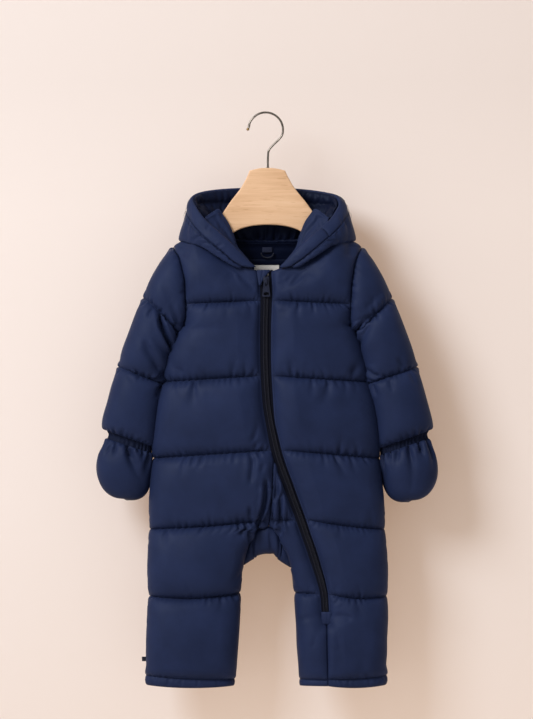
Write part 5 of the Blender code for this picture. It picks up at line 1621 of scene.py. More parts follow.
def mitten_piece(name, table, seed):
    turns = np.linspace(0, 2 * np.pi, 96, endpoint=False)
    lines = [tube_ring(row, turns) for row in table]
    places = along(lines)
    at = np.linspace(0, places[-1], int(places[-1] / 1.9) + 1)
    surface = loft(lines, places, at)
    normal = tube_normals(surface)
    tip = np.mean(tube_ring(table[-1], turns), axis=0) + (0, 0, -2.0)
    # the last rows run in to a point in the middle of the fold at the tip
    closing = []
    last, before = surface[-1], surface[-2]
    for k, t in enumerate((0.25, 0.5, 0.75)):
        ring = last + (tip - last) * t
        ring[:, 2] = last[:, 2] + (tip[2] - last[:, 2]) * math.sin(t * math.pi / 2)
        closing.append(ring)
    surface = np.concatenate([surface, np.array(closing)])
    normal = tube_normals(surface)
    normal[-4:] = normal[-4:] + (0, 0, -0.6)
    normal /= np.linalg.norm(normal, axis=2, keepdims=True)
    rows, cols = surface.shape[:2]
    far = np.concatenate([[0], np.cumsum(np.linalg.norm(np.diff(surface, axis=0), axis=2).mean(axis=1))])
    facing = np.abs(normal[..., 1])
    puff = 4.5 * ease(far / 26.0)[:, None] * (0.25 + 0.75 * facing)
    gathers = np.zeros((rows, cols))
    rng = np.random.default_rng(seed)
    for k in range(16):
        centre = (k + rng.uniform(-0.42, 0.42)) * 2 * np.pi / 16
        long = k % 3 == 1
        reach = rng.uniform(26, 40) if long else rng.uniform(9, 20)
        deep = rng.uniform(5.0, 7.2) if long else rng.uniform(2.2, 4.0)
        lean = rng.uniform(-0.016, 0.016)
        wide = rng.uniform(0.065, 0.105) if long else rng.uniform(0.05, 0.08)
        gap = np.angle(np.exp(1j * (turns[None, :] - centre - lean * far[:, None])))
        gathers -= deep * np.exp(-((gap / (wide * (1 + far[:, None] / 26))) ** 2)) * np.exp(-((far / reach) ** 2))[:, None]
        gathers += 0.45 * deep * np.exp(-(((np.abs(gap) - 2.1 * wide) / (1.2 * wide)) ** 2)) * np.exp(-((far / reach) ** 2))[:, None]
    start = ease(far / 3.0 + 0.25)[:, None]
    base = surface - normal * (puff * 0.15)[..., None]
    inner_side = ease(0.5 - np.cos(turns))[None, :]
    edge_on = (1 - facing) * (4.4 + 2.0 * (far / far[-1])[:, None] ** 3) * ease(far / 12.0)[:, None] * (1 - 0.75 * inner_side)
    edge_on = edge_on + 1.9 * (1 - facing) * np.exp(-(((far - 11) / 9.0) ** 2))[:, None] * (1 - inner_side)
    base = base - normal * edge_on[..., None]
    # the tip is round: its corners stand a little higher than its middle
    half = np.ptp(base[..., 0], axis=1).max() / 2
    off_middle = (base[..., 0] - base[..., 0].mean(axis=1, keepdims=True)) / half
    base[..., 2] += (3.2 * off_middle**2 - 1.0) * (np.minimum(far / far[-4], 1.0) ** 5)[:, None]
    target = base + normal * (puff + gathers * start)[..., None]
    pinned = np.zeros((rows, cols), bool)
    pinned[0] = True
    pinned[-1] = True
    more = 0.012 + 0.14 * np.exp(-far / 12.0)[:, None] * np.ones((1, cols))
    skin = settle(target, base, pinned, more, np.full((rows, cols), 0.012), 90, seed, wrap=True, low=-6.5, over=3.0)
    # the sharpest part of the gathers is drawn in after the cloth has settled
    skin = skin + normal * (0.42 * gathers * ease(far / 4.0)[:, None])[..., None]
    # the tip is drawn smooth and round
    for _ in range(24):
        last = skin[-9:].copy()
        mid = last[-1].mean(axis=0)
        beyond = 2 * mid - last[-2]
        beyond = np.roll(beyond, cols // 2, axis=0) if cols % 2 == 0 else beyond
        after = np.concatenate([last[2:], beyond[None]])
        around = (np.roll(last[1:], 1, axis=1) + np.roll(last[1:], -1, axis=1)) / 2
        pull = np.linspace(0.15, 1.0, 8)[:, None, None]
        skin[-8:] = last[1:] + pull * (0.25 * (last[:-1] + after) / 2 + 0.25 * around - 0.5 * last[1:])
    walls = np.interp(np.linspace(0, 1, rows), np.linspace(0, 1, len(MITTEN_WALLS)), MITTEN_WALLS)
    lining = surface - normal * walls[:, None, None]
    lining[-4:] = lining[-5] + (surface[-4:] - surface[-5]) * (0.8, 0.8, 0.3)
    tip = skin[-1].mean(axis=0)
    tip[2] = skin[-1, :, 2].min() - 0.1
    uv = np.stack([turns[None, :] * 0.03 + 0 * far[:, None], far[:, None] * 0.001 + 0 * turns[None, :]], axis=2).reshape(-1, 2)
    uv = np.concatenate([uv, uv, [[0, 0], [0, 0]]])
    obj = wall_mesh(name + "_cloth", skin, lining, NAVY_SHELL, wrap=True, cap=(tip + (0, 0, -0.1), tip + (0, 0, 3.5)), uv=uv)
    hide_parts(name)
    return skin, normal


NAVY_ELASTIC = nylon("nylon_elastic", (0.0068, 0.0105, 0.030), rough=0.62, sheen=0.0, spec=0.06)
cuff_piece("cuff_right", CUFF_RIGHT, 41)
cuff_piece("cuff_left", CUFF_LEFT, 42)
mitten_piece("mitten_right", MITTEN_RIGHT, 43)
mitten_piece("mitten_left", MITTEN_LEFT, 44)



# --------------------------------------------------------------------- hood


def loop_mesh(name, rings, finish, **options):
    """A closed tube from rings of points, its two ends closed by fans."""
    count, around = rings.shape[:2]
    index = np.arange(count * around).reshape(count, around)
    nxt = np.roll(index, -1, axis=1)
    quads = np.stack([index[:-1].ravel(), nxt[:-1].ravel(), nxt[1:].ravel(), index[1:].ravel()], axis=1)
    points = [rings.reshape(-1, 3), rings[0].mean(axis=0)[None], rings[-1].mean(axis=0)[None]]
    first, last = count * around, count * around + 1
    tris = np.concatenate([
        np.stack([nxt[0], index[0], np.full(around, first)], axis=1),
        np.stack([index[-1], nxt[-1], np.full(around, last)], axis=1),
    ])
    points = np.concatenate(points)
    total = 0.0
    for block in (quads, tris):
        p = points[block]
        for k in range(1, block.shape[1] - 1):
            total += np.einsum("ij,ij->i", p[:, 0], np.cross(p[:, k], p[:, k + 1])).sum()
    if total < 0:
        quads, tris = quads[:, ::-1], tris[:, ::-1]
    step = np.linalg.norm(np.diff(rings, axis=0), axis=2).mean(axis=1)
    v = np.concatenate([[0], np.cumsum(step)])
    u = np.concatenate([[0], np.cumsum(np.linalg.norm(np.diff(rings[count // 2], axis=0), axis=1))])
    uv = np.stack([u[None, :] + 0 * v[:, None], v[:, None] + 0 * u[None, :]], axis=2).reshape(-1, 2) * 0.001
    uv = np.concatenate([uv, [[0, 0], [0, 0]]])
    return add_mesh(name, points, [quads, tris], finish, uv=uv, **options)


HOOD_NAMES = (
    "z_neck", "back", "x_fold", "z_fold", "y_fold",
    "x_seam", "z_seam", "y_seam", "x_rim", "z_rim", "y_rim",
)  # fmt: skip


def hood_table(table):
    stations = range(len(table))
    return {
        n: smooth_curve(list(stations), [row[k] for row in table])
        for k, n in enumerate(HOOD_NAMES)
    }


HOOD = {1: hood_table(HOOD_LEFT), -1: hood_table(HOOD_RIGHT)}
HOOD_MIDDLE = np.array((0, -4.0, -170))


def on_shoulder(station):
    """1 where the hood lies on top of the shoulder, 0 well in front or behind."""
    return math.exp(-(((station - 6) / 1.3) ** 2))


def neck_point(hand, station, up, reach):
    """A point at the neck seam: up is its distance into the opening, reach its
    distance outwards from the body's outer skin."""
    z = float(HOOD[hand]["z_neck"](station))
    back = station > 6
    right = neck_back_right if back else neck_front_right
    left = neck_back_left if back else neck_front_left
    edge = left if hand > 0 else right
    x = float(edge(z))
    step = 1.0
    lower, higher = max(z - step, -218.9 if not back else -183.4), min(z + step, -158.6)
    run, rise = float(edge(higher) - edge(lower)), higher - lower
    e = np.array((-hand * rise, hand * run)) / max(math.hypot(run, rise), 1e-9)
    if e[1] < 0:
        e = -e
    x, z = x + e[0] * up, z + e[1] * up
    side = 1 if back else -1
    top = on_shoulder(station)
    depth = float(depth_at(x, max(min(z, -158.6), -219), side))
    y = side * float(ease(abs(station - 6) / 1.0)) * depth
    out = np.array((0.35 * hand * top, side * (1 - top), top))
    return np.array((x, y, z)) + out * reach / np.linalg.norm(out)


def hood_row(hand, station, what):
    row = HOOD[hand]
    return np.array([float(row[n + what](station)) for n in ("x_", "y_", "z_")])


def side_profile(hand, station):
    """Points of the side panel at one station, from the neck seam over the low
    fold up to the seam of the band."""
    top = on_shoulder(station)
    neck = neck_point(hand, station, 1.0, 1.0 + 1.2 * top)
    roll = neck_point(hand, station, -2.5, 1.3 + 1.2 * top)
    fold, seam = hood_row(hand, station, "fold"), hood_row(hand, station, "seam")
    along_it = seam - fold
    out = (fold + seam) / 2 - neck
    out -= along_it * (out @ along_it) / max(along_it @ along_it, 1e-9)
    out /= max(np.linalg.norm(out), 1e-9)
    bulge = min(np.linalg.norm(along_it) / 30, 1.0)
    return [
        neck,
        roll,
        roll + (fold - roll) * 0.6 + np.array((0, 0, 0.8 + 2.0 * top)),
        fold,
        fold + along_it * 0.3 + out * bulge,
        fold + along_it * 0.68 + out * bulge * 0.9,
        seam,
    ]


def band_profile(hand, station):
    """Points of the band at one station, from its seam to the rim."""
    seam, rim = hood_row(hand, station, "seam"), hood_row(hand, station, "rim")
    step = (rim - seam) / np.linalg.norm(rim - seam)
    seam = seam + step * 0.5
    away = (seam + rim) / 2 - HOOD_MIDDLE
    away -= step * (away @ step)
    away /= np.linalg.norm(away)
    return [seam + (rim - seam) * k / 4 + away * (0, 0.8, 1.2, 1.0, 0)[k] for k in range(5)]


def hood_at(profile, place):
    """A profile by its place round the neck: 0 and 20 are the right and left
    ends at the front, 10 is the centre back."""
    place = min(max(place, 0.0), 20.0)
    if place <= 10:
        return np.array(profile(-1, place))
    return np.array(profile(1, 20 - place))


def even_places(profile, first, last, step, point=-1):
    """Places round the neck at equal steps of length."""
    coarse = np.linspace(first, last, 70)
    line = np.array([hood_at(profile, p)[point] for p in coarse])
    far = np.concatenate([[0], np.cumsum(np.linalg.norm(np.diff(line, axis=0), axis=1))])
    count = max(int(far[-1] / step) + 1, 6)
    return np.interp(np.linspace(0, far[-1], count), far, coarse), far[-1]


def dense_profile(profile, places, count):
    """Grid of a hood surface: rows run along the profile, columns round the neck."""
    lines = np.array([hood_at(profile, p) for p in places]).transpose(1, 0, 2)
    knots = along(lines)
    return loft(lines, knots, np.linspace(0, knots[-1], count)), knots


def outward(grid, middle):
    """Normals that face away from a middle point."""
    normal = grid_normals(grid)
    if ((grid - middle) * normal).sum() < 0:
        normal = -normal
    return normal


def ends_share(length, count, width, power=0.55):
    """0 at both ends of a line of points, 1 well inside."""
    far = np.linspace(0, length, count)
    return np.minimum(np.minimum(far, length - far) / width, 1.0) ** power


SIDE_WALLS = (2.2, 2.2, 3.2, 3.6, 4.2, 4.2, 3.4)


def hood_side(name, first, last, seed, creases=()):
    places, length = even_places(side_profile, first, last, 2.3)
    surface, knots = dense_profile(side_profile, places, 36)
    rows, cols = surface.shape[:2]
    at = np.linspace(0, knots[-1], rows)
    normal = outward(surface, HOOD_MIDDLE)
    low = at <= knots[3]
    s = np.clip((at - knots[3]) / (knots[-1] - knots[3]), 0, 1)
    lift = np.where(low, 0.9 * np.sin(np.pi * at / knots[3] * 0.5), 0.9 * (1 - s) + 1.5 * (4 * s * (1 - s)) ** 0.55)
    ends = ends_share(length, cols, 12)
    lift = lift[:, None] * ends[None, :] * (1 + 0.25 * noise_grid(rows, cols, 8, 10, seed))
    lift *= np.clip(1 - s[:, None], 0, 1) ** 0.15 if name else 1
    u = np.linspace(0, length, cols)[None, :]
    d = (knots[-1] - at)[:, None]
    shift = np.zeros((rows, cols))
    for start, slant, reach, deep, wide in creases:
        gap = u - start * length - slant * d
        shift -= deep * (np.exp(-((gap / wide) ** 2)) - 0.4 * np.exp(-(((np.abs(gap) - 2.1 * wide) / wide) ** 2))) * np.exp(-((d / reach) ** 2))
    calm = np.clip(s[:, None] * 5, 0, 1) * np.clip((1 - s[:, None]) * 8, 0, 1)
    base = surface
    target = base + normal * (lift + shift * calm * ends[None, :])[..., None]
    pinned = np.zeros((rows, cols), bool)
    pinned[0] = pinned[-1] = True
    pinned[:, 0] = pinned[:, -1] = True
    uneven = np.clip(1 + 0.8 * noise_grid(rows, cols, 6, 4, seed + 1), 0.15, 2.2)
    more = 0.010 + 0.075 * np.exp(-d / 8.0) * uneven + 0.035 * np.exp(-((at - knots[3]) / 7.0) ** 2)[:, None] * uneven
    skin = settle(target, base, pinned, more, np.full((rows, cols), 0.012), 90, seed, low=-2.0, over=0.4, push=0.006)
    lining = surface - normal * np.interp(at, knots, SIDE_WALLS)[:, None, None]
    step = np.linalg.norm(np.diff(surface, axis=0), axis=2)
    v = np.concatenate([np.zeros((1, cols)), np.cumsum(step, axis=0)], axis=0)
    uv = np.stack([u + 0 * v, v], axis=2).reshape(-1, 2) * 0.001
    obj = wall_mesh(name + "_cloth", skin, lining, NAVY_SHELL, uv=np.concatenate([uv, uv]))
    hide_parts(name)
    SEAM_PATHS.append((skin[-3].copy(), normal[-3].copy()))
    return skin, normal


# share of the way round, slant, length, depth and width of each crease at the band's seam
CREASES_RIGHT = (
    (0.10, 0.9, 9, 1.5, 2.0), (0.16, 0.8, 12, 1.7, 2.2), (0.22, 0.7, 10, 1.2, 2.0), (0.29, 1.0, 16, 1.9, 2.4),
    (0.38, 0.9, 22, 2.3, 2.8), (0.45, 0.2, 18, 1.2, 3.4), (0.60, -0.2, 22, 1.1, 4.0), (0.8, 0.2, 24, 1.3, 4.5),
)  # fmt: skip
CREASES_LEFT = (
    (0.90, -0.9, 9, 1.6, 2.0), (0.84, -0.8, 12, 1.7, 2.2), (0.77, -0.9, 14, 1.6, 2.4), (0.70, -1.1, 18, 2.1, 2.6),
    (0.63, -0.8, 20, 1.8, 2.6), (0.56, -0.3, 16, 1.1, 3.2), (0.40, 0.2, 20, 1.1, 4.0), (0.22, -0.2, 26, 1.3, 4.5),
)  # fmt: skip
CREASES_BACK = ((0.22, 0.3, 26, 1.2, 4.0), (0.52, -0.1, 30, 1.4, 4.5), (0.78, -0.3, 24, 1.1, 4.0))
hood_side("hood_side_right", 0, 7.985, 51, CREASES_RIGHT)
hood_side("hood_side_left", 12.015, 20, 52, CREASES_LEFT)
hood_side("hood_centre", 8.015, 11.985, 53, CREASES_BACK)

JOIN = 3.55  # place of the seam across the band's left part


def hood_band(name, first, last, seed, folds=()):
    """The band: outer face, a rounded rim and the inner face, as one loop of cloth."""
    places, length = even_places(band_profile, first, last, 2.2)
    outer, knots = dense_profile(band_profile, places, 13)
    normal = outward(outer, HOOD_MIDDLE)
    radius = 2.2
    rim, edge_n = outer[-1], normal[-1]
    step = outer[-1] - outer[-2]
    step /= np.linalg.norm(step, axis=1, keepdims=True)
    rim = rim - step * radius * 1.1
    outer = outer - (step * radius * 1.1)[None] * np.linspace(0, 1, 13)[:, None, None]
    roll = [rim - edge_n * radius * (1 - math.cos(t)) + step * radius * math.sin(t) for t in np.linspace(0, np.pi, 9)[1:]]
    inner_end = outer[0] - normal[0] * 3.2
    inner = [roll[-1] + (inner_end - roll[-1]) * t for t in np.linspace(0, 1, 9)[1:]]
    base = np.concatenate([outer, np.array(roll), np.array(inner)])
    rows, cols = base.shape[:2]
    around = grid_normals(base)
    if (around[:13] * normal).sum() < 0:
        around = -around
    t = np.zeros(rows)
    t[:13] = np.sin(np.pi * np.linspace(0, 1, 13) ** 0.8)
    t[12:21] = np.maximum(t[12:21], 0.12)
    lift = 1.0 * t[:, None] * ends_share(length, cols, 7)[None, :] * (1 + 0.3 * noise_grid(rows, cols, 7, 9, seed))
    u = np.linspace(0, length, cols)[None, :]
    v = np.linspace(0, 1, 13)[:, None]
    shift = np.zeros((rows, cols))
    for start, slant, foot, top, deep, wide in folds:
        gap = u - start * length - slant * (v - 0.5) * 16
        here = -deep * (np.exp(-((gap / wide) ** 2)) - 0.35 * np.exp(-(((np.abs(gap) - 2.1 * wide) / wide) ** 2)))
        shift[:13] += here * ease((v - foot) / 0.12 + 0.5) * ease((top - v) / 0.12 + 0.5)
    target = base + around * (lift + shift * (t[:, None] > 0.15))[..., None]
    pinned = np.zeros((rows, cols), bool)
    pinned[0] = pinned[-1] = True
    pinned[:, 0] = pinned[:, -1] = True
    more = np.full((rows, cols), 0.010)
    uneven = np.clip(1 + 0.8 * noise_line(cols, 3.5, seed + 1), 0.1, 2.2)
    more[:13] += 0.05 * np.exp(-np.linspace(0, knots[-1], 13)[:, None] / 4.0) * uneven[None, :]
    skin = settle(target, base, pinned, more, np.full((rows, cols), 0.006), 80, seed, low=-1.6, over=0.5, jitter=0.3, push=0.008)
    obj = loop_mesh(name + "_cloth", skin.transpose(1, 0, 2), NAVY_BAND)
    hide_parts(name)
    SEAM_PATHS.append((skin[1].copy(), around[1].copy()))
    return skin


NAVY_BAND = nylon("nylon_band", (0.0134, 0.0216, 0.0640))
hood_band("hood_band_right", 0, 9.985, 61, (
    (0.33, 0.3, 0.55, 1.0, 1.2, 2.2), (0.46, 0.4, 0.5, 1.0, 1.4, 2.0), (0.60, 0.2, 0.1, 0.7, 0.9, 3.0), (0.2, -0.3, 0.0, 0.5, 0.8, 2.2),
))
hood_band("hood_band_left", 10.015, 20 - JOIN - 0.014, 62, (
    (0.48, -0.3, 0.5, 1.0, 1.1, 2.4), (0.62, -0.2, 0.3, 1.0, 1.2, 2.4), (0.80, -0.2, 0.0, 0.6, 0.9, 2.6),
))
hood_band("hood_band_front", 20 - JOIN + 0.014, 20, 63, ((0.5, -0.3, 0.0, 0.45, 0.7, 2.4), (0.75, -0.2, 0.5, 1.0, 0.7, 2.4)))


# ------------------------------------------------------ lining and facings
def lining_profile(hand, station):
    """The lining from just inside the rim down to the inside of the neck seam."""
    band = band_profile(hand, station)
    rim, seam = band[-1], band[0]
    centre = np.array((0, 2.0, -165))
    inward = centre - rim
    inward[2] *= 0.25
    inward /= np.linalg.norm(inward)
    start = rim + inward * 4.3 + (seam - rim) * 0.05
    above = neck_point(hand, station, 4.8, 4.0)
    below = neck_point(hand, station, 4.8, -4.0)
    foot = below + (neck_point(hand, station, 0.8, -4.0) - below) * 1.15
    return [
        start,
        start + (above - start) * 0.35 - inward * 4.5,
        start + (above - start) * 0.7 - inward * 3.5,
        above,
        below,
        foot,
    ]


def lining_piece():
    places, length = even_places(lining_profile, 5.2, 14.8, 2.1, point=1)
    surface, knots = dense_profile(lining_profile, places, 40)
    rows, cols = surface.shape[:2]
    at = np.linspace(0, knots[-1], rows)
    normal = -outward(surface, np.array((0, 2.0, -165)))
    u = np.linspace(0, length, cols)[None, :]
    d = at[:, None]
    neck = knots[3]
    quilt = 15.0
    quilt_row = int(np.abs(at - quilt).argmin())
    above = (4 * np.clip(d / quilt, 0, 1) * (1 - np.clip(d / quilt, 0, 1))) ** 0.6
    t = np.clip((d - quilt) / (neck - quilt), 0, 1)
    under = (4 * t * (1 - t)) ** 0.6
    shift = 2.2 * above + 3.0 * under
    rng = np.random.default_rng(71)
    # short bright puckers between the rim and the quilting line
    at_u = 4.0
    while at_u < length - 3:
        wide = rng.uniform(1.6, 3.0)
        deep = rng.uniform(1.0, 2.4)
        slant = rng.uniform(-0.5, 0.5)
        gap = u - at_u - slant * (d - 4)
        shift = shift - deep * np.exp(-((gap / wide) ** 2)) * ease(1.15 - d / (quilt * rng.uniform(0.7, 1.1))) * ease(d / 3.0)
        at_u += rng.uniform(6.5, 12.5)
    # long soft pleats that gather into the neck seam
    at_u = 6.0
    while at_u < length - 5:
        wide = rng.uniform(2.6, 4.6)
        deep = rng.uniform(2.0, 4.6)
        slant = rng.uniform(-0.12, 0.12)
        reach = rng.uniform(16, 34)
        up = neck - d
        gap = u - at_u - slant * up
        spread = wide * (1 + np.clip(up, 0, 60) / 26)
        fade = np.exp(-(np.clip(up, 0, 90) / reach) ** 2) * ease(up / 5.0)
        shift = shift - deep * (np.exp(-((gap / spread) ** 2)) - 0.5 * np.exp(-(((np.abs(gap) - 2.0 * spread) / spread) ** 2))) * fade
        at_u += rng.uniform(10, 22)
    ends = ends_share(length, cols, 8)[None, :]
    target = surface + normal * (shift * ends * np.clip(d / 2.0, 0, 1))[..., None]
    pinned = np.zeros((rows, cols), bool)
    pinned[0] = pinned[-1] = True
    pinned[:, 0] = pinned[:, -1] = True
    for row in (quilt_row, int(np.abs(at - neck).argmin())):
        target[row] = surface[row]
        pinned[row] = True
    more = 0.015 + 0.10 * np.exp(-((d - quilt) / 8.0) ** 2) + 0.07 * np.exp(-((d - neck) / 9.0) ** 2)
    more = more * np.clip(1 + 0.7 * noise_grid(rows, cols, 6, 4, 72), 0.2, 2.2)
    skin = settle(target, surface, pinned, more, np.full((rows, cols), 0.02), 90, 73, low=-4.0, over=3.0, push=0.006)
    back = skin - normal * 1.1
    step = np.linalg.norm(np.diff(surface, axis=0), axis=2)
    v = np.concatenate([np.zeros((1, cols)), np.cumsum(step, axis=0)], axis=0)
    uv = np.stack([u + 0 * v, v], axis=2).reshape(-1, 2) * 0.001
    obj = wall_mesh("hood_lining_cloth", skin, back, LINING_NAVY_PAINTED_SHADE, uv=np.concatenate([uv, uv]))
    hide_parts("hood_lining")
    SHEETS["hood_lining_cloth"] = skin
    SEAM_PATHS.append((skin[quilt_row].copy(), normal[quilt_row].copy()))
    return skin


SHEETS = {}
# the lining's colour is set far darker than the shell's to stand in for the shade inside the hood and the neck:
# painted shade
LINING_NAVY_PAINTED_SHADE = nylon("satin_lining_painted_shade", (0.0047, 0.0074, 0.0235), rough=0.46, sheen=0.0, weave=3000, crinkle=0.00012, spec=0.10, tint=(0.55, 0.70, 1.0))
lining_piece()


def strip_mesh(name, surface, thick, finish, **options):
    """A thin piece of cloth with rounded edges, closed all round, from its middle surface."""
    normal = grid_normals(surface)
    rows, cols = surface.shape[:2]
    half = thick / 2
    side = surface[:, 1] - surface[:, 0]
    left_out = -side / np.maximum(np.linalg.norm(side, axis=1, keepdims=True), 1e-9)
    side = surface[:, -1] - surface[:, -2]
    right_out = side / np.maximum(np.linalg.norm(side, axis=1, keepdims=True), 1e-9)
    front = surface + normal * half
    back = (surface - normal * half)[:, ::-1]
    rings = np.concatenate([
        front,
        (surface[:, -1] + (normal[:, -1] * 0.7 + right_out * 0.7) * half)[:, None],
        (surface[:, -1] + right_out * half)[:, None],
        (surface[:, -1] + (-normal[:, -1] * 0.7 + right_out * 0.7) * half)[:, None],
        back,
        (surface[:, 0] + (-normal[:, 0] * 0.7 + left_out * 0.7) * half)[:, None],
        (surface[:, 0] + left_out * half)[:, None],
        (surface[:, 0] + (normal[:, 0] * 0.7 + left_out * 0.7) * half)[:, None],
    ], axis=1)
    down = surface[0] - surface[1]
    down = (down / np.linalg.norm(down, axis=1, keepdims=True)).mean(axis=0)
    middle = rings[0].mean(axis=0)
    cap_a = surface[0].mean(axis=0) + (rings[0] - surface[0].mean(axis=0)) * 0.985 + down * half * 0.7
    up = surface[-1] - surface[-2]
    up = (up / np.linalg.norm(up, axis=1, keepdims=True)).mean(axis=0)
    cap_b = surface[-1].mean(axis=0) + (rings[-1] - surface[-1].mean(axis=0)) * 0.985 + up * half * 0.7
    rings = np.concatenate([cap_a[None], rings, cap_b[None]])
    SHEETS[name] = surface
    return loop_mesh(name, rings, finish, **options)


def facing_piece(name, hand, seed):
    """The strip that stands up inside the band, beside the hanger's arm."""
    lines = []
    for row in FACING:
        foot = np.array((row[0], row[2], row[1]), float)
        edge = np.array((row[3], row[5], row[4]), float)
        line = []
        for t in (0, 0.35, 0.7, 1):
            p = foot + (edge - foot) * t
            p[1] -= 1.5 * math.sin(math.pi * t)
            line.append(p * (1 if hand < 0 else -1, 1, 1))
        lines.append(line)
    lines = np.array(lines)
    grid = loft(lines, along(lines), np.linspace(0, along(lines)[-1], 44))
    turned = grid.transpose(1, 0, 2)
    grid = loft(turned, along(turned), np.linspace(0, along(turned)[-1], 18)).transpose(1, 0, 2)
    normal = grid_normals(grid)
    if normal[20, 8, 1] > 0:
        normal = -normal
    v = np.linspace(0, 1, 44)[:, None]
    t = np.linspace(0, 1, 18)[None, :]
    wave = -2.2 * np.exp(-(((t - 0.46 - 0.10 * v) / 0.13) ** 2)) * ease((0.95 - v) / 0.3) * ease(v / 0.2)
    wave = wave + 1.0 * np.exp(-(((t - 0.72) / 0.14) ** 2)) * np.sin(np.pi * v)
    wave = wave - 1.1 * np.exp(-(((v - 0.55 - 0.22 * t) / 0.07) ** 2)) * t
    wave = wave + 0.5 * noise_grid(44, 18, 5, 3.5, seed)
    base = grid
    target = base + normal * wave[..., None]
    pinned = np.zeros(grid.shape[:2], bool)
    pinned[0] = pinned[-1] = True
    pinned[:, 0] = True
    pinned[:, -1] = True
    target[:, -1] += (normal[:, -1] * (0.7 * noise_line(44, 5, seed + 1))[:, None])
    skin = settle(target, base, pinned, np.full(grid.shape[:2], 0.012), np.full(grid.shape[:2], 0.02), 60, seed, low=-2.6, over=2.2, push=0.004, jitter=0.25)
    obj = strip_mesh(name + "_cloth", skin, 1.7, NAVY_BAND)
    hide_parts(name)
    return skin


facing_piece("neck_facing_right", -1, 81)
facing_piece("neck_facing_left", 1, 82)


def narrow_hood():
    """The hood lies a little flatter against the shoulders at its widest place."""
    for obj in list(bpy.data.objects):
        if not obj.name.startswith(("hood_side", "hood_band", "hood_centre")) or not obj.name.endswith("_cloth"):
            continue
        count = len(obj.data.vertices)
        co = np.empty(count * 3)
        obj.data.vertices.foreach_get("co", co)
        co = co.reshape(-1, 3)
        share = np.exp(-(((co[:, 2] + 0.148) / 0.018) ** 2)) * ease((np.abs(co[:, 0]) - 0.085) / 0.025)
        co[:, 0] -= np.sign(co[:, 0]) * 0.0024 * share
        obj.data.vertices.foreach_set("co", co.ravel())
        obj.data.update()


narrow_hood()


# --------------------------------------------------------------------- zip


def plain(name, colour, rough=0.5, metallic=0.0, spec=0.4, wear=0.0, size=120.0):
    """A plain finish with a little uneven gloss."""
    made = bpy.data.materials.new(name)
    made.use_nodes = True
    nodes, links = made.node_tree.nodes, made.node_tree.links
    shader = nodes["Principled BSDF"]
    noise = noise_node(nodes, links, size, 3.0, 0.55, seed=0.9)
    shade = ramp(nodes, links, noise.outputs["Fac"], [(0.3, tuple(c * 0.88 for c in colour)), (0.7, tuple(min(1, c * 1.12) for c in colour))])
    links.new(shade.outputs["Color"], shader.inputs["Base Color"])
    span = nodes.new("ShaderNodeMapRange")
    span.inputs["From Min"].default_value = 0.3
    span.inputs["From Max"].default_value = 0.7
    span.inputs["To Min"].default_value = max(rough - 0.05, 0.02)
    span.inputs["To Max"].default_value = rough + 0.07
    links.new(noise.outputs["Fac"], span.inputs["Value"])
    links.new(span.outputs["Result"], shader.inputs["Roughness"])
    shader.inputs["Metallic"].default_value = metallic
    shader.inputs["Specular IOR Level"].default_value = spec
    if wear:
        links.new(bump(nodes, links, noise.outputs["Fac"], 0.4, wear), shader.inputs["Normal"])
    return made


def twill(name, colour, rough=0.75, pitch=0.0011, depth=0.00012, spec=0.25):
    """Woven tape: fine slanting ribs on the cloth's own coordinates."""
    made = bpy.data.materials.new(name)
    made.use_nodes = True
    nodes, links = made.node_tree.nodes, made.node_tree.links
    shader = nodes["Principled BSDF"]
    uv = nodes.new("ShaderNodeTexCoord")
    split = nodes.new("ShaderNodeSeparateXYZ")
    links.new(uv.outputs["UV"], split.inputs["Vector"])
    add = nodes.new("ShaderNodeMath")
    add.operation = "ADD"
    links.new(split.outputs["X"], add.inputs[0])
    links.new(split.outputs["Y"], add.inputs[1])
    scale = nodes.new("ShaderNodeMath")
    scale.operation = "MULTIPLY"
    scale.inputs[1].default_value = 2 * math.pi / pitch
    links.new(add.outputs[0], scale.inputs[0])
    sine = nodes.new("ShaderNodeMath")
    sine.operation = "SINE"
    links.new(scale.outputs[0], sine.inputs[0])
    half = nodes.new("ShaderNodeMapRange")
    half.inputs["From Min"].default_value = -1.0
    half.inputs["From Max"].default_value = 1.0
    links.new(sine.outputs[0], half.inputs["Value"])
    shade = ramp(nodes, links, half.outputs["Result"], [(0.2, tuple(c * 0.72 for c in colour)), (0.8, tuple(min(c * 1.2, 0.95) for c in colour))])
    links.new(shade.outputs["Color"], shader.inputs["Base Color"])
    shader.inputs["Roughness"].default_value = rough
    shader.inputs["Specular IOR Level"].default_value = spec
    links.new(bump(nodes, links, half.outputs["Result"], 0.7, depth), shader.inputs["Normal"])
    return made


TAPE_BLACK = twill("zip_tape_weave", (0.0036, 0.0046, 0.0110), spec=0.08)
COIL_BLACK = plain("zip_coil_nylon", (0.0092, 0.0104, 0.0195), 0.45, spec=0.17)
LACQUER = plain("slider_lacquer", (0.0088, 0.0128, 0.0330), 0.36, 0.0, 0.26, size=300)


def on_front(x, z, off):
    """Points off the front's seam-level skin."""
    x, z = np.broadcast_arrays(np.asarray(x, float), np.asarray(z, float))
    return np.stack([x, -depth_at(x, z, -1) - off, z], axis=-1)


ZIP_TOP, ZIP_LOW = -220.5, -700.5


def zip_path(z, across_it, off):
    """Points beside the zip's path, measured square to it and in its own plane."""
    z = np.asarray(z, float)
    slope = (zip_x(z + 0.5) - zip_x(z - 0.5)) / 1.0
    size = np.sqrt(1 + slope**2)
    x = zip_x(z) + across_it / size
    zz = z - across_it * slope / size
    return on_front(x, zz, off)


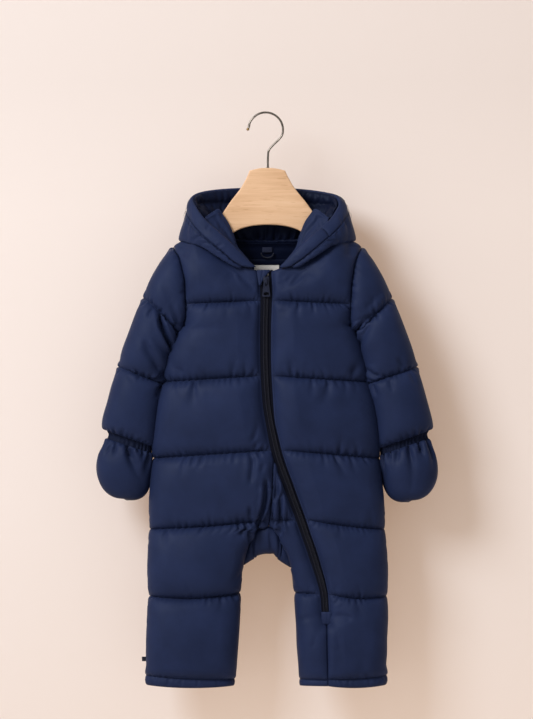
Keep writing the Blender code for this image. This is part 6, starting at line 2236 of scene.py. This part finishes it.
def tape_piece(name, inner, outer, level, seed):
    """One side of the tape, from the coil to under the panel's edge."""
    z = np.linspace(ZIP_TOP, ZIP_LOW, 240)
    t = np.linspace(0, 1, 7)
    grid = np.zeros((len(z), len(t), 3))
    wave = noise_line(len(z), 14, seed)
    for i, s in enumerate(t):
        far = inner + (outer(z) - inner) * s
        grid[:, i] = zip_path(z, far, level + 0.25 * wave * math.sin(math.pi * s) - 0.5 * s)
    obj = strip_mesh(name + "_cloth", grid, 0.9, TAPE_BLACK)
    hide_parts(name)
    return obj


tape_right = tape_piece("zip_tape_right", -3.3, lambda z: -zip_half(z) - 1.4, -0.4, 91)
tape_left = tape_piece("zip_tape_left", 4.1, lambda z: zip_half(z) + 1.4, -0.1, 92)


def blob(around, rings, half):
    """Points and faces of a small rounded body: around its long axis (x), in rings along it."""
    turn = np.linspace(0, 2 * np.pi, around, endpoint=False)
    at = np.linspace(-1, 1, rings + 2)[1:-1]
    points = []
    for s in at:
        r = (1 - abs(s) ** 3) ** 0.5
        points += [(s * half[0], r * half[1] * math.cos(a), r * half[2] * math.sin(a)) for a in turn]
    points += [(-half[0], 0, 0), (half[0], 0, 0)]
    index = np.arange(rings * around).reshape(rings, around)
    nxt = np.roll(index, -1, axis=1)
    quads = np.stack([index[:-1].ravel(), index[1:].ravel(), nxt[1:].ravel(), nxt[:-1].ravel()], axis=1)[:, ::-1]
    tris = np.concatenate([
        np.stack([index[0], nxt[0], np.full(around, rings * around)], axis=1)[:, ::-1],
        np.stack([nxt[-1], index[-1], np.full(around, rings * around + 1)], axis=1)[:, ::-1],
    ])
    return np.array(points), quads, tris


def scatter(template, places, axes):
    """Many copies of a small body as one mesh; axes holds three unit vectors for each."""
    points, quads, tris = template
    made = places[:, None, :] + np.einsum("pk,nkc->npc", points, axes)
    shift = (np.arange(len(places)) * len(points))[:, None, None]
    return made.reshape(-1, 3), (quads[None] + shift).reshape(-1, 4), (tris[None] + shift).reshape(-1, 3)


def frames_along(line, up):
    """Unit vectors along, across and up for every point of a line."""
    ahead = np.gradient(line, axis=0)
    ahead /= np.maximum(np.linalg.norm(ahead, axis=1, keepdims=True), 1e-9)
    up = up - ahead * np.einsum("ij,ij->i", up, ahead)[:, None]
    up /= np.maximum(np.linalg.norm(up, axis=1, keepdims=True), 1e-9)
    side = np.cross(up, ahead)
    return ahead, side, up


def face_out(points, faces):
    total = 0.0
    for block in faces:
        p = points[block]
        for k in range(1, block.shape[1] - 1):
            total += np.einsum("ij,ij->i", p[:, 0], np.cross(p[:, k], p[:, k + 1])).sum()
    return faces if total > 0 else [f[:, ::-1] for f in faces]


def coil_piece():
    """The coil: two rows of hooked teeth over a woven core, and the strip that carries them."""
    z = np.linspace(ZIP_TOP, ZIP_LOW, 1600)
    middle = zip_path(z, 0 * z - 0.6, 0.6)
    far = np.concatenate([[0], np.cumsum(np.linalg.norm(np.diff(middle, axis=0), axis=1))])
    pitch = 1.28
    count = int(far[-1] / pitch)
    parts_points, parts_quads, parts_tris, at = [], [], [], 0
    rng = np.random.default_rng(93)
    for row, (offset, lean, shift) in enumerate(((-2.75, 0.30, 0.0), (1.55, -0.30, 0.5))):
        s = (np.arange(count) + 0.5 + shift) * pitch
        zz = np.interp(s, far, z)
        place = zip_path(zz, offset + 0 * zz, 1.05)
        ahead, side, up = frames_along(place, np.tile((0.0, -1.0, 0.0), (len(zz), 1)))
        tilt = lean + rng.normal(0, 0.03, len(zz))
        long_way = side * np.cos(tilt)[:, None] + ahead * np.sin(tilt)[:, None]
        short = ahead * np.cos(tilt)[:, None] - side * np.sin(tilt)[:, None]
        axes = np.stack([long_way, short, up], axis=1)
        p, q, t = scatter(blob(6, 4, (1.45, 0.56, 0.75)), place, axes)
        parts_points.append(p)
        parts_quads.append(q + at)
        parts_tris.append(t + at)
        at += len(p)
    # the inner ends of the teeth, deeper between the two rows
    s = (np.arange(count * 2) + 0.5) * pitch / 2
    zz = np.interp(s, far, z)
    place = zip_path(zz, -0.6 + 0.28 * np.where(np.arange(len(zz)) % 2, 1, -1), 0.35)
    ahead, side, up = frames_along(place, np.tile((0.0, -1.0, 0.0), (len(zz), 1)))
    p, q, t = scatter(blob(5, 3, (0.8, 0.34, 0.5)), place, np.stack([side, ahead, up], axis=1))
    parts_points.append(p)
    parts_quads.append(q + at)
    parts_tris.append(t + at)
    at += len(p)
    # the carrying strip, and a rolled edge beside the groove
    strip = []
    for off, level in ((-4.2, -0.5), (-4.2, 0.15), (-2.0, 0.3), (0.8, 0.3), (3.0, 0.25), (3.2, -0.5)):
        strip.append(zip_path(z[::6], off + 0 * z[::6], level))
    rings = np.array(strip).transpose(1, 0, 2)
    n, around = rings.shape[:2]
    index = np.arange(n * around).reshape(n, around)
    nxt = np.roll(index, -1, axis=1)
    quads = np.stack([index[:-1].ravel(), nxt[:-1].ravel(), nxt[1:].ravel(), index[1:].ravel()], axis=1)
    centre = np.concatenate([rings[0].mean(axis=0)[None], rings[-1].mean(axis=0)[None]])
    tris = np.concatenate([
        np.stack([nxt[0], index[0], np.full(around, n * around)], axis=1),
        np.stack([index[-1], nxt[-1], np.full(around, n * around + 1)], axis=1),
    ])
    p = np.concatenate([rings.reshape(-1, 3), centre])
    quads, tris = face_out(p, [quads, tris])
    parts_points.append(p)
    parts_quads.append(quads + at)
    parts_tris.append(tris + at)
    points = np.concatenate(parts_points)
    obj = add_mesh("zip_chain_coil", points, [np.concatenate(parts_quads), np.concatenate(parts_tris)], COIL_BLACK)
    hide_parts("zip_chain")
    return obj


coil_piece()


def plate(name, outlines, half, round_edge, finish, turn=None, place=(0, 0, 0), body="suit", inset=True, resolution=3):
    """Flat outlines in millimetres, thickened both ways with rounded edges; the first
    is the rim and the others are holes. turn maps the outline's own axes."""
    curve = bpy.data.curves.new(name, "CURVE")
    curve.dimensions = "2D"
    curve.fill_mode = "BOTH"
    for outline in outlines:
        spline = curve.splines.new("POLY")
        spline.points.add(len(outline) - 1)
        for point, (a, b) in zip(spline.points, outline):
            point.co = (a, b, 0, 1)
        spline.use_cyclic_u = True
    curve.extrude = half - round_edge
    curve.bevel_depth = round_edge
    curve.bevel_resolution = resolution
    curve.offset = -round_edge if inset else 0
    holder = bpy.data.objects.new(name + "_outline", curve)
    bpy.context.scene.collection.objects.link(holder)
    bpy.context.view_layer.update()
    graph = bpy.context.evaluated_depsgraph_get()
    mesh = bpy.data.meshes.new_from_object(holder.evaluated_get(graph))
    bpy.data.objects.remove(holder, do_unlink=True)
    points = np.empty(len(mesh.vertices) * 3)
    mesh.vertices.foreach_get("co", points)
    points = points.reshape(-1, 3)
    axes = np.array(turn if turn is not None else ((1, 0, 0), (0, 0, 1), (0, -1, 0)), float)
    points = (points @ axes + np.array(place, float)) * 0.001
    mesh.vertices.foreach_set("co", points.ravel())
    if np.linalg.det(axes) < 0:
        mesh.flip_normals()
    import bmesh

    work = bmesh.new()
    work.from_mesh(mesh)
    bmesh.ops.remove_doubles(work, verts=work.verts[:], dist=2e-6)
    bmesh.ops.recalc_face_normals(work, faces=work.faces[:])
    work.to_mesh(mesh)
    work.free()
    mesh.materials.clear()
    mesh.materials.append(finish)
    mesh.shade_smooth()
    mesh.set_sharp_from_angle(angle=math.radians(42))
    mesh.name = name
    obj = bpy.data.objects.new(name, mesh)
    bpy.context.scene.collection.objects.link(obj)
    if body:
        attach(obj, body)
    MADE[name] = obj
    return obj


def join_meshes(name, objects, body="suit"):
    """One mesh object from several."""
    import bmesh

    work = bmesh.new()
    materials = []
    for obj in objects:
        first = len(work.faces)
        work.from_mesh(obj.data)
        work.faces.ensure_lookup_table()
        finish = obj.data.materials[0]
        if finish not in materials:
            materials.append(finish)
        for k in range(first, len(work.faces)):
            work.faces[k].material_index = materials.index(finish)
    mesh = bpy.data.meshes.new(name)
    work.to_mesh(mesh)
    work.free()
    for finish in materials:
        mesh.materials.append(finish)
    for obj in objects:
        MADE.pop(obj.name, None)
        bpy.data.objects.remove(obj, do_unlink=True)
    mesh.shade_smooth()
    mesh.set_sharp_from_angle(angle=math.radians(42))
    made = bpy.data.objects.new(name, mesh)
    bpy.context.scene.collection.objects.link(made)
    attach(made, body)
    MADE[name] = made
    return made


def rounded(corners, radius, cells=4):
    """An outline with its corners rounded."""
    corners = [np.array(c, float) for c in corners]
    made = []
    n = len(corners)
    for k in range(n):
        p, a, b = corners[k], corners[k - 1], corners[(k + 1) % n]
        ua, ub = (a - p), (b - p)
        r = min(radius if not hasattr(radius, "__len__") else radius[k], 0.49 * np.linalg.norm(ua), 0.49 * np.linalg.norm(ub))
        ua, ub = ua / np.linalg.norm(ua), ub / np.linalg.norm(ub)
        if r < 0.02:
            made.append(tuple(p))
            continue
        for t in np.linspace(0, 1, cells + 1):
            q = (1 - t) ** 2 * (p + ua * r) + 2 * t * (1 - t) * p + t * t * (p + ub * r)
            made.append(tuple(q))
    return made


PX, PY, PZ = PULL_PIVOT


def slider_piece():
    """The slider's body with its two wings, and the bridge that the pull hangs from."""
    front = PY + 1.4
    body = rounded([(-3.4, 6.6), (-1.2, 6.9), (0, 5.4), (1.2, 6.9), (3.4, 6.6), (4.5, 2.2), (3.6, -4.4), (2.6, -5.2), (-2.6, -5.2), (-3.6, -4.4), (-4.5, 2.2)], 1.0)
    low = plate("slider_low", [body], 1.25, 0.5, LACQUER, place=(PX, front + 1.3, PZ + 1.2))
    top = plate("slider_top", [rounded([(-2.3, 4.4), (2.3, 4.4), (2.9, 1.2), (2.4, -4.0), (-2.4, -4.0), (-2.9, 1.2)], 0.9)], 0.55, 0.3, LACQUER, place=(PX, front - 0.1, PZ + 1.2))
    arch = rounded([(-4.0, 0.6), (-4.1, -2.6), (-2.6, -4.4), (2.6, -4.4), (4.1, -2.6), (4.0, 0.6),
                    (2.6, 0.6), (2.7, -1.8), (1.9, -2.9), (-1.9, -2.9), (-2.7, -1.8), (-2.6, 0.6)], 0.7)  # fmt: skip
    # outline axes: first runs up (z), second runs out of the suit (y)
    bridge = plate("slider_bridge", [arch], 1.05, 0.35, LACQUER, turn=((0, 0, 1), (0, 1, 0), (1, 0, 0)), place=(PX, front, PZ + 0.3))
    obj = join_meshes("zip_slider_body", [low, top, bridge])
    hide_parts("zip_slider")


slider_piece()


def pull_piece():
    """The tab: an eye at the top, a raised rim and an oblong window at its foot."""
    z0, z1 = 0.8, -PULL_LENGTH
    outer = rounded([(-3.1, z0), (3.1, z0), (3.6, z0 - 2.2), (5.75, z1 + 1.2), (4.9, z1), (-4.9, z1), (-5.75, z1 + 1.2), (-3.6, z0 - 2.2)], (0.9, 0.9, 1.2, 1.4, 1.2, 1.2, 1.4, 1.2))
    eye = rounded([(-1.75, -0.8), (1.75, -0.8), (1.75, -4.9), (-1.75, -4.9)], 0.6)
    window = rounded([(-3.4, z1 + 6.2), (3.4, z1 + 6.2), (3.7, z1 + 2.1), (-3.7, z1 + 2.1)], 0.6)
    recess = rounded([(-2.6, -6.2), (2.6, -6.2), (3.7, z1 + 7.6), (-3.7, z1 + 7.6)], 0.6)
    rim = plate("pull_rim", [outer, eye, recess, window], 0.85, 0.28, LACQUER, place=PULL_PIVOT, body=None)
    sheet = plate("pull_plate", [rounded([(-3.0, -5.6), (3.0, -5.6), (4.2, z1 + 7.0), (-4.2, z1 + 7.0)], 0.4)], 0.42, 0.1, LACQUER, place=PULL_PIVOT, body=None)
    obj = join_meshes("zip_pull_tab", [rim, sheet], body="zip_pull_body")
    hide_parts("zip_pull")


pull_piece()


# ------------------------------------------- flap, tabs, labels and the loop
def front_patch(name, corners, rows, columns, off, thick, finish, waves):
    """A piece of cloth over the zip, between two lines of x by height."""
    zs = np.linspace(corners[0][0], corners[-1][0], rows)
    left = smooth_curve([c[0] for c in corners], [c[1] for c in corners])(zs)
    right = smooth_curve([c[0] for c in corners], [c[2] for c in corners])(zs)
    t = np.linspace(0, 1, columns)
    x = left[:, None] + (right - left)[:, None] * t
    z = zs[:, None] + 0 * x
    lift = waves(np.linspace(0, 1, rows)[:, None], t[None, :])
    grid = on_front(x, z, off + lift)
    return strip_mesh(name, grid, thick, finish)


flap = front_patch(
    "zip_top_flap_cloth",
    ((-220.0, -13.8, 4.2), (-224.6, -13.3, 0.4), (-231.0, -12.4, -4.6), (-240.5, -11.0, -9.4)),
    30, 18, 3.2, 1.5, NAVY_BAND,
    lambda v, t: 1.1 * np.sin(np.pi * t) ** 0.7 * (1 - 0.4 * v) - 0.9 * np.exp(-(((t - 0.45 - 0.25 * v) / 0.10) ** 2)) * (1 - v) - 0.6 * v,
)
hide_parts("zip_top_flap")

end_tab = front_patch(
    "zip_end_tab_cloth",
    ((-697.2, 76.4, 89.6), (-705, 76.6, 89.8), (-713.4, 77.4, 89.6)),
    22, 20, 3.4, 1.5, NAVY_BAND,
    lambda v, t: 1.3 * (4 * v * (1 - v)) ** 0.5 * (4 * t * (1 - t)) ** 0.5 - 0.35 * np.exp(-(((t - 0.62 + 0.1 * v) / 0.08) ** 2)) - 1.0 * v,
)
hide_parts("zip_end_tab")


def back_patch(name, x0, x1, z0, z1, off, thick, finish, rows, columns, waves, turned=0.0):
    """A piece on the inside of the back."""
    t = np.linspace(0, 1, columns)
    v = np.linspace(0, 1, rows)[:, None]
    x = x0 + (x1 - x0) * t + 0 * v
    z = z0 + (z1 - z0) * v + turned * (t - 0.5)
    inset = SEAM_WALL + INNER_PUFF * PUFF + off
    lift = waves(v, t[None, :])
    grid = np.stack([x, depth_at(x, z, 1) - inset - lift, z], axis=2)
    return strip_mesh(name, grid, thick, finish)


facing = back_patch(
    "back_neck_facing_cloth", -45, 45, -181.6, -213, 0.9, 1.2, LINING_NAVY_PAINTED_SHADE, 30, 66,
    lambda v, t: 0.5 * np.sin(9 * t + 3 * v) * np.sin(np.pi * v) + 0.8 * np.exp(-(((v - 0.84) / 0.12) ** 2))
    - 0.9 * np.exp(-(((v - 0.70) / 0.025) ** 2)) + 0.35 * noise_grid(30, 66, 4, 3, 95),
)
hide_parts("back_neck_facing")

CREAM = twill("cream_woven_label", (0.94, 0.89, 0.84), 0.85, 0.0009, 0.00005)
NAVY_LABEL = twill("navy_woven_label", (0.020, 0.026, 0.060), 0.7, 0.0007, 0.00008)
neck_label = back_patch(
    "neck_label_cloth", -6.2, 7.2, -187.3, -193.7, 2.9, 0.6, NAVY_LABEL, 8, 14,
    lambda v, t: 0.5 * np.sin(np.pi * t) + 0.15 * np.cos(3 * np.pi * t) * v,
)
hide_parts("neck_label")
size_label = back_patch(
    "size_label_cloth", -17.6, 16.8, -212.2, -226, 2.4, 0.7, CREAM, 20, 34,
    lambda v, t: 0.9 * np.sin(2.2 * np.pi * t + 0.4) * v + 0.4 * np.exp(-(((v - 0.30) / 0.05) ** 2)),
)
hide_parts("size_label")


def loop_piece():
    """A twisted cord sewn at both ends, sagging a little."""
    turns = np.linspace(-0.12, np.pi + 0.12, 60)
    x = 0.5 - 8.5 * np.cos(turns)
    z = -195.5 - 6.0 * np.sin(turns)
    y = depth_at(0 * x, z, 1) - SEAM_WALL - INNER_PUFF * PUFF - 4.4 - 0.8 * np.sin(turns)
    line = np.stack([x, y, z], axis=1)
    ahead, side, up = frames_along(line, np.tile((0.0, -1.0, 0.0), (60, 1)))
    around = np.linspace(0, 2 * np.pi, 16, endpoint=False)
    far = np.concatenate([[0], np.cumsum(np.linalg.norm(np.diff(line, axis=0), axis=1))])
    rings = []
    for k in range(60):
        radius = 0.95 + 0.16 * np.cos(2 * (around - far[k] * 1.3))
        if k in (0, 59):
            radius = radius * 0.6
        rings.append(line[k] + radius[:, None] * (np.cos(around)[:, None] * side[k] + np.sin(around)[:, None] * up[k]))
    obj = loop_mesh("hanging_loop_cord", np.array(rings), plain("cord_navy", (0.010, 0.013, 0.028), 0.75))
    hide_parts("hanging_loop")


loop_piece()


def side_tab_piece():
    """A short tape folded in two, both ends caught in the side seam."""
    t = np.linspace(0, 1, 34)
    fold = np.where(t < 0.5, t * 2, 2 - 2 * t)
    x = -168.0 - 6.9 * np.sin(fold * np.pi / 2)
    y = np.where(t < 0.5, -1, 1) * (0.55 * np.sqrt(np.clip(1 - fold**6, 0, 1)) + 0.0)
    grid = np.zeros((34, 8, 3))
    for i, s in enumerate(np.linspace(0, 1, 8)):
        grid[:, i] = np.stack([x + 0.3 * (s - 0.5), y, -760.6 - 5.8 * s + 0.02 * (x + 168)], axis=1)
    obj = strip_mesh("side_tab_cloth", grid, 0.45, twill("side_tab_weave", (0.010, 0.012, 0.026), 0.7, 0.0008, 0.0001))
    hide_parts("side_tab")


side_tab_piece()


# ------------------------------------------------------------------ hanger
def beech():
    """Pale beech under a matt varnish: long grain with short darker flecks."""
    made = bpy.data.materials.new("beech_wood")
    made.use_nodes = True
    nodes, links = made.node_tree.nodes, made.node_tree.links
    shader = nodes["Principled BSDF"]
    bend = noise_node(nodes, links, 9.0, 2.0, 0.5, stretch=(1, 1, 1.6), seed=4.1)
    grain = noise_node(nodes, links, 34.0, 5.0, 0.6, stretch=(0.35, 1, 6.5), seed=2.3)
    mix = nodes.new("ShaderNodeMix")
    mix.data_type = "FLOAT"
    mix.inputs[0].default_value = 0.35
    links.new(grain.outputs["Fac"], mix.inputs[2])
    links.new(bend.outputs["Fac"], mix.inputs[3])
    shade = ramp(nodes, links, mix.outputs[0], [(0.30, (0.655, 0.405, 0.230)), (0.52, (0.765, 0.50, 0.308)), (0.72, (0.825, 0.565, 0.370))])
    fleck = noise_node(nodes, links, 210.0, 2.0, 0.5, stretch=(0.22, 1, 2.0), seed=7.7)
    spots = ramp(nodes, links, fleck.outputs["Fac"], [(0.0, (1, 1, 1)), (0.62, (1, 1, 1)), (0.72, (0.80, 0.72, 0.64))])
    both = nodes.new("ShaderNodeMix")
    both.data_type = "RGBA"
    both.blend_type = "MULTIPLY"
    both.inputs[0].default_value = 0.7
    links.new(shade.outputs["Color"], both.inputs[6])
    links.new(spots.outputs["Color"], both.inputs[7])
    links.new(both.outputs[2], shader.inputs["Base Color"])
    shader.inputs["Roughness"].default_value = 0.48
    shader.inputs["Specular IOR Level"].default_value = 0.35
    links.new(bump(nodes, links, grain.outputs["Fac"], 0.25, 0.00015), shader.inputs["Normal"])
    return made


def smooth_outline(corners, keep, step=1.6):
    """A closed outline through table points by smooth curves, sharp at the kept ones."""
    corners = np.array(corners, float)
    n = len(corners)
    made = []
    for k in range(n):
        p0, p1, p2, p3 = corners[k - 1], corners[k], corners[(k + 1) % n], corners[(k + 2) % n]
        d = max(np.linalg.norm(p2 - p1), 1e-6)
        m1 = np.zeros(2) if k in keep else (p2 - p0) / max(np.linalg.norm(p2 - p0), 1e-6) * d
        m2 = np.zeros(2) if (k + 1) % n in keep else (p3 - p1) / max(np.linalg.norm(p3 - p1), 1e-6) * d
        if k in keep:
            m1 = (p2 - p1)
        if (k + 1) % n in keep:
            m2 = (p2 - p1)
        for t in np.arange(0, 1, min(1.0, step / d)):
            if 1 - t < 0.3 * step / d:
                continue
            made.append(tuple((2 * t**3 - 3 * t**2 + 1) * p1 + (t**3 - 2 * t**2 + t) * m1 + (3 * t**2 - 2 * t**3) * p2 + (t**3 - t**2) * m2))
    return made


def hanger_piece():
    half = [p for p in HANGER_OUTLINE[:-2]] + [(-36.5, -161.6), (-20.5, -157.4), (0, -155.9)]
    outline = half + [(-x, z) for x, z in half[::-1] if x != 0]
    corner = [k for k, p in enumerate(outline) if tuple(np.abs(p)) in ((24.5, 80), (61.5, 140.5), (62, 150), (65.5, 170), (48, 168))]
    route = smooth_outline(outline, corner)
    # the plate hangs a touch to the left of the middle
    route = [(x + t * (1.7 + 3.0 * x / 62.0), z) for x, z in route for t in (float(np.interp(-z, (80, 140), (0.3, 1.0))),)]
    wood = plate("hanger_wood_body", [route], HANGER_HALF, 2.0, beech(), resolution=4)
    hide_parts("hanger_wood")


hanger_piece()


def hook_piece():
    centre = (-1.8, -HOOK_RADIUS + HOOK_WIRE)
    route = [(-26.4, -21.2), (-24.6, -16.4)]
    for k in range(2, 25):
        turn = math.radians(185 - (185 + 12) * k / 24)
        route.append((centre[0] + HOOK_RADIUS * math.cos(turn), centre[1] + HOOK_RADIUS * math.sin(turn)))
    route += [(20.4, -31.6), (17.4, -35.4), (8.0, -44.8), (4.4, -48.9), (2.0, -53.2), (1.4, -59.5), (1.2, -67), (1.2, -75.9)]
    knots = np.concatenate([[0], np.cumsum(np.hypot(*np.diff(np.array(route), axis=0).T))])
    px, pz = smooth_curve(knots, [p[0] for p in route]), smooth_curve(knots, [p[1] for p in route])
    s = np.linspace(0, knots[-1], 150)
    line = np.stack([px(s), 0 * s, pz(s)], axis=1)
    around = np.linspace(0, 2 * np.pi, 20, endpoint=False)
    ahead, side, up = frames_along(line, np.tile((0.0, -1.0, 0.0), (len(s), 1)))
    ring = np.cos(around)[None, :, None] * side[:, None] + np.sin(around)[None, :, None] * up[:, None]
    steel = plain("dark_steel_wire", (0.21, 0.19, 0.17), 0.26, 1.0, 0.5, size=500)
    wire = loop_mesh("hook_wire", line[:, None] + ring * HOOK_WIRE, steel)
    # the rounded tip
    tip = []
    for a in np.linspace(0.12, np.pi - 0.12, 12):
        tip.append(line[0] + ahead[0] * (-2.1 * math.cos(a) - 0.9) + ring[0] * 2.1 * math.sin(a))
    ball = loop_mesh("hook_tip", np.array(tip), plain("hook_tip_brass", (0.30, 0.20, 0.09), 0.4, 0.8))
    # a small collar where the wire enters the wood
    collar = []
    for h, r in ((-1.2, 1.6), (-0.9, 2.3), (0.5, 2.4), (1.0, 2.0), (1.1, 1.55)):
        collar.append(np.array((1.2, 0, -76.4 + h)) + np.stack([np.cos(around) * r, np.sin(around) * r, 0 * around], axis=1))
    neck = loop_mesh("hook_collar", np.array(collar), steel)
    obj = join_meshes("hanger_hook_wire", [wire, ball, neck])
    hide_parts("hanger_hook")


hook_piece()


# ---------------------------------------------------------------- stitches
# real stitches, but their thread is coloured well darker than the cloth so that they also draw the shade in the seam
# grooves: partly painted shade
THREAD_WITH_SEAM_SHADE = plain("sewing_thread_seam_shade", (0.0045, 0.0068, 0.019), 0.6, spec=0.1)


def stitch_rows(name, paths, pitch, length, radius, sink, seed):
    """Every stitch of the quilting and topstitching, as short lengths of thread."""
    rng = np.random.default_rng(seed)
    places, axes = [], []
    for line, up in paths:
        line, up = np.asarray(line, float), np.asarray(up, float)
        far = np.concatenate([[0], np.cumsum(np.linalg.norm(np.diff(line, axis=0), axis=1))])
        if far[-1] < 3 * pitch:
            continue
        s = (np.arange(int(far[-1] / pitch)) + 0.5) * pitch
        s = s + rng.normal(0, 0.06, len(s))
        spot = np.stack([np.interp(s, far, line[:, k]) for k in range(3)], axis=1)
        face = np.stack([np.interp(s, far, up[:, k]) for k in range(3)], axis=1)
        face /= np.maximum(np.linalg.norm(face, axis=1, keepdims=True), 1e-9)
        ahead, side, face = frames_along(spot, face)
        places.append(spot + face * sink)
        axes.append(np.stack([ahead, side, face], axis=1))
    p, q, t = scatter(blob(5, 3, (length / 2, radius, radius)), np.concatenate(places), np.concatenate(axes))
    obj = add_mesh(name, p, [q, t], THREAD_WITH_SEAM_SHADE)
    return obj


stitch_rows("quilting_stitches", SEAM_PATHS, 2.7, 2.1, 0.30, 0.12, 301)

# --------------------------------------------------- camera, light and stage


def stage_plane(name, corners, finish):
    mesh = bpy.data.meshes.new(name)
    mesh.from_pydata(corners, [], [(0, 1, 2, 3)])
    mesh.materials.append(finish)
    obj = bpy.data.objects.new(name, mesh)
    bpy.context.scene.collection.objects.link(obj)
    return obj


def area_light(name, place, aim, size, power, colour):
    data = bpy.data.lights.new(name, "AREA")
    data.shape = "RECTANGLE"
    data.size, data.size_y = size
    data.energy = power
    data.color = colour
    lamp = bpy.data.objects.new(name, data)
    lamp.location = place
    to = np.array(aim, float) - np.array(place, float)
    from mathutils import Vector

    lamp.rotation_euler = Vector(to).to_track_quat("-Z", "Y").to_euler()
    bpy.context.scene.collection.objects.link(lamp)
    return lamp


def plaster(name, colour, one_sided=False, glow=None, top=None):
    made = bpy.data.materials.new(name)
    made.use_nodes = True
    nodes, links = made.node_tree.nodes, made.node_tree.links
    shader = nodes["Principled BSDF"]
    shader.inputs["Base Color"].default_value = (*colour, 1)
    shader.inputs["Roughness"].default_value = 0.95
    shader.inputs["Specular IOR Level"].default_value = 0.1
    if glow is not None:
        # light that comes back off the rest of a pale room
        shader.inputs["Emission Color"].default_value = (*glow, 1)
        shader.inputs["Emission Strength"].default_value = 1.0
    if top is not None:
        # the wall falls into shade towards the top
        place = nodes.new("ShaderNodeTexCoord")
        split = nodes.new("ShaderNodeSeparateXYZ")
        links.new(place.outputs["Object"], split.inputs["Vector"])
        span = nodes.new("ShaderNodeMapRange")
        span.inputs["From Min"].default_value = -0.85
        span.inputs["From Max"].default_value = 0.05
        links.new(split.outputs["Z"], span.inputs["Value"])
        # towards the floor more of the light comes back from all sides
        below = {"Base Color": (0.54, 0.61, 0.66), "Emission Color": (1.98, 2.40, 3.60)}
        for socket, low in (("Base Color", colour), ("Emission Color", glow)):
            foot = tuple(a * b for a, b in zip(low, below[socket]))
            shade = ramp(nodes, links, span.outputs["Result"], [
                (0.0, foot), (0.12, tuple(0.55 * a + 0.45 * b for a, b in zip(foot, low))), (0.34, low),
                (0.79, low), (0.90, tuple(b * (1 + a) / 2 for a, b in zip(top, low))), (1.0, tuple(a * b for a, b in zip(low, top)))])
            links.new(shade.outputs["Color"], shader.inputs[socket])
    if one_sided:
        # the wall stands just behind the suit: from behind it lets the eye and the lamps through
        clear = nodes.new("ShaderNodeBsdfTransparent")
        mix = nodes.new("ShaderNodeMixShader")
        facing = nodes.new("ShaderNodeNewGeometry")
        path = nodes.new("ShaderNodeLightPath")
        either = nodes.new("ShaderNodeMath")
        either.operation = "MAXIMUM"
        links.new(facing.outputs["Backfacing"], either.inputs[0])
        links.new(path.outputs["Is Shadow Ray"], either.inputs[1])
        links.new(either.outputs[0], mix.inputs["Fac"])
        links.new(shader.outputs["BSDF"], mix.inputs[1])
        links.new(clear.outputs[0], mix.inputs[2])
        links.new(mix.outputs[0], nodes["Material Output"].inputs["Surface"])
    return made


WALL_Y = 0.080
wall = stage_plane(
    "backdrop",
    [(2.2, WALL_Y, -1.02), (2.2, WALL_Y, 1.3), (-2.2, WALL_Y, 1.3), (-2.2, WALL_Y, -1.02)][::-1],
    plaster("backdrop", (0.612, 0.636, 0.682), one_sided=True, glow=(0.28, 0.155, 0.07), top=(0.944, 0.941, 0.939)),
)
if wall.data.polygons[0].normal.y > 0:
    wall.data.flip_normals()
stage_plane("floor", [(-6, -6, -1.02), (6, -6, -1.02), (6, 6, -1.02), (-6, 6, -1.02)], plaster("floor", (0.60, 0.56, 0.53)))

world = bpy.data.worlds.new("studio")
world.use_nodes = True
world.node_tree.nodes["Background"].inputs["Color"].default_value = (0.90, 0.87, 0.84, 1)
world.node_tree.nodes["Background"].inputs["Strength"].default_value = 0.46
bpy.context.scene.world = world
area_light("key", (-2.40, -2.82, 1.80), (0, 0, -0.42), (1.75, 1.75), 151, (1.0, 0.975, 0.95))
area_light("fill", (1.8, -3.2, -0.1), (0, 0, -0.45), (2.6, 2.6), 0.5, (0.95, 0.97, 1.0))
area_light("behind", (-0.6, 3.4, 0.9), (0, 0, -0.4), (2.6, 2.6), 75, (1.0, 0.98, 0.96))

DISTANCE = 8.0
camera = bpy.data.objects.new("camera", bpy.data.cameras.new("camera"))
bpy.context.scene.collection.objects.link(camera)
camera.location = (-0.0007, -DISTANCE, -0.3444)
camera.rotation_euler = (math.pi / 2, 0, 0)
camera.data.sensor_width = 36
camera.data.lens = 36 * DISTANCE / 1.0066
camera.data.clip_start, camera.data.clip_end = 0.05, 100
bpy.context.scene.camera = camera
bpy.context.scene.view_settings.view_transform = "Standard"
bpy.context.scene.view_settings.look = "None"
